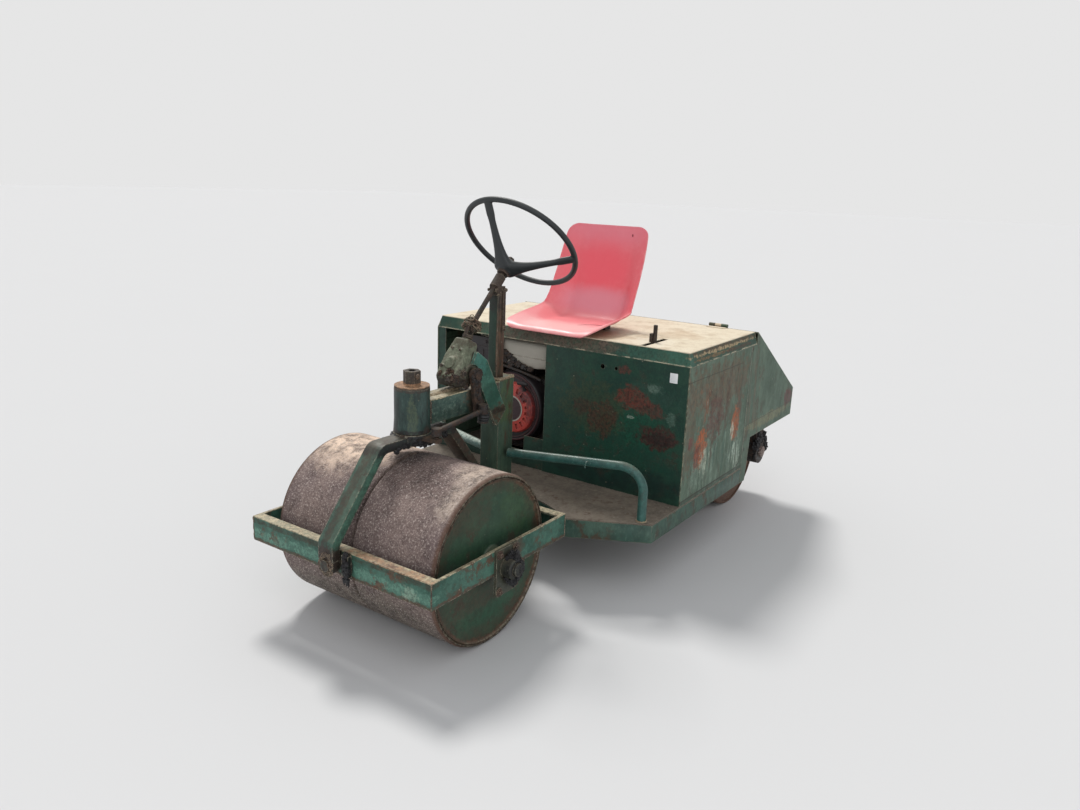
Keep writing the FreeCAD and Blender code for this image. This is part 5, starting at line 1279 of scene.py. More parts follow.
REAR_PAINT = WeatheredPaint(
    name="overhang_paint",
    fresh=(58, 84, 66),
    faded=(82, 106, 86),
    deep=(44, 60, 48),
    rust=(84, 62, 46),
    chips=0.5,
    flecks=0.5,
    edge=0.8,
    edge_width=0.006,
    grime_and_shade=0.4,
    grain=(1.0, 1.0, 0.5),
    shift=53.0,
    patches=(
        Patch((-1.12, LEFT_SIDE_Y, 0.5), (0.06, 0.05, 0.045), (84, 38, 34), 0.95, 0.5, 0.025),
        Patch((-0.66, LEFT_SIDE_Y, 0.62), (0.07, 0.05, 0.18), (100, 78, 56), 0.6, 0.8, 0.05, Mark.DRIPS),
        Patch((-0.85, LEFT_SIDE_Y, 0.45), (0.3, 0.05, 0.025), (132, 128, 92), 0.6, 0.8, 0.03),
        Patch((-0.606, LEFT_SIDE_Y, 0.799), (0.0085, 0.05, 0.0085), (30, 28, 24), 0.95, 0.1, 0.01),
        Patch((-0.606, LEFT_SIDE_Y, 0.565), (0.0085, 0.05, 0.0085), (30, 28, 24), 0.95, 0.1, 0.01),
        Patch((-0.709, LEFT_SIDE_Y, 0.681), (0.007, 0.05, 0.007), (44, 34, 28), 0.95, 0.1, 0.01),
        Patch((-0.61, LEFT_SIDE_Y, 0.36), (0.0085, 0.05, 0.0085), (30, 28, 24), 0.95, 0.1, 0.01),
    ),
    seams=(Seam((-1.3, 1.0), (0.9, 0.533), 0.01, 0.0022, (40, 44, 34), 0.7),),
)
HOUSING_PAINT = WeatheredPaint(
    name="housing_paint",
    fresh=(26, 58, 48),
    faded=(50, 80, 64),
    deep=(22, 38, 32),
    chips=0.4,
    flecks=0.25,
    edge=0.5,
    grime_and_shade=0.7,
    shift=59.0,
)
LID_PAINT = LidPaint(
    flange_patches=(
        Patch((0.0, -0.02, 0.845), (0.06, 0.34, 0.05), (108, 92, 80), 0.85, 0.3, 0.05),
        Patch((0.0, 0.5, 0.845), (0.06, 0.2, 0.05), (54, 98, 84), 0.55, 0.7, 0.06),
        Patch((-0.33, LEFT_SIDE_Y, 0.852), (0.36, 0.03, 0.013), (92, 72, 52), 0.9, 0.7, 0.03),
        Patch((-0.3, LEFT_SIDE_Y, 0.845), (0.34, 0.03, 0.007), (188, 166, 128), 0.85, 1.1, 0.03, holes=0.8),
        Patch((-0.2, LEFT_SIDE_Y, 0.83), (0.2, 0.03, 0.006), (138, 108, 72), 0.8, 1.1, 0.03, holes=0.8),
        Patch((-0.45, LEFT_SIDE_Y, 0.828), (0.16, 0.03, 0.007), (84, 60, 44), 0.7, 1.1, 0.03),
    ),
    patches=(
        Patch((-0.334, 0.39, 0.8645), (0.12, 0.1, 0.02), (180, 144, 104), 0.35, 0.8, 0.07),
        # Tan patch round the seat's foot: staining and the seat's painted shadow.
        Patch((-0.16, 0.05, 0.8645), (0.16, 0.3, 0.02), (170, 144, 112), 0.45, 0.8, 0.09),
        Patch((-0.1, 0.38, 0.8645), (0.1, 0.09, 0.02), (232, 222, 202), 0.5, 0.8, 0.06),
    ),
)
DRUM_STEEL = RollSteel(
    patches=(
        # Pale peach on the drums' tops: dust, and painted sunlight where the sun lights the tops.
        Patch((KINGPIN_X - 0.02, -0.22, 0.57), (0.2, 0.22, 0.12), (246, 218, 194), 0.92, 0.3, 0.09, soft=0.35, holes=0.3),
        Patch((KINGPIN_X - 0.04, 0.3, 0.57), (0.16, 0.1, 0.08), (212, 192, 174), 0.7, 0.4, 0.06, soft=0.3, holes=0.3),
        Patch((KINGPIN_X + 0.12, 0.3, 0.53), (0.12, 0.045, 0.1), (206, 188, 172), 0.65, 0.5, 0.05, soft=0.35, holes=0.3),
        # Dark patch on top at the split between the drums: painted shade.
        Patch((KINGPIN_X + 0.02, 0.02, 0.57), (0.1, 0.05, 0.03), (54, 44, 44), 0.8, 0.5, 0.04, soft=0.3, holes=0.2),
        Patch((KINGPIN_X + 0.1, 0.14, 0.53), (0.08, 0.2, 0.05), (92, 74, 72), 0.55, 0.6, 0.06, soft=0.3, holes=0.3),
        # Greyer, darker lower part of the drums under the frame: dust and painted shade.
        Patch((KINGPIN_X, 0.0, 0.05), (0.5, 0.6, 0.2), (96, 90, 80), 0.9, 0.3, 0.08, soft=0.2, holes=0.3),
    )
)
REAR_DRUM_STEEL = RollSteel(
    name="rear_roll_steel",
    rim_places=(0.448,),
    patches=(Patch((-0.89, 0.0, 0.1), (0.5, 0.9, 0.3), (112, 96, 82), 0.8, 0.4, 0.08, holes=0.3),),
)
DRUM_END_PAINT = WeatheredPaint(
    name="drum_end_paint",
    fresh=(38, 70, 50),
    faded=(62, 90, 66),
    deep=(30, 48, 38),
    rust=(74, 56, 44),
    chips=0.6,
    flecks=0.2,
    edge=0.5,
    edge_width=0.008,
    grime_and_shade=0.35,
    dusting=0.3,
    shift=61.0,
    patches=(
        Patch((KINGPIN_X + 0.06, 0.36, 0.2), (0.16, EVERYWHERE, 0.1), (76, 60, 46), 0.55, 0.8, 0.06),
        Patch((KINGPIN_X - 0.14, 0.36, 0.42), (0.1, EVERYWHERE, 0.09), (58, 88, 56), 0.6, 0.7, 0.06),
        Patch((KINGPIN_X + 0.02, 0.36, 0.11), (0.2, EVERYWHERE, 0.03), (40, 84, 60), 0.7, 0.6, 0.05),
        Patch((KINGPIN_X + 0.1, 0.36, 0.45), (0.12, EVERYWHERE, 0.05), (70, 58, 44), 0.5, 0.8, 0.05),
        Patch((KINGPIN_X, 0.36, 0.28), (0.25, EVERYWHERE, 0.25), (66, 58, 42), 0.6, 1.1, 0.06, Mark.RING, 0.4, band=0.12),
        Patch((KINGPIN_X, 0.36, 0.28), (0.266, EVERYWHERE, 0.266), (96, 66, 48), 0.92, 0.9, 0.05, Mark.RING, 0.3, band=0.05),
    ),
)
BLACK_GREASE = Grease()
# Fresh grease: its paler blue-grey colour stands for a painted sheen, not dust.
FRESH_GREASE = Grease(name="fresh_grease", base=(14, 16, 20), brown=(32, 29, 30), dust_and_sheen=(50, 50, 54), wet=0.7)
BROWN_GREASE = Grease(name="brown_grease", base=(38, 30, 27), brown=(78, 56, 42), dust_and_sheen=(108, 92, 74), wet=0.2)
RUSTY = RustySteel()
BOSS_RUST = RustySteel(name="boss_rust", base=(64, 46, 38), light=(104, 82, 68), dark=(38, 30, 27), tinting=0.0, shine=0.1)
NUT_STEEL = RustySteel(
    name="kingpin_steel",
    base=(68, 58, 50),
    light=(112, 98, 84),
    dark=(44, 38, 34),
    tinting=0.1,
    shine=0.1,
    patches=(Patch((KINGPIN_X, 0.0, 0.796), (0.1, 0.1, 0.006), (190, 146, 110), 0.85, 0.5, 0.03),),
)
HUB_PLATE_PAINT = WeatheredPaint(
    name="hub_plate_paint",
    fresh=(62, 66, 54),
    faded=(112, 108, 88),
    deep=(40, 42, 38),
    rust=(78, 54, 42),
    chips=0.95,
    flecks=0.6,
    edge=0.8,
    grime_and_shade=0.6,
    shift=63.0,
    patches=(
        Patch((KINGPIN_X, 0.43, 0.284), (0.045, 0.035, 0.045), (24, 25, 25), 0.96, 0.5, 0.03),
        Patch((KINGPIN_X, -0.43, 0.284), (0.045, 0.035, 0.045), (24, 25, 25), 0.96, 0.5, 0.03),
    ),
)
SHAFT_STEEL = RustySteel(name="shaft_steel", base=(66, 53, 46), light=(104, 86, 72), dark=(40, 33, 30), tinting=0.1)
CAST_METAL = WeatheredPaint(
    name="steering_box_casting",
    fresh=(98, 106, 86),
    faded=(150, 156, 134),
    deep=(58, 58, 46),
    rust=(66, 52, 40),
    bare=(190, 186, 162),
    chips=0.6,
    flecks=0.35,
    edge=0.5,
    grime_and_shade=0.8,
    roughness=0.55,
    speckle=0.8,
    shift=67.0,
    patches=(
        Patch((KINGPIN_X - 0.2, 0.0, 0.755), (0.12, 0.12, 0.045), (38, 33, 27), 0.97, 0.4, 0.03, holes=0.2),
        Patch((KINGPIN_X - 0.23, 0.05, 0.79), (0.1, 0.02, 0.045), (52, 43, 34), 0.8, 0.7, 0.03),
        Patch((KINGPIN_X - 0.26, 0.0, 0.9), (0.05, 0.08, 0.02), (64, 50, 38), 0.7, 0.7, 0.02),
    ),
)
BRACKET_PAINT = WeatheredPaint(
    name="bracket_paint",
    fresh=(50, 98, 84),
    faded=(98, 142, 126),
    deep=(34, 56, 48),
    rust=(78, 56, 42),
    chips=0.5,
    # Strong pale edges: worn paint that also stands for painted highlights along the bracket's edges.
    edge=0.9,
    edge_width=0.007,
    grime_and_shade=0.4,
    roughness=0.45,
    shift=71.0,
    patches=(
        Patch((KINGPIN_X - 0.35, 0.05, 0.7), (0.06, 0.03, 0.06), (40, 76, 62), 0.7, 0.6, 0.05),
        Patch((KINGPIN_X - 0.27, 0.05, 0.83), (0.05, 0.03, 0.05), (78, 138, 128), 0.65, 0.5, 0.04),
        Patch((KINGPIN_X - 0.405, 0.05, 0.62), (0.08, 0.03, 0.05), (82, 62, 46), 0.95, 0.6, 0.03),
        Patch((KINGPIN_X - 0.39, 0.05, 0.64), (0.04, 0.03, 0.012), (40, 28, 22), 0.9, 0.6, 0.02),
    ),
)
WELD_METAL = RustySteel(
    name="weld_metal", base=(150, 134, 108), light=(196, 180, 148), dark=(96, 78, 60), tint=(98, 104, 84), tinting=0.2, shine=0.0
)
DARK_WELD = RustySteel(name="dark_weld", base=(60, 49, 42), light=(96, 80, 66), dark=(38, 31, 28), tinting=0.1, shine=0.1)
SEAT_PLASTIC = Plastic(
    name="coral_seat_plastic",
    base=(230, 102, 112),
    bleached_and_lit=(244, 160, 162),
    dirt=(160, 72, 76),
    top_bleach_and_light=0.6,
    dirt_and_shade_level=0.15,
    scuff=(248, 200, 196),
    scuffing=0.5,
    roughness=0.36,
    patches=(
        # Soft pale zones are painted highlights; the deep coral zone on the back is painted light shining through the
        # plastic.
        Patch((-0.4, 0.0, 1.26), (0.1, 0.24, 0.09), (228, 130, 144), 0.75, 0.2, 0.12, soft=0.5, holes=0.0),
        Patch((-0.37, -0.01, 1.09), (0.1, 0.16, 0.12), (238, 92, 106), 0.85, 0.2, 0.12, soft=0.5, holes=0.0),
        Patch((-0.33, 0.0, 0.955), (0.09, 0.2, 0.06), (224, 148, 162), 0.8, 0.2, 0.12, soft=0.45, holes=0.0),
        Patch((-0.2, 0.0, 0.885), (0.1, 0.2, 0.04), (236, 132, 136), 0.6, 0.3, 0.1, soft=0.5, holes=0.0),
        Patch((-0.03, 0.02, 0.885), (0.1, 0.24, 0.04), (250, 202, 198), 0.8, 0.3, 0.1, soft=0.5, holes=0.0),
    ),
)
SEAT_CRACK = Plastic(
    name="seat_crack", base=(122, 44, 52), bleached_and_lit=(140, 60, 66), dirt=(70, 30, 34), scuff=(150, 70, 74), roughness=0.7
)
WHEEL_PLASTIC = Plastic(
    name="steering_wheel_plastic",
    base=(30, 35, 38),
    bleached_and_lit=(60, 63, 60),
    dirt=(22, 21, 20),
    top_bleach_and_light=0.5,
    scuff=(104, 98, 84),
    scuffing=0.35,
    roughness=0.45,
)
STARTER_RED = Plastic(
    name="starter_red",
    base=(188, 70, 62),
    bleached_and_lit=(206, 98, 88),
    dirt=(58, 28, 27),
    dirt_and_shade_level=0.7,
    scuff=(210, 118, 104),
    roughness=0.4,
    patches=(
        # Darker red at the cover's upper left and left edge: painted shade of the recess there.
        Patch((-0.0175, -0.135, 0.585), (0.1, 0.05, 0.04), (58, 36, 40), 0.9, 0.4, 0.04),
        Patch((-0.0175, -0.115, 0.52), (0.1, 0.02, 0.08), (92, 44, 46), 0.85, 0.4, 0.04),
    ),
)
LABEL_DARK = Plastic(
    name="blank_label_dark", base=(52, 34, 38), bleached_and_lit=(96, 58, 58), dirt=(30, 24, 26), scuff=(120, 84, 80), roughness=0.5
)
FAN_RED = Plastic(
    name="fan_dark_red", base=(58, 26, 30), bleached_and_lit=(84, 44, 46), dirt=(26, 18, 20), dirt_and_shade_level=0.6, scuff=(96, 58, 56), roughness=0.5
)
# Tank plastic with its white darkened to grey: painted shade for the shadow the tank sits in.
TANK_WHITE = Plastic(
    name="tank_white",
    base=(168, 163, 152),
    bleached_and_lit=(196, 192, 182),
    dirt=(104, 84, 64),
    dirt_and_shade_level=0.6,
    scuff=(214, 210, 200),
    roughness=0.5,
)
DARK_PLASTIC = Plastic(
    name="dark_plastic",
    base=(32, 28, 31),
    bleached_and_lit=(58, 50, 52),
    dirt=(22, 19, 20),
    scuff=(76, 66, 64),
    roughness=0.5,
)
RUBBER = Plastic(
    name="perished_rubber", base=(20, 22, 25), bleached_and_lit=(40, 42, 46), dirt=(34, 29, 26), dirt_and_shade_level=0.5, scuff=(60, 60, 60), roughness=0.6
)
STICKER_WHITE = Plastic(
    name="blank_sticker",
    base=(226, 228, 230),
    bleached_and_lit=(234, 236, 238),
    dirt=(160, 150, 140),
    dirt_and_shade_level=0.15,
    scuff=(240, 240, 240),
    roughness=0.35,
)


@dataclass
class Photographer:
    """Floor, light and camera of the scene."""

    camera_place: Point = (2.7495, 1.834, 1.44)
    yaw: float = -145.61
    dip: float = 14.79
    roll: float = 2.11
    lens: float = 28.24
    floor_half: float = 60.0
    sky_strength: float = 0.52
    backdrop: float = 0.79
    sun_power: float = 2.1
    fill_power: float = 0.8

    def floor(self) -> None:
        """Lay the pale floor."""
        shop = MeshShop("floor")
        half = self.floor_half
        corners = [Vector((-half, -half, 0.0)), Vector((half, -half, 0.0)), Vector((half, half, 0.0)), Vector((-half, half, 0.0))]
        shop.mesh.faces.new([shop.mesh.verts.new(corner) for corner in corners])
        data = bpy.data.meshes.new("floor")
        shop.mesh.to_mesh(data)
        shop.mesh.free()
        data.materials.append(YardFloor().material())
        plane = bpy.data.objects.new("floor", data)
        bpy.context.scene.collection.objects.link(plane)

    def sky(self) -> None:
        """Light the scene softly from all round and show a pale backdrop."""
        world = bpy.data.worlds.new("soft_studio")
        bpy.context.scene.world = world
        world.use_nodes = True
        nodes = world.node_tree.nodes
        links = world.node_tree.links
        nodes.clear()
        output = nodes.new("ShaderNodeOutputWorld")
        light = nodes.new("ShaderNodeBackground")
        light.inputs["Color"].default_value = (0.97, 0.985, 1.0, 1.0)
        light.inputs["Strength"].default_value = self.sky_strength
        shown = nodes.new("ShaderNodeBackground")
        shown.inputs["Color"].default_value = (self.backdrop, self.backdrop, self.backdrop, 1.0)
        shown.inputs["Strength"].default_value = 1.0
        path = nodes.new("ShaderNodeLightPath")
        seen = None
        for ray in ("Is Camera Ray", "Is Glossy Ray", "Is Transmission Ray"):
            if seen is None:
                seen = path.outputs[ray]
                continue
            either = nodes.new("ShaderNodeMath")
            either.operation = "MAXIMUM"
            links.new(seen, either.inputs[0])
            links.new(path.outputs[ray], either.inputs[1])
            seen = either.outputs[0]
        mix = nodes.new("ShaderNodeMixShader")
        links.new(seen, mix.inputs[0])
        links.new(light.outputs[0], mix.inputs[1])
        links.new(shown.outputs[0], mix.inputs[2])
        links.new(mix.outputs[0], output.inputs["Surface"])

    def sun(self, name: str, toward: Point, power: float, spread: float, colour: Point) -> None:
        """Light the scene evenly from one direction.

        Args:
            name: Name of the lamp.
            toward: Direction from the object to the lamp.
            power: Strength of the lamp.
            spread: Width of the lamp in degrees as the object sees it.
            colour: Linear colour.
        """
        data = bpy.data.lights.new(name, "SUN")
        data.energy = power
        data.angle = math.radians(spread)
        data.color = colour
        lamp = bpy.data.objects.new(name, data)
        lamp.rotation_euler = (-Vector(toward)).to_track_quat("-Z", "Y").to_euler()
        bpy.context.scene.collection.objects.link(lamp)

    def camera(self) -> None:
        """Set the camera at the photograph's angle."""
        data = bpy.data.cameras.new("photo_camera")
        data.sensor_width = 36.0
        data.lens = self.lens
        data.clip_end = 200.0
        camera = bpy.data.objects.new("photo_camera", data)
        yaw = math.radians(self.yaw)
        dip = math.radians(self.dip)
        roll = math.radians(self.roll)
        ahead = Vector((math.cos(yaw) * math.cos(dip), math.sin(yaw) * math.cos(dip), -math.sin(dip)))
        right = Vector((math.sin(yaw), -math.cos(yaw), 0.0))
        up = right.cross(ahead)
        turned_right = right * math.cos(roll) + up * math.sin(roll)
        turned_up = -right * math.sin(roll) + up * math.cos(roll)
        turn = Matrix((turned_right, turned_up, -ahead)).transposed()
        camera.matrix_world = Matrix.Translation(self.camera_place) @ turn.to_4x4()
        bpy.context.scene.collection.objects.link(camera)
        bpy.context.scene.camera = camera

    def set_up(self) -> None:
        """Build the whole stage."""
        self.floor()
        self.sky()
        self.sun("soft_key", (-0.5, -0.7, 1.3), self.sun_power, 14.0, (1.0, 0.985, 0.955))
        self.sun("wide_fill", (0.75, 0.6, 0.55), self.fill_power, 70.0, (0.97, 0.985, 1.0))
        self.camera()
        bpy.context.scene.view_settings.view_transform = "Standard"


@dataclass
class SubAssembly:
    """Group of CAD nodes and dressing pieces that belong together."""

    nodes: dict[str, bpy.types.Object]

    def coat(self, finish: Finish, *names: str) -> None:
        """Give CAD nodes a finish.

        Args:
            finish: Finish that they get.
            names: Names of the nodes.
        """
        for name in names:
            mesh = self.nodes[name].data
            mesh.materials.clear()
            mesh.materials.append(finish.material())
            LOG.info("finish %s on %s", finish.name, name)

    def round_off(self, width: float, *names: str) -> None:
        """Break the sharp edges of CAD nodes.

        Args:
            width: Width of the rounding in metres.
            names: Names of the nodes.
        """
        for name in names:
            node = self.nodes[name]
            weld = node.modifiers.new("joined", "WELD")
            weld.merge_threshold = 0.00002
            bevel = node.modifiers.new("broken_edge", "BEVEL")
            bevel.width = width
            bevel.segments = 2
            bevel.limit_method = "ANGLE"
            bevel.angle_limit = math.radians(35.0)
            bevel.harden_normals = True
            for face in node.data.polygons:
                face.use_smooth = True

    def dress(self) -> None:
        """Coat the nodes and add the pieces."""
        raise NotImplementedError


@dataclass
class FrontRoll(SubAssembly):
    """Front drums with the frame, axle and hubs around them."""

    axle_height: float = 0.28

    def dress(self) -> None:
        """Coat the nodes and add the grease, bolts and welds."""
        self.coat(DRUM_STEEL, "front_roll_left", "front_roll_right")
        self.coat(TEAL_FRAME, "roll_frame")
        self.coat(RUSTY, "front_axle")
        self.coat(HUB_PLATE_PAINT, "axle_hub_left", "axle_hub_right")
        self.paint_ends("front_roll_left")
        self.paint_ends("front_roll_right")
        self.ease_rims("front_roll_left", "front_roll_right")
        for side in (1.0, -1.0):
            self.hub_dirt(side)
        self.corner_welds()
        self.pin_dirt()
        self.split_dust("left", 1.0, Body.ROLL_LEFT)
        self.split_dust("right", -1.0, Body.ROLL_RIGHT)

    def split_dust(self, tag: str, side: float, body: Body) -> None:
        """Pack dust on a drum's inner face, so that the split is a shallow groove.

        Args:
            tag: Side's name in the piece's name.
            side: 1 for the left drum and -1 for the right one.
            body: Body of the drum.
        """
        shop = MeshShop("roll_split_dust_" + tag, 3)
        profile = [(0.24, 0.0035), (0.24, 0.001), (0.2715, 0.001), (0.2735, 0.0022), (0.2735, 0.0052), (0.262, 0.0052)]
        shop.lathe(profile, Vector((KINGPIN_X, 0.0, self.axle_height)), Vector((0.0, side, 0.0)), 128)
        for vert in shop.mesh.verts:
            spot = Vector((vert.co.x - KINGPIN_X, 0.0, vert.co.z - self.axle_height))
            if spot.length > 0.27:
                swell = 0.0016 * noise.noise(vert.co * 46.0) + 0.0009 * noise.noise(vert.co * 150.0)
                vert.co += spot.normalized() * swell
        shop.done(DRUM_STEEL, body)

    def ease_rims(self, *names: str) -> None:
        """Round the drums' worn outer rims.

        Args:
            names: Names of the drums' nodes.
        """
        for name in names:
            node = self.nodes[name]
            weld = node.modifiers.new("joined", "WELD")
            weld.merge_threshold = 0.00002
            bevel = node.modifiers.new("worn_rim", "BEVEL")
            bevel.width = 0.009
            bevel.segments = 4
            bevel.limit_method = "ANGLE"
            bevel.angle_limit = math.radians(60.0)
            bevel.use_clamp_overlap = False
            for face in node.data.polygons:
                face.use_smooth = True

    def paint_ends(self, name: str) -> None:
        """Give a drum's end plates their own paint.

        Args:
            name: Name of the drum's node.
        """
        mesh = self.nodes[name].data
        mesh.materials.append(DRUM_END_PAINT.material())
        centre = Vector((KINGPIN_X, 0.0, self.axle_height))
        for face in mesh.polygons:
            middle = sum((mesh.vertices[index].co for index in face.vertices), Vector()) / len(face.vertices)
            away = math.hypot(middle.x - centre.x, middle.z - centre.z)
            if away < 0.2675:
                face.material_index = 1

    def hub_dirt(self, side: float) -> None:
        """Add the greasy hub ring, its bolts and the dirt round it.

        Args:
            side: 1 for the left hub and -1 for the right one.
        """
        out = Vector((0.0, side, 0.0))
        tag = "left" if side > 0.0 else "right"
        face = Vector((KINGPIN_X - 0.011, side * 0.402, self.axle_height - 0.003))
        dirt = MeshShop("hub_grease_" + tag, 5)
        chance = random.Random(9)
        count = 40
        for index in range(count):
            share = math.sqrt((index + 0.5) / count)
            angle = index * 2.39996
            bulge = 0.006 + 0.034 * (1.0 - share**2) + chance.uniform(-0.003, 0.004)
            spot = face + Vector((math.cos(angle) * 0.029 * share, side * bulge, math.sin(angle) * 0.05 * share))
            size = chance.uniform(0.007, 0.0125)
            dirt.lump(spot, (size, size * 0.85, size * 1.3), 0.6, 1.6)
        for index in range(16):
            angle = chance.uniform(0.0, 2.0 * math.pi)
            share = chance.uniform(0.5, 1.0)
            start = face + Vector((math.cos(angle) * 0.032 * share, side * chance.uniform(0.012, 0.03), math.sin(angle) * 0.046 * share))
            drop = chance.uniform(0.014, 0.03)
            sway = chance.uniform(-0.006, 0.006)
            end = start + Vector((sway, side * 0.002, -drop))
            dirt.tube([start, start.lerp(end, 0.5) + out * 0.002, end], [0.0055, 0.0038, 0.0012], 8)
        dirt.done(FRESH_GREASE, Body.FRAME)
        bolts = MeshShop("hub_bolts_" + tag, 3)
        plate = Vector((KINGPIN_X, side * 0.4, self.axle_height - 0.011))
        for dx, dz, size in ((0.04, 0.062, 0.015), (-0.04, 0.064, 0.014), (0.04, -0.062, 0.015), (-0.04, -0.06, 0.014)):
            bolts.bolt(plate + Vector((dx, 0.0, dz)), out, size, 0.008)
        bolts.bolt(Vector((KINGPIN_X - 0.038, side * 0.418, 0.29)), out, 0.017, 0.012, 1.5)
        bolts.done(BOSS_RUST, Body.FRAME)

    def corner_welds(self) -> None:
        """Add weld beads in the frame's outer corners."""
        low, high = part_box("roll_frame")
        shop = MeshShop("frame_corner_welds", 4)
        for x in (KINGPIN_X + 0.3385, KINGPIN_X - 0.3385):
            for y in (0.3895, -0.3895):
                shop.bead(Vector((x, y, 0.265)), Vector((x, y, 0.345)), 0.0022)
        shop.done(DARK_WELD, Body.FRAME)
        LOG.info("roll frame spans %s to %s", low, high)

    def pin_dirt(self) -> None:
        """Add the grease round the front rocking pin and on the lock piece."""
        shop = MeshShop("rock_pin_grease", 8)
        face = KINGPIN_X + 0.353
        chance = random.Random(12)
        for index in range(14):
            height = 0.262 + index * 0.0062
            size = chance.uniform(0.008, 0.0125)
            spot = Vector((face + chance.uniform(-0.002, 0.002), 0.06 + chance.uniform(-0.006, 0.009), height))
            shop.lump(spot, (size * 0.6, size * 0.8, size), 0.55, 1.5)
        for drop in (-0.004, 0.007, 0.014):
            start = Vector((face + 0.002, 0.058 + drop, 0.268))
            end = start + Vector((0.0, 0.001, chance.uniform(-0.03, -0.016)))
            shop.tube([start, start.lerp(end, 0.5), end], [0.006, 0.004, 0.0015], 10)
        shop.done(FRESH_GREASE, Body.FRAME)


@dataclass
class Yoke(SubAssembly):
    """Bent yoke over the front roll, with kingpin, nut and steering arm."""

    def dress(self) -> None:
        """Coat the nodes and add the grease and the nut's pin."""
        self.coat(YOKE_PAINT, "yoke")
        self.coat(NUT_STEEL, "kingpin")
        self.coat(BROWN_GREASE, "steering_arm")
        self.round_off(0.003, "yoke")
        self.nut_pin()
        self.crown_dirt()
        self.foot_rust()

    def nut_pin(self) -> None:
        """Add the cross pin of the kingpin's nut and the cap's worn rim."""
        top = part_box("kingpin")[1].z
        shop = MeshShop("kingpin_cross_pin", 2)
        start = Vector((KINGPIN_X - 0.01, -0.034, top - 0.016))
        end = Vector((KINGPIN_X + 0.012, 0.036, top - 0.014))
        shop.tube([start, start.lerp(end, 0.5), end], [0.0045, 0.0045, 0.0045], 12)
        shop.lump(end, (0.007, 0.006, 0.008), 0.3)
        shop.done(RUSTY, Body.YOKE)
        stud = MeshShop("kingpin_stud", 2)
        stud.lathe([(0.0, 0.0), (0.017, 0.0), (0.0165, 0.004), (0.012, 0.006), (0.0, 0.006)], Vector((KINGPIN_X, 0.0, top - 0.006)), Vector((0.0, 0.0, 1.0)), 32)
        stud.done(NUT_STEEL, Body.YOKE)

    def crown_dirt(self) -> None:
        """Add the grease that has run from the head onto the yoke's crown."""
        shop = MeshShop("crown_grease", 6)
        chance = random.Random(4)
        for index in range(18):
            angle = 2.0 * math.pi * index / 18.0
            spot = Vector((KINGPIN_X + math.cos(angle) * 0.058, math.sin(angle) * 0.056, 0.631))
            size = chance.uniform(0.006, 0.0095)
            shop.lump(spot, (size * 1.4, size * 1.2, size * 0.7), 0.5)
        for side in (1.0, -1.0):
            for index in range(15):
                x = KINGPIN_X - 0.13 + index * 0.0165
                edge = max(0.031, math.sqrt(max(0.062**2 - (x - KINGPIN_X) ** 2, 0.0)))
                size = chance.uniform(0.006, 0.0105)
                spot = Vector((x, side * (edge - 0.002), chance.uniform(0.6, 0.622)))
                shop.lump(spot, (size * 1.3, size * 0.6, size * 1.2), 0.55, 1.4)
        shop.done(FRESH_GREASE, Body.YOKE)

    def foot_rust(self) -> None:
        """Add the rust scale round the rocking pin's head on the yoke's foot."""
        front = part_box("yoke")[1].x
        shop = MeshShop("yoke_foot_rust", 15)
        chance = random.Random(8)
        for index in range(18):
            angle = 2.0 * math.pi * index / 18.0
            radius = chance.uniform(0.021, 0.029)
            size = chance.uniform(0.006, 0.0095)
            spot = Vector((front - 0.001, math.cos(angle) * radius, 0.305 + math.sin(angle) * radius * 1.25))
            shop.lump(spot, (0.0045, size, size), 0.6, 1.5)
        shop.done(BOSS_RUST, Body.YOKE)


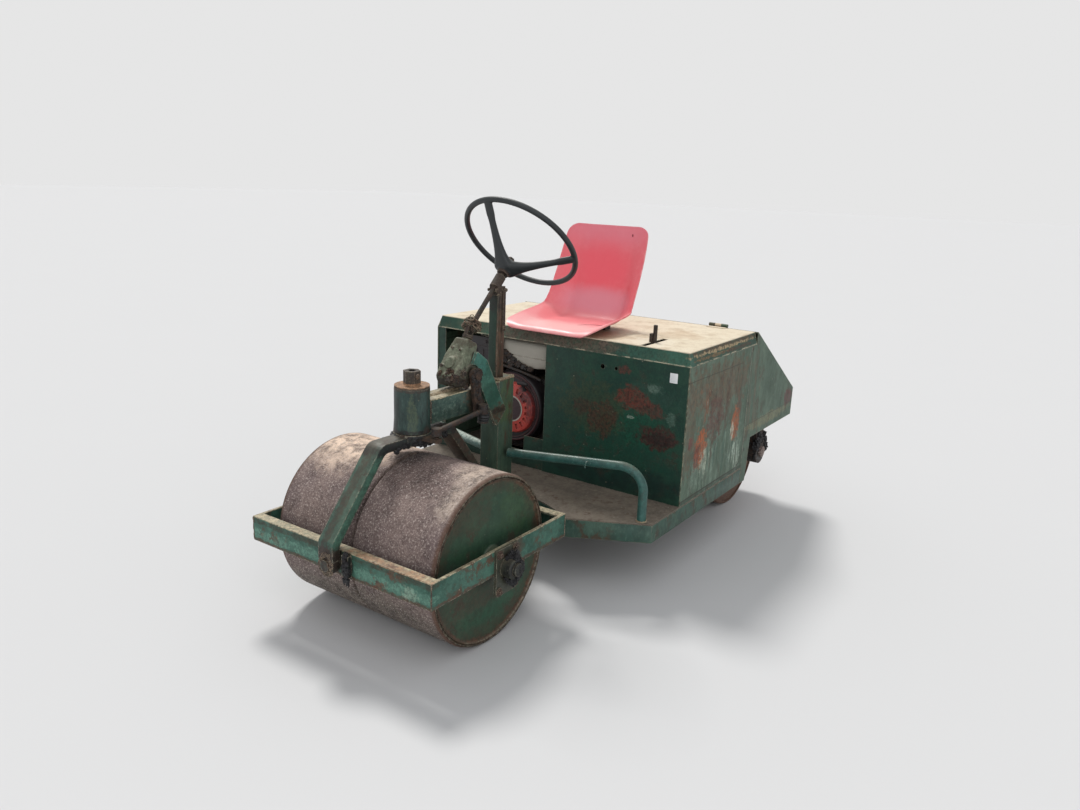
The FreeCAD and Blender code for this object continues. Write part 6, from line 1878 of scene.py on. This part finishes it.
@dataclass
class SteeringMast(SubAssembly):
    """Steering head, beam, posts, bearing and the welds between them."""

    def dress(self) -> None:
        """Coat the nodes and add the welds."""
        self.coat(HEAD_PAINT, "steering_head")
        self.coat(BEAM_PAINT, "neck_beam")
        self.coat(POST_PAINT, "mast_post")
        self.coat(UPPER_POST_PAINT, "column_post")
        self.coat(DARK_WELD, "column_bearing")
        self.round_off(0.002, "neck_beam", "mast_post", "column_post")
        self.beam_welds()
        self.post_filler()
        self.post_strap()
        self.bearing_dirt()

    def post_strap(self) -> None:
        """Add the rusty strap down the upper post's left face."""
        low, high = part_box("column_post")
        shop = MeshShop("post_strap", 5)
        shop.box(Vector((low.x + 0.001, high.y - 0.001, 0.915)), Vector((low.x + 0.016, high.y + 0.0045, high.z + 0.012)), 0.0012)
        shop.bolt(Vector((low.x + 0.0085, high.y + 0.0035, 0.93)), Vector((0.0, 1.0, 0.0)), 0.009, 0.005, 1.4)
        shop.done(SHAFT_STEEL, Body.CHASSIS)

    def bearing_dirt(self) -> None:
        """Add the uneven weld and old grease round the column's bearing."""
        low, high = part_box("column_bearing")
        shop = MeshShop("bearing_weld", 14)
        chance = random.Random(5)
        for side in (1.0, -1.0):
            for index in range(7):
                spot = Vector((
                    low.x + 0.006 + (high.x - low.x - 0.012) * index / 6.0,
                    side * chance.uniform(0.0165, 0.0195),
                    low.z + chance.uniform(0.002, 0.02),
                ))
                size = chance.uniform(0.004, 0.0075)
                shop.lump(spot, (size * 1.2, size * 0.7, size), 0.5, 1.5)
        shop.done(DARK_WELD, Body.CHASSIS)

    def beam_welds(self) -> None:
        """Add the rough strip on the beam and the bead round the head."""
        low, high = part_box("neck_beam")
        strip = MeshShop("beam_top_weld", 7)
        y = 0.0
        for row in range(3):
            offset = (row - 1) * 0.007
            strip.bead(
                Vector((low.x + 0.01, y + offset, high.z - 0.001)),
                Vector((high.x - 0.004, y + offset * 0.8, high.z - 0.001)),
                0.0045 + 0.0012 * (1 - abs(row - 1)),
                0.6,
            )
        for row in range(4):
            spot = Vector((low.x + 0.03 + row * 0.035, 0.012 * (-1) ** row, high.z))
            strip.lump(spot, (0.02, 0.016, 0.0035), 0.6)
        strip.done(WELD_METAL, Body.CHASSIS)
        ring = MeshShop("head_beam_weld", 9)
        for side in (1.0, -1.0):
            x = KINGPIN_X - math.sqrt(0.0582**2 - 0.043**2)
            ring.bead(Vector((x, side * 0.043, low.z + 0.003)), Vector((x, side * 0.043, high.z - 0.003)), 0.0045)
        ring.done(DARK_WELD, Body.CHASSIS)

    def post_filler(self) -> None:
        """Add the ragged pale weld along the lower post's top edge and the bead under the beam."""
        low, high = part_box("mast_post")
        shop = MeshShop("post_top_weld", 12)
        top = high.z - 0.002
        corners = [
            Vector((high.x, low.y, top)),
            Vector((high.x, high.y, top)),
            Vector((low.x, high.y, top)),
            Vector((low.x, low.y, top)),
        ]
        for start, end in zip(corners, corners[1:] + corners[:1]):
            shop.bead(start, end, 0.004, 0.7)
        chance = random.Random(2)
        for index in range(9):
            y = low.y + (high.y - low.y) * (index + 0.5) / 9.0
            shop.lump(Vector((high.x - 0.004, y, top)), (0.005, 0.006, chance.uniform(0.003, 0.007)), 0.6)
            x = low.x + (high.x - low.x) * (index + 0.5) / 9.0
            shop.lump(Vector((x, high.y - 0.002, top)), (0.006, 0.004, chance.uniform(0.003, 0.007)), 0.6)
        shop.done(WELD_METAL, Body.CHASSIS)
        foot = MeshShop("post_foot_weld", 13)
        floor = 0.2825
        for y in (low.y, high.y):
            foot.bead(Vector((low.x, y, floor)), Vector((high.x, y, floor)), 0.005)
        foot.bead(Vector((low.x, low.y, floor)), Vector((low.x, high.y, floor)), 0.005)
        foot.done(DARK_WELD, Body.CHASSIS)


@dataclass
class SteeringGear(SubAssembly):
    """Wheel, column, universal joint, steering box, arm and drag link."""

    joint: Point = (KINGPIN_X - 0.289, 0.0, 0.941)
    column_angle: float = 45.0
    box_angle: float = 65.0
    hub_station: float = 0.256
    dish: float = 0.14
    rim_radius: float = 0.217
    grip_radius: float = 0.0108
    spoke_turns: tuple[float, ...] = (-9.0, 105.0, 231.0)

    def column(self, station: float) -> Vector:
        """Point on the column's axis.

        Args:
            station: Distance up from the universal joint.

        Returns:
            The point.
        """
        return Vector(self.joint) + self.axis() * station

    def axis(self) -> Vector:
        """Direction of the column, up and back to the wheel."""
        lean = math.radians(self.column_angle)
        return Vector((-math.cos(lean), 0.0, math.sin(lean)))

    def dress(self) -> None:
        """Coat the nodes, replace the wheel and add the joint's wire and bolts."""
        self.coat(SHAFT_STEEL, "column_shaft", "input_shaft")
        self.coat(CAST_METAL, "steering_box")
        self.coat(BRACKET_PAINT, "steering_bracket")
        self.coat(BROWN_GREASE, "pitman_arm")
        self.coat(BLACK_GREASE, "drag_link")
        self.wheel()
        self.joint_wire()
        self.casting()
        self.box_bolts()
        self.link_boot()
        self.arm_grease()

    def link_boot(self) -> None:
        """Hang the perished rubber boot under the drag link's rear eye."""
        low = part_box("drag_link")[0]
        centre = Vector((low.x + 0.02, 0.09, 0.0))
        shop = MeshShop("link_rubber_boot", 10)
        rows = 24
        loops = []
        for row in range(rows + 1):
            share = row / rows
            height = 0.662 - 0.026 * share
            base = 0.0195 + 0.0015 * math.sin(math.pi * min(share * 1.15, 1.0))
            fold = 0.0012 * math.sin(share * 17.0 + 1.3)
            ring = []
            for turn in range(40):
                angle = 2.0 * math.pi * turn / 40
                out = Vector((math.cos(angle), math.sin(angle), 0.0))
                crumple = 0.0026 * noise.noise(Vector((out.x * 1.9, out.y * 1.9, height * 90.0)))
                ragged = 0.004 * noise.noise(Vector((out.x * 2.4, out.y * 2.4, 3.0))) * max(share - 0.7, 0.0) * 3.3
                ring.append(centre + out * (base + fold + crumple) + Vector((0.0, 0.0, height + ragged)))
            loops.append(ring)
        shop.rings(loops, True)
        shop.done(RUBBER, Body.LINK, 60.0)

    def arm_grease(self) -> None:
        """Add the grease caked round the pitman arm's upper end and down its face."""
        low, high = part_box("pitman_arm")
        shop = MeshShop("pitman_grease", 16)
        chance = random.Random(6)
        top = Vector((high.x - 0.024, 0.0, high.z - 0.024))
        for index in range(16):
            angle = 2.0 * math.pi * index / 16.0
            radius = chance.uniform(0.015, 0.022)
            size = chance.uniform(0.005, 0.009)
            spot = Vector((top.x + math.cos(angle) * radius, chance.uniform(0.071, 0.077), top.z + math.sin(angle) * radius))
            shop.lump(spot, (size, size * 0.7, size), 0.6, 1.5)
        foot = Vector((low.x + 0.019, 0.0, low.z + 0.019))
        for index in range(10):
            share = chance.uniform(0.15, 0.8)
            size = chance.uniform(0.004, 0.008)
            spot = top.lerp(foot, share) + Vector((chance.uniform(-0.012, 0.012), chance.uniform(0.069, 0.072), 0.0))
            shop.lump(spot, (size, size * 0.5, size * 1.3), 0.6, 1.5)
        shop.done(BLACK_GREASE, Body.PITMAN)

    def wheel(self) -> None:
        """Model the smooth wheel with its webbed spokes."""
        axis = self.axis()
        across = Vector((axis.z, 0.0, -axis.x))
        side = axis.cross(across)
        foot = self.column(self.hub_station)
        centre = self.column(self.hub_station + self.dish)
        shop = MeshShop("wheel_rim_and_spokes", 3)
        count = 180
        loops = []
        for index in range(count):
            angle = 2.0 * math.pi * index / count
            out = across * math.cos(angle) + side * math.sin(angle)
            middle = centre + out * self.rim_radius
            row = []
            for turn in range(14):
                around = 2.0 * math.pi * turn / 14
                row.append(middle + out * (math.cos(around) * self.grip_radius) + axis * (math.sin(around) * self.grip_radius * 0.98))
            loops.append(row)
        loops.append(loops[0])
        shop.rings(loops, True, caps=False)
        bmesh.ops.remove_doubles(shop.mesh, verts=shop.mesh.verts[:], dist=0.00005)
        for degrees in self.spoke_turns:
            angle = math.radians(degrees)
            out = across * math.cos(angle) + side * math.sin(angle)
            square = axis.cross(out)
            steps = 26
            loops = []
            for step in range(steps + 1):
                share = step / steps
                radius = 0.008 + (self.rim_radius - 0.008) * share
                lift = 0.018 + (self.dish - 0.022) * share**1.08
                middle = foot + out * radius + axis * lift
                near = radius - 0.02
                flare = min(max((radius - self.rim_radius * 0.72) / (self.rim_radius * 0.1), 0.0), 1.0)
                width = 0.0118 + 0.027 * math.exp(-max(near, 0.0) / 0.042) + 0.0045 * flare
                thick = 0.0078 + 0.011 * math.exp(-max(near, 0.0) / 0.05)
                along = (out * (self.rim_radius - 0.008) + axis * (self.dish - 0.022)).normalized()
                normal = square.cross(along).normalized()
                row = []
                for turn in range(16):
                    around = 2.0 * math.pi * turn / 16
                    u = math.copysign(abs(math.cos(around)) ** 0.7, math.cos(around))
                    v = math.copysign(abs(math.sin(around)) ** 0.7, math.sin(around))
                    row.append(middle + square * (u * width) + normal * (v * thick))
                loops.append(row)
            shop.rings(loops, True)
        hub = [(0.0, 0.0), (0.024, 0.0), (0.026, 0.006), (0.023, 0.01), (0.03, 0.014), (0.033, 0.02), (0.031, 0.03), (0.034, 0.036), (0.03, 0.045), (0.022, 0.05), (0.0, 0.051)]
        shop.lathe(hub, foot, axis, 40)
        piece = shop.done(WHEEL_PLASTIC, Body.WHEEL)
        remesh = piece.modifiers.new("one_skin", "REMESH")
        remesh.mode = "VOXEL"
        remesh.voxel_size = 0.0024
        remesh.use_smooth_shade = True
        smooth = piece.modifiers.new("eased", "SMOOTH")
        smooth.factor = 0.5
        smooth.iterations = 6
        baked(piece)
        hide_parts("steering_wheel")
        nut = MeshShop("wheel_hub_nut", 2)
        nut.bolt(foot + axis * 0.05, axis, 0.026, 0.012, 1.5)
        nut.done(SHAFT_STEEL, Body.WHEEL)
        collar = MeshShop("hub_collar", 2)
        collar.lathe([(0.0, 0.0), (0.021, 0.0), (0.022, 0.004), (0.022, 0.012), (0.0205, 0.016), (0.0, 0.016)], foot - axis * 0.008, axis, 36)
        collar.done(SHAFT_STEEL, Body.WHEEL)

    def joint_wire(self) -> None:
        """Wind the rusty chain and tie wire round the universal joint."""
        shop = MeshShop("joint_chain", 5)
        centre = Vector(self.joint)
        first, second, unit = MeshShop.basis(self.axis())
        chance = random.Random(21)
        for index in range(15):
            angle = index * 0.9
            lift = 0.0 + 0.036 * index / 15.0
            radius = 0.0275 + chance.uniform(-0.003, 0.004)
            middle = centre + unit * lift + (first * math.cos(angle) + second * math.sin(angle)) * radius
            along = second * math.cos(angle) - first * math.sin(angle)
            flat = unit if index % 2 else first * math.cos(angle) + second * math.sin(angle)
            tilt = chance.uniform(-0.5, 0.5)
            flat = (flat + along * tilt).normalized()
            path = []
            for step in range(13):
                turn = 2.0 * math.pi * step / 12.0
                path.append(middle + along * (math.cos(turn) * 0.0115) + flat * (math.sin(turn) * 0.0068))
            shop.tube(path, [0.0026] * len(path), 8)
        shop.done(RUSTY, Body.WHEEL)
        wire = MeshShop("joint_tie_wire", 6)
        path = []
        for index in range(80):
            angle = index * 0.42
            radius = 0.0225 + 0.0045 * math.sin(index * 0.9)
            lift = -0.002 + 0.04 * index / 80.0 + 0.004 * math.sin(index * 1.7)
            path.append(centre + unit * lift + (first * math.cos(angle) + second * math.sin(angle)) * radius)
        wire.tube(path, [0.0015] * len(path), 8)
        tail = [path[-1], path[-1] + Vector((0.006, 0.012, -0.01)), path[-1] + Vector((0.004, 0.02, -0.03)), path[-1] + Vector((0.0, 0.018, -0.045))]
        wire.tube(tail, [0.0015] * 4, 8)
        wire.done(SHAFT_STEEL, Body.WHEEL)

    def box_point(self, station: float, offset: float, side: float) -> Vector:
        """Point by the steering box's own axis.

        Args:
            station: Distance down the axis from the universal joint.
            offset: Distance to the front of the axis.
            side: Distance to the left.

        Returns:
            The point.
        """
        lean = math.radians(self.box_angle)
        down = Vector((math.cos(lean), 0.0, -math.sin(lean)))
        front = Vector((math.sin(lean), 0.0, math.cos(lean)))
        return Vector(self.joint) + down * station + front * offset + Vector((0.0, side, 0.0))

    def casting(self) -> None:
        """Model the steering box as a smooth, uneven casting with its bosses."""
        shop = MeshShop("steering_box_casting", 6)
        shop.mesh.from_mesh(self.nodes["steering_box"].data)
        bmesh.ops.remove_doubles(shop.mesh, verts=shop.mesh.verts[:], dist=0.00002)
        lean = math.radians(self.box_angle)
        front = Vector((math.sin(lean), 0.0, math.cos(lean)))
        left = Vector((0.0, 1.0, 0.0))
        ring = [(0.0, -0.006), (0.0165, -0.006), (0.0165, 0.006), (0.014, 0.0095), (0.0105, 0.0085), (0.0095, 0.001), (0.0, 0.0)]
        shop.lathe(ring, self.box_point(0.128, self.front_depth(0.128), 0.002), front, 32)
        boss = [(0.0, -0.008), (0.026, -0.008), (0.025, 0.001), (0.021, 0.004), (0.0, 0.0045)]
        shop.lathe(boss, self.box_point(0.162, 0.024, 0.043), left, 32)
        for station, side, size in ((0.083, -0.017, 0.008), (0.086, 0.018, 0.008), (0.152, -0.03, 0.009)):
            shop.lump(self.box_point(station, self.front_depth(station) - 0.003, side), (size, size, size), 0.1)
        shop.lump(self.box_point(0.182, self.front_depth(0.182) - 0.008, 0.0), (0.013, 0.034, 0.012), 0.2)
        piece = shop.done(CAST_METAL, Body.CHASSIS)
        remesh = piece.modifiers.new("one_skin", "REMESH")
        remesh.mode = "VOXEL"
        remesh.voxel_size = 0.0022
        remesh.use_smooth_shade = True
        smooth = piece.modifiers.new("eased", "SMOOTH")
        smooth.factor = 0.5
        smooth.iterations = 9
        baked(piece)
        for vert in piece.data.vertices:
            sample = vert.co * 34.0
            swell = 0.0011 * noise.noise(sample) + 0.0006 * noise.noise(sample * 3.1)
            vert.co += vert.normal * swell
        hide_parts("steering_box")

    def front_depth(self, station: float) -> float:
        """Distance of the box's front face from its axis at one station."""
        return 0.028 + (station - 0.04) / 0.148 * 0.026

    def box_bolts(self) -> None:
        """Add the box's small bolts, its sector nut and the dirt at its foot."""
        lean = math.radians(self.box_angle)
        front = Vector((math.sin(lean), 0.0, math.cos(lean)))
        left = Vector((0.0, 1.0, 0.0))
        shop = MeshShop("steering_box_bolts", 6)
        for station, side in ((0.083, -0.017), (0.086, 0.018)):
            shop.bolt(self.box_point(station, self.front_depth(station) + 0.005, side), front, 0.0085, 0.004, 0.0)
        shop.bolt(self.box_point(0.152, self.front_depth(0.152) + 0.006, -0.03), front, 0.011, 0.006, 0.0)
        shop.bolt(self.box_point(0.162, 0.024, 0.046), left, 0.021, 0.0075, 1.5)
        shop.bolt(self.box_point(0.128, self.front_depth(0.128), 0.002), front, 0.01, 0.003, 0.0)
        shop.done(DARK_WELD, Body.CHASSIS)
        dirt = MeshShop("steering_box_dirt", 9)
        chance = random.Random(31)
        for index in range(16):
            station = chance.uniform(0.165, 0.196)
            offset = chance.uniform(-0.02, self.front_depth(station) - 0.004)
            size = chance.uniform(0.006, 0.012)
            dirt.lump(self.box_point(station, offset, 0.04), (size, size * 0.7, size), 0.55, 1.5)
        for index in range(9):
            station = chance.uniform(0.16, 0.196)
            size = chance.uniform(0.006, 0.012)
            dirt.lump(self.box_point(station, self.front_depth(station) - 0.003, chance.uniform(-0.034, 0.036)), (size, size, size), 0.55, 1.5)
        dirt.done(BROWN_GREASE, Body.CHASSIS)


@dataclass
class Platform(SubAssembly):
    """Base rail, floor plate and the two guard tubes."""

    def dress(self) -> None:
        """Coat the nodes and add the tubes' welds."""
        self.coat(RAIL_PAINT, "base_frame")
        self.coat(FLOOR_DIRT, "floor_plate")
        self.coat(TUBE_PAINT, "guard_tube_left", "guard_tube_right")
        self.round_off(0.0015, "base_frame", "floor_plate")
        self.tube_welds()

    def tube_welds(self) -> None:
        """Add the beads at the tubes' feet and post ends, and the small bump on the left tube."""
        for tag, side in (("left", 1.0), ("right", -1.0)):
            shop = MeshShop("guard_welds_" + tag, 4)
            centre = Vector((KINGPIN_X - 0.588, side * 0.553, 0.284))
            ring = []
            for index in range(25):
                angle = 2.0 * math.pi * index / 24.0
                ring.append(centre + Vector((math.cos(angle) * 0.0175, math.sin(angle) * 0.0175, 0.0)))
            radii = [0.0035 + 0.0008 * math.sin(index * 2.1) for index in range(25)]
            shop.tube(ring, radii, 8)
            shop.done(WELD_METAL, Body.CHASSIS)
        bump = MeshShop("tube_weld_bump", 6)
        path = []
        for index in range(14):
            angle = math.pi * (index / 13.0) * 1.1 - 0.3
            path.append(Vector((0.313, 0.378 + 0.001 * (-1) ** index, 0.4776)) + Vector((math.cos(angle), 0.0, math.sin(angle))) * 0.0165)
        bump.tube(path, [0.0022] * len(path), 8)
        bump.done(TUBE_PAINT, Body.CHASSIS)


@dataclass
class Housing(SubAssembly):
    """Body sheets, lid, hinges, panel details and lever."""

    def dress(self) -> None:
        """Coat the nodes and add the panel's details."""
        self.coat(PANEL_PAINT, "front_panel")
        self.coat(HOUSING_PAINT, "front_surround", "housing_frame")
        self.coat(SIDE_PAINT, "side_panel_left", "side_panel_right")
        self.coat(REAR_PAINT, "rear_side_left", "rear_side_right", "rear_slope_panel", "rear_end_panel")
        self.coat(LID_PAINT, "lid")
        self.coat(SHAFT_STEEL, "drive_lever")
        self.sticker()
        self.lever_tab()

    def sticker(self) -> None:
        """Add the blank white sticker on the front panel."""
        shop = MeshShop("blank_sticker", 1)
        x = FRONT_PANEL_X
        y, z, half_y, half_z = 0.537, 0.766, 0.0155, 0.0185
        corners = [
            Vector((x, y - half_y, z - half_z)),
            Vector((x, y + half_y, z - half_z)),
            Vector((x, y + half_y, z + half_z)),
            Vector((x, y - half_y, z + half_z)),
        ]
        shop.slab(corners, Vector((0.0008, 0.0, 0.0)), 0.0003)
        shop.done(STICKER_WHITE, Body.CHASSIS)

    def lever_tab(self) -> None:
        """Add the small clamp beside the lever's post."""
        low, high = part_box("drive_lever")
        x = (low.x + high.x) / 2.0
        y = (low.y + high.y) / 2.0
        shop = MeshShop("lever_clamp", 2)
        shop.box(Vector((x - 0.009, y - 0.02, 0.86)), Vector((x + 0.009, y - 0.0065, 0.897)), 0.002)
        shop.done(SHAFT_STEEL, Body.CHASSIS)


@dataclass
class Seat(SubAssembly):
    """Bucket seat and its two bars."""

    def dress(self) -> None:
        """Coat the shell and the bars and add the crack."""
        self.coat(SEAT_PLASTIC, "seat_shell")
        self.coat(DARK_WELD, "seat_bar_front", "seat_bar_rear")
        for face in self.nodes["seat_shell"].data.polygons:
            face.use_smooth = True
        self.crack()

    def crack(self) -> None:
        """Draw the crack in the pan and the nick high on the back."""
        shop = MeshShop("seat_crack_line", 4)
        path = []
        for x, y in ((-0.096, 0.052), (-0.126, 0.071), (-0.155, 0.097), (-0.166, 0.122), (-0.17, 0.15)):
            hit, place, _, _ = self.nodes["seat_shell"].ray_cast(Vector((x, y, 1.2)), Vector((0.0, 0.0, -1.0)))
            if hit:
                path.append(place)
        shop.tube(path, [0.0004] + [0.0011] * (len(path) - 2) + [0.0004], 8)
        hit, place, _, _ = self.nodes["seat_shell"].ray_cast(Vector((0.2, 0.118, 1.236)), Vector((-1.0, 0.0, 0.0)))
        if hit:
            shop.lump(place, (0.002, 0.0028, 0.0055), 0.4)
        shop.done(SEAT_CRACK, Body.LID)


@dataclass
class Engine(SubAssembly):
    """Engine, starter and tank behind the opening."""

    starter_y: float = -0.205
    starter_z: float = 0.515
    front: float = -0.0175

    def dress(self) -> None:
        """Coat the nodes and add what shows in the opening."""
        self.coat(BLACK_GREASE, "engine_block")
        self.coat(DARK_PLASTIC, "fan_housing")
        self.tank()
        self.starter()
        self.label()
        self.grip()
        self.hoses()
        self.filter_cover()
        self.fan_ridges()

    def starter(self) -> None:
        """Set the slotted starter cover, a little smaller, on the fan housing."""
        shop = MeshShop("starter_shell", 5)
        shop.mesh.from_mesh(self.nodes["starter_cover"].data)
        bmesh.ops.remove_doubles(shop.mesh, verts=shop.mesh.verts[:], dist=0.00002)
        for vert in shop.mesh.verts:
            across = (vert.co.y + 0.225) * 0.9
            rise = (vert.co.z - self.starter_z) * 0.93
            vert.co = Vector((vert.co.x, self.starter_y + across, self.starter_z + rise))
        piece = shop.done(STARTER_RED, Body.CHASSIS, 30.0)
        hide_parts("starter_cover")

    def filter_cover(self) -> None:
        """Add the dark air filter cover before the tank's far end."""
        shop = MeshShop("air_filter_cover", 4)
        shop.box(Vector((-0.032, -0.46, 0.646)), Vector((-0.016, -0.264, 0.799)), 0.007)
        shop.box(Vector((-0.03, -0.466, 0.752)), Vector((-0.0125, -0.258, 0.76)), 0.002)
        for y in (-0.43, -0.395, -0.36, -0.325, -0.29):
            shop.box(Vector((-0.018, y - 0.003, 0.66)), Vector((-0.0125, y + 0.003, 0.744)), 0.0018)
        shop.bolt(Vector((-0.016, -0.345, 0.779)), Vector((1.0, 0.0, 0.0)), 0.013, 0.006)
        shop.done(DARK_PLASTIC, Body.CHASSIS)

    def fan_ridges(self) -> None:
        """Add the ridges round the fan housing's face."""
        shop = MeshShop("fan_housing_ridges", 4)
        centre = Vector((-0.0415, -0.225, self.starter_z))
        for radius, width, rise in ((0.143, 0.004, 0.004), (0.131, 0.0025, 0.003)):
            profile = [(radius - width, -0.003), (radius - width, rise * 0.7), (radius - width * 0.4, rise), (radius + width * 0.4, rise), (radius + width, rise * 0.6), (radius + width, -0.003)]
            first, second, unit = MeshShop.basis(Vector((1.0, 0.0, 0.0)))
            loops = []
            for turn in range(97):
                angle = 2.0 * math.pi * turn / 96
                out = first * math.cos(angle) + second * math.sin(angle)
                loops.append([centre + unit * station + out * size for size, station in profile])
            shop.rings(loops, False)
        bmesh.ops.remove_doubles(shop.mesh, verts=shop.mesh.verts[:], dist=0.00002)
        shop.done(FAN_RED, Body.CHASSIS)

    def tank(self) -> None:
        """Model the pale tank with its seam and its uneven lower edge."""
        low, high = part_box("fuel_tank")
        shop = MeshShop("tank_shell", 5)
        middle = (low + high) / 2.0
        half = (high - low) / 2.0
        loops = []
        rows = (
            (0.694, 0.016), (0.6965, 0.006), (0.702, 0.001), (0.728, 0.0), (0.7355, 0.0), (0.737, 0.0032),
            (0.741, 0.0032), (0.7425, 0.0), (0.775, 0.0), (0.79, 0.002), (0.797, 0.008), (0.8, 0.02),
        )
        for height, inset in rows:
            row = []
            for turn in range(72):
                angle = 2.0 * math.pi * turn / 72.0
                u = math.copysign(abs(math.cos(angle)) ** 0.28, math.cos(angle))
                v = math.copysign(abs(math.sin(angle)) ** 0.28, math.sin(angle))
                point = Vector((middle.x + u * (half.x - inset), middle.y + v * (half.y - inset), height))
                if height < 0.7:
                    point.z += 0.0022 * math.sin(point.y * 70.0)
                row.append(point)
            loops.append(row)
        shop.rings(loops, True)
        piece = shop.done(TANK_WHITE, Body.CHASSIS, 60.0)
        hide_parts("fuel_tank")

    def label(self) -> None:
        """Add the starter's blank ring label with its darker middle."""
        centre = Vector((self.front, self.starter_y, self.starter_z))
        ahead = Vector((1.0, 0.0, 0.0))
        ring = MeshShop("starter_blank_ring", 3)
        ring.lathe([(0.0, 0.0), (0.056, 0.0), (0.056, 0.001), (0.0515, 0.0012), (0.0, 0.0012)], centre, ahead, 64)
        ring.done(TANK_WHITE, Body.CHASSIS)
        disc = MeshShop("starter_blank_disc", 3)
        disc.lathe([(0.0, 0.001), (0.0505, 0.001), (0.0505, 0.0018), (0.045, 0.002), (0.0, 0.002)], centre, ahead, 64)
        disc.done(LABEL_DARK, Body.CHASSIS)

    def grip(self) -> None:
        """Add the starter's pull grip with its short stem."""
        shop = MeshShop("starter_grip", 3)
        middle = Vector((self.front + 0.016, -0.141, 0.632))
        path = [middle + Vector((0.0, share, 0.004 * math.cos(share * 60.0))) for share in (-0.026, -0.022, -0.012, 0.0, 0.012, 0.022, 0.026)]
        shop.tube(path, [0.003, 0.0078, 0.0085, 0.0095, 0.0085, 0.0078, 0.003], 14)
        shop.tube([middle, middle + Vector((-0.008, 0.0, -0.014)), middle + Vector((-0.018, 0.002, -0.03))], [0.007, 0.006, 0.008], 12)
        shop.done(DARK_PLASTIC, Body.CHASSIS)

    def hoses(self) -> None:
        """Add the dark filter foam and the hose below the tank's corner."""
        shop = MeshShop("filter_foam", 11)
        for y, z, size in ((-0.256, 0.745, 0.016), (-0.236, 0.732, 0.017), (-0.212, 0.716, 0.018), (-0.186, 0.703, 0.018), (-0.158, 0.695, 0.017), (-0.128, 0.69, 0.014), (-0.262, 0.715, 0.02), (-0.225, 0.698, 0.02)):
            shop.lump(Vector((-0.036, y, z)), (0.012, size, size * 0.8), 0.4, 1.4)
        hose = [Vector((-0.034, -0.31, 0.7)), Vector((-0.03, -0.27, 0.69)), Vector((-0.028, -0.22, 0.684)), Vector((-0.03, -0.17, 0.676)), Vector((-0.034, -0.12, 0.664)), Vector((-0.045, -0.08, 0.65))]
        shop.tube(hose, [0.0055] * 6, 10)
        shop.done(BLACK_GREASE, Body.CHASSIS)


@dataclass
class RearRoll(SubAssembly):
    """Rear roll and its hanging bearings."""

    def dress(self) -> None:
        """Coat the nodes and add the grease."""
        self.coat(REAR_DRUM_STEEL, "rear_roll")
        self.coat(BLACK_GREASE, "rear_bearing_left", "rear_bearing_right")
        self.bearing_grease("left", 1.0)
        self.bearing_grease("right", -1.0)

    def bearing_grease(self, tag: str, side: float) -> None:
        """Add the shaggy grease that hangs from a rear bearing.

        Args:
            tag: Side's name in the piece's name.
            side: 1 for the left bearing and -1 for the right one.
        """
        low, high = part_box("rear_bearing_" + tag)
        centre = Vector(((low.x + high.x) / 2.0, side * 0.573, 0.315))
        shop = MeshShop("rear_grease_" + tag, 7)
        chance = random.Random(17)
        for index in range(20):
            angle = 2.0 * math.pi * index / 20.0 + chance.uniform(-0.2, 0.2)
            radius = chance.uniform(0.015, 0.066)
            size = chance.uniform(0.011, 0.018)
            spot = centre + Vector((math.cos(angle) * radius, -side * chance.uniform(-0.004, 0.008), math.sin(angle) * radius * 0.9))
            shop.lump(spot, (size, size * 0.75, size * 1.2), 0.6, 1.7)
        for index in range(11):
            start = centre + Vector((-0.055 + index * 0.011, -side * chance.uniform(0.0, 0.014), -0.035 + chance.uniform(-0.008, 0.006)))
            drop = chance.uniform(0.022, 0.048)
            sway = chance.uniform(-0.003, 0.003)
            shop.tube(
                [start, start + Vector((sway, 0.0, -drop * 0.5)), start + Vector((sway * 1.5, 0.0, -drop))],
                [0.0075, 0.005, 0.0014],
                10,
            )
        shop.done(FRESH_GREASE, Body.CHASSIS)


def main() -> None:
    """Load the frame, dress it and set the stage."""
    logging.basicConfig(level=logging.INFO, format="%(message)s")
    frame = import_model()
    nodes = frame["nodes"]
    Photographer().set_up()
    for assembly in (
        FrontRoll(nodes),
        Yoke(nodes),
        SteeringMast(nodes),
        SteeringGear(nodes),
        Platform(nodes),
        Housing(nodes),
        Seat(nodes),
        Engine(nodes),
        RearRoll(nodes),
    ):
        LOG.info("dressing %s", type(assembly).__name__)
        assembly.dress()


if __name__ == "__main__":
    main()
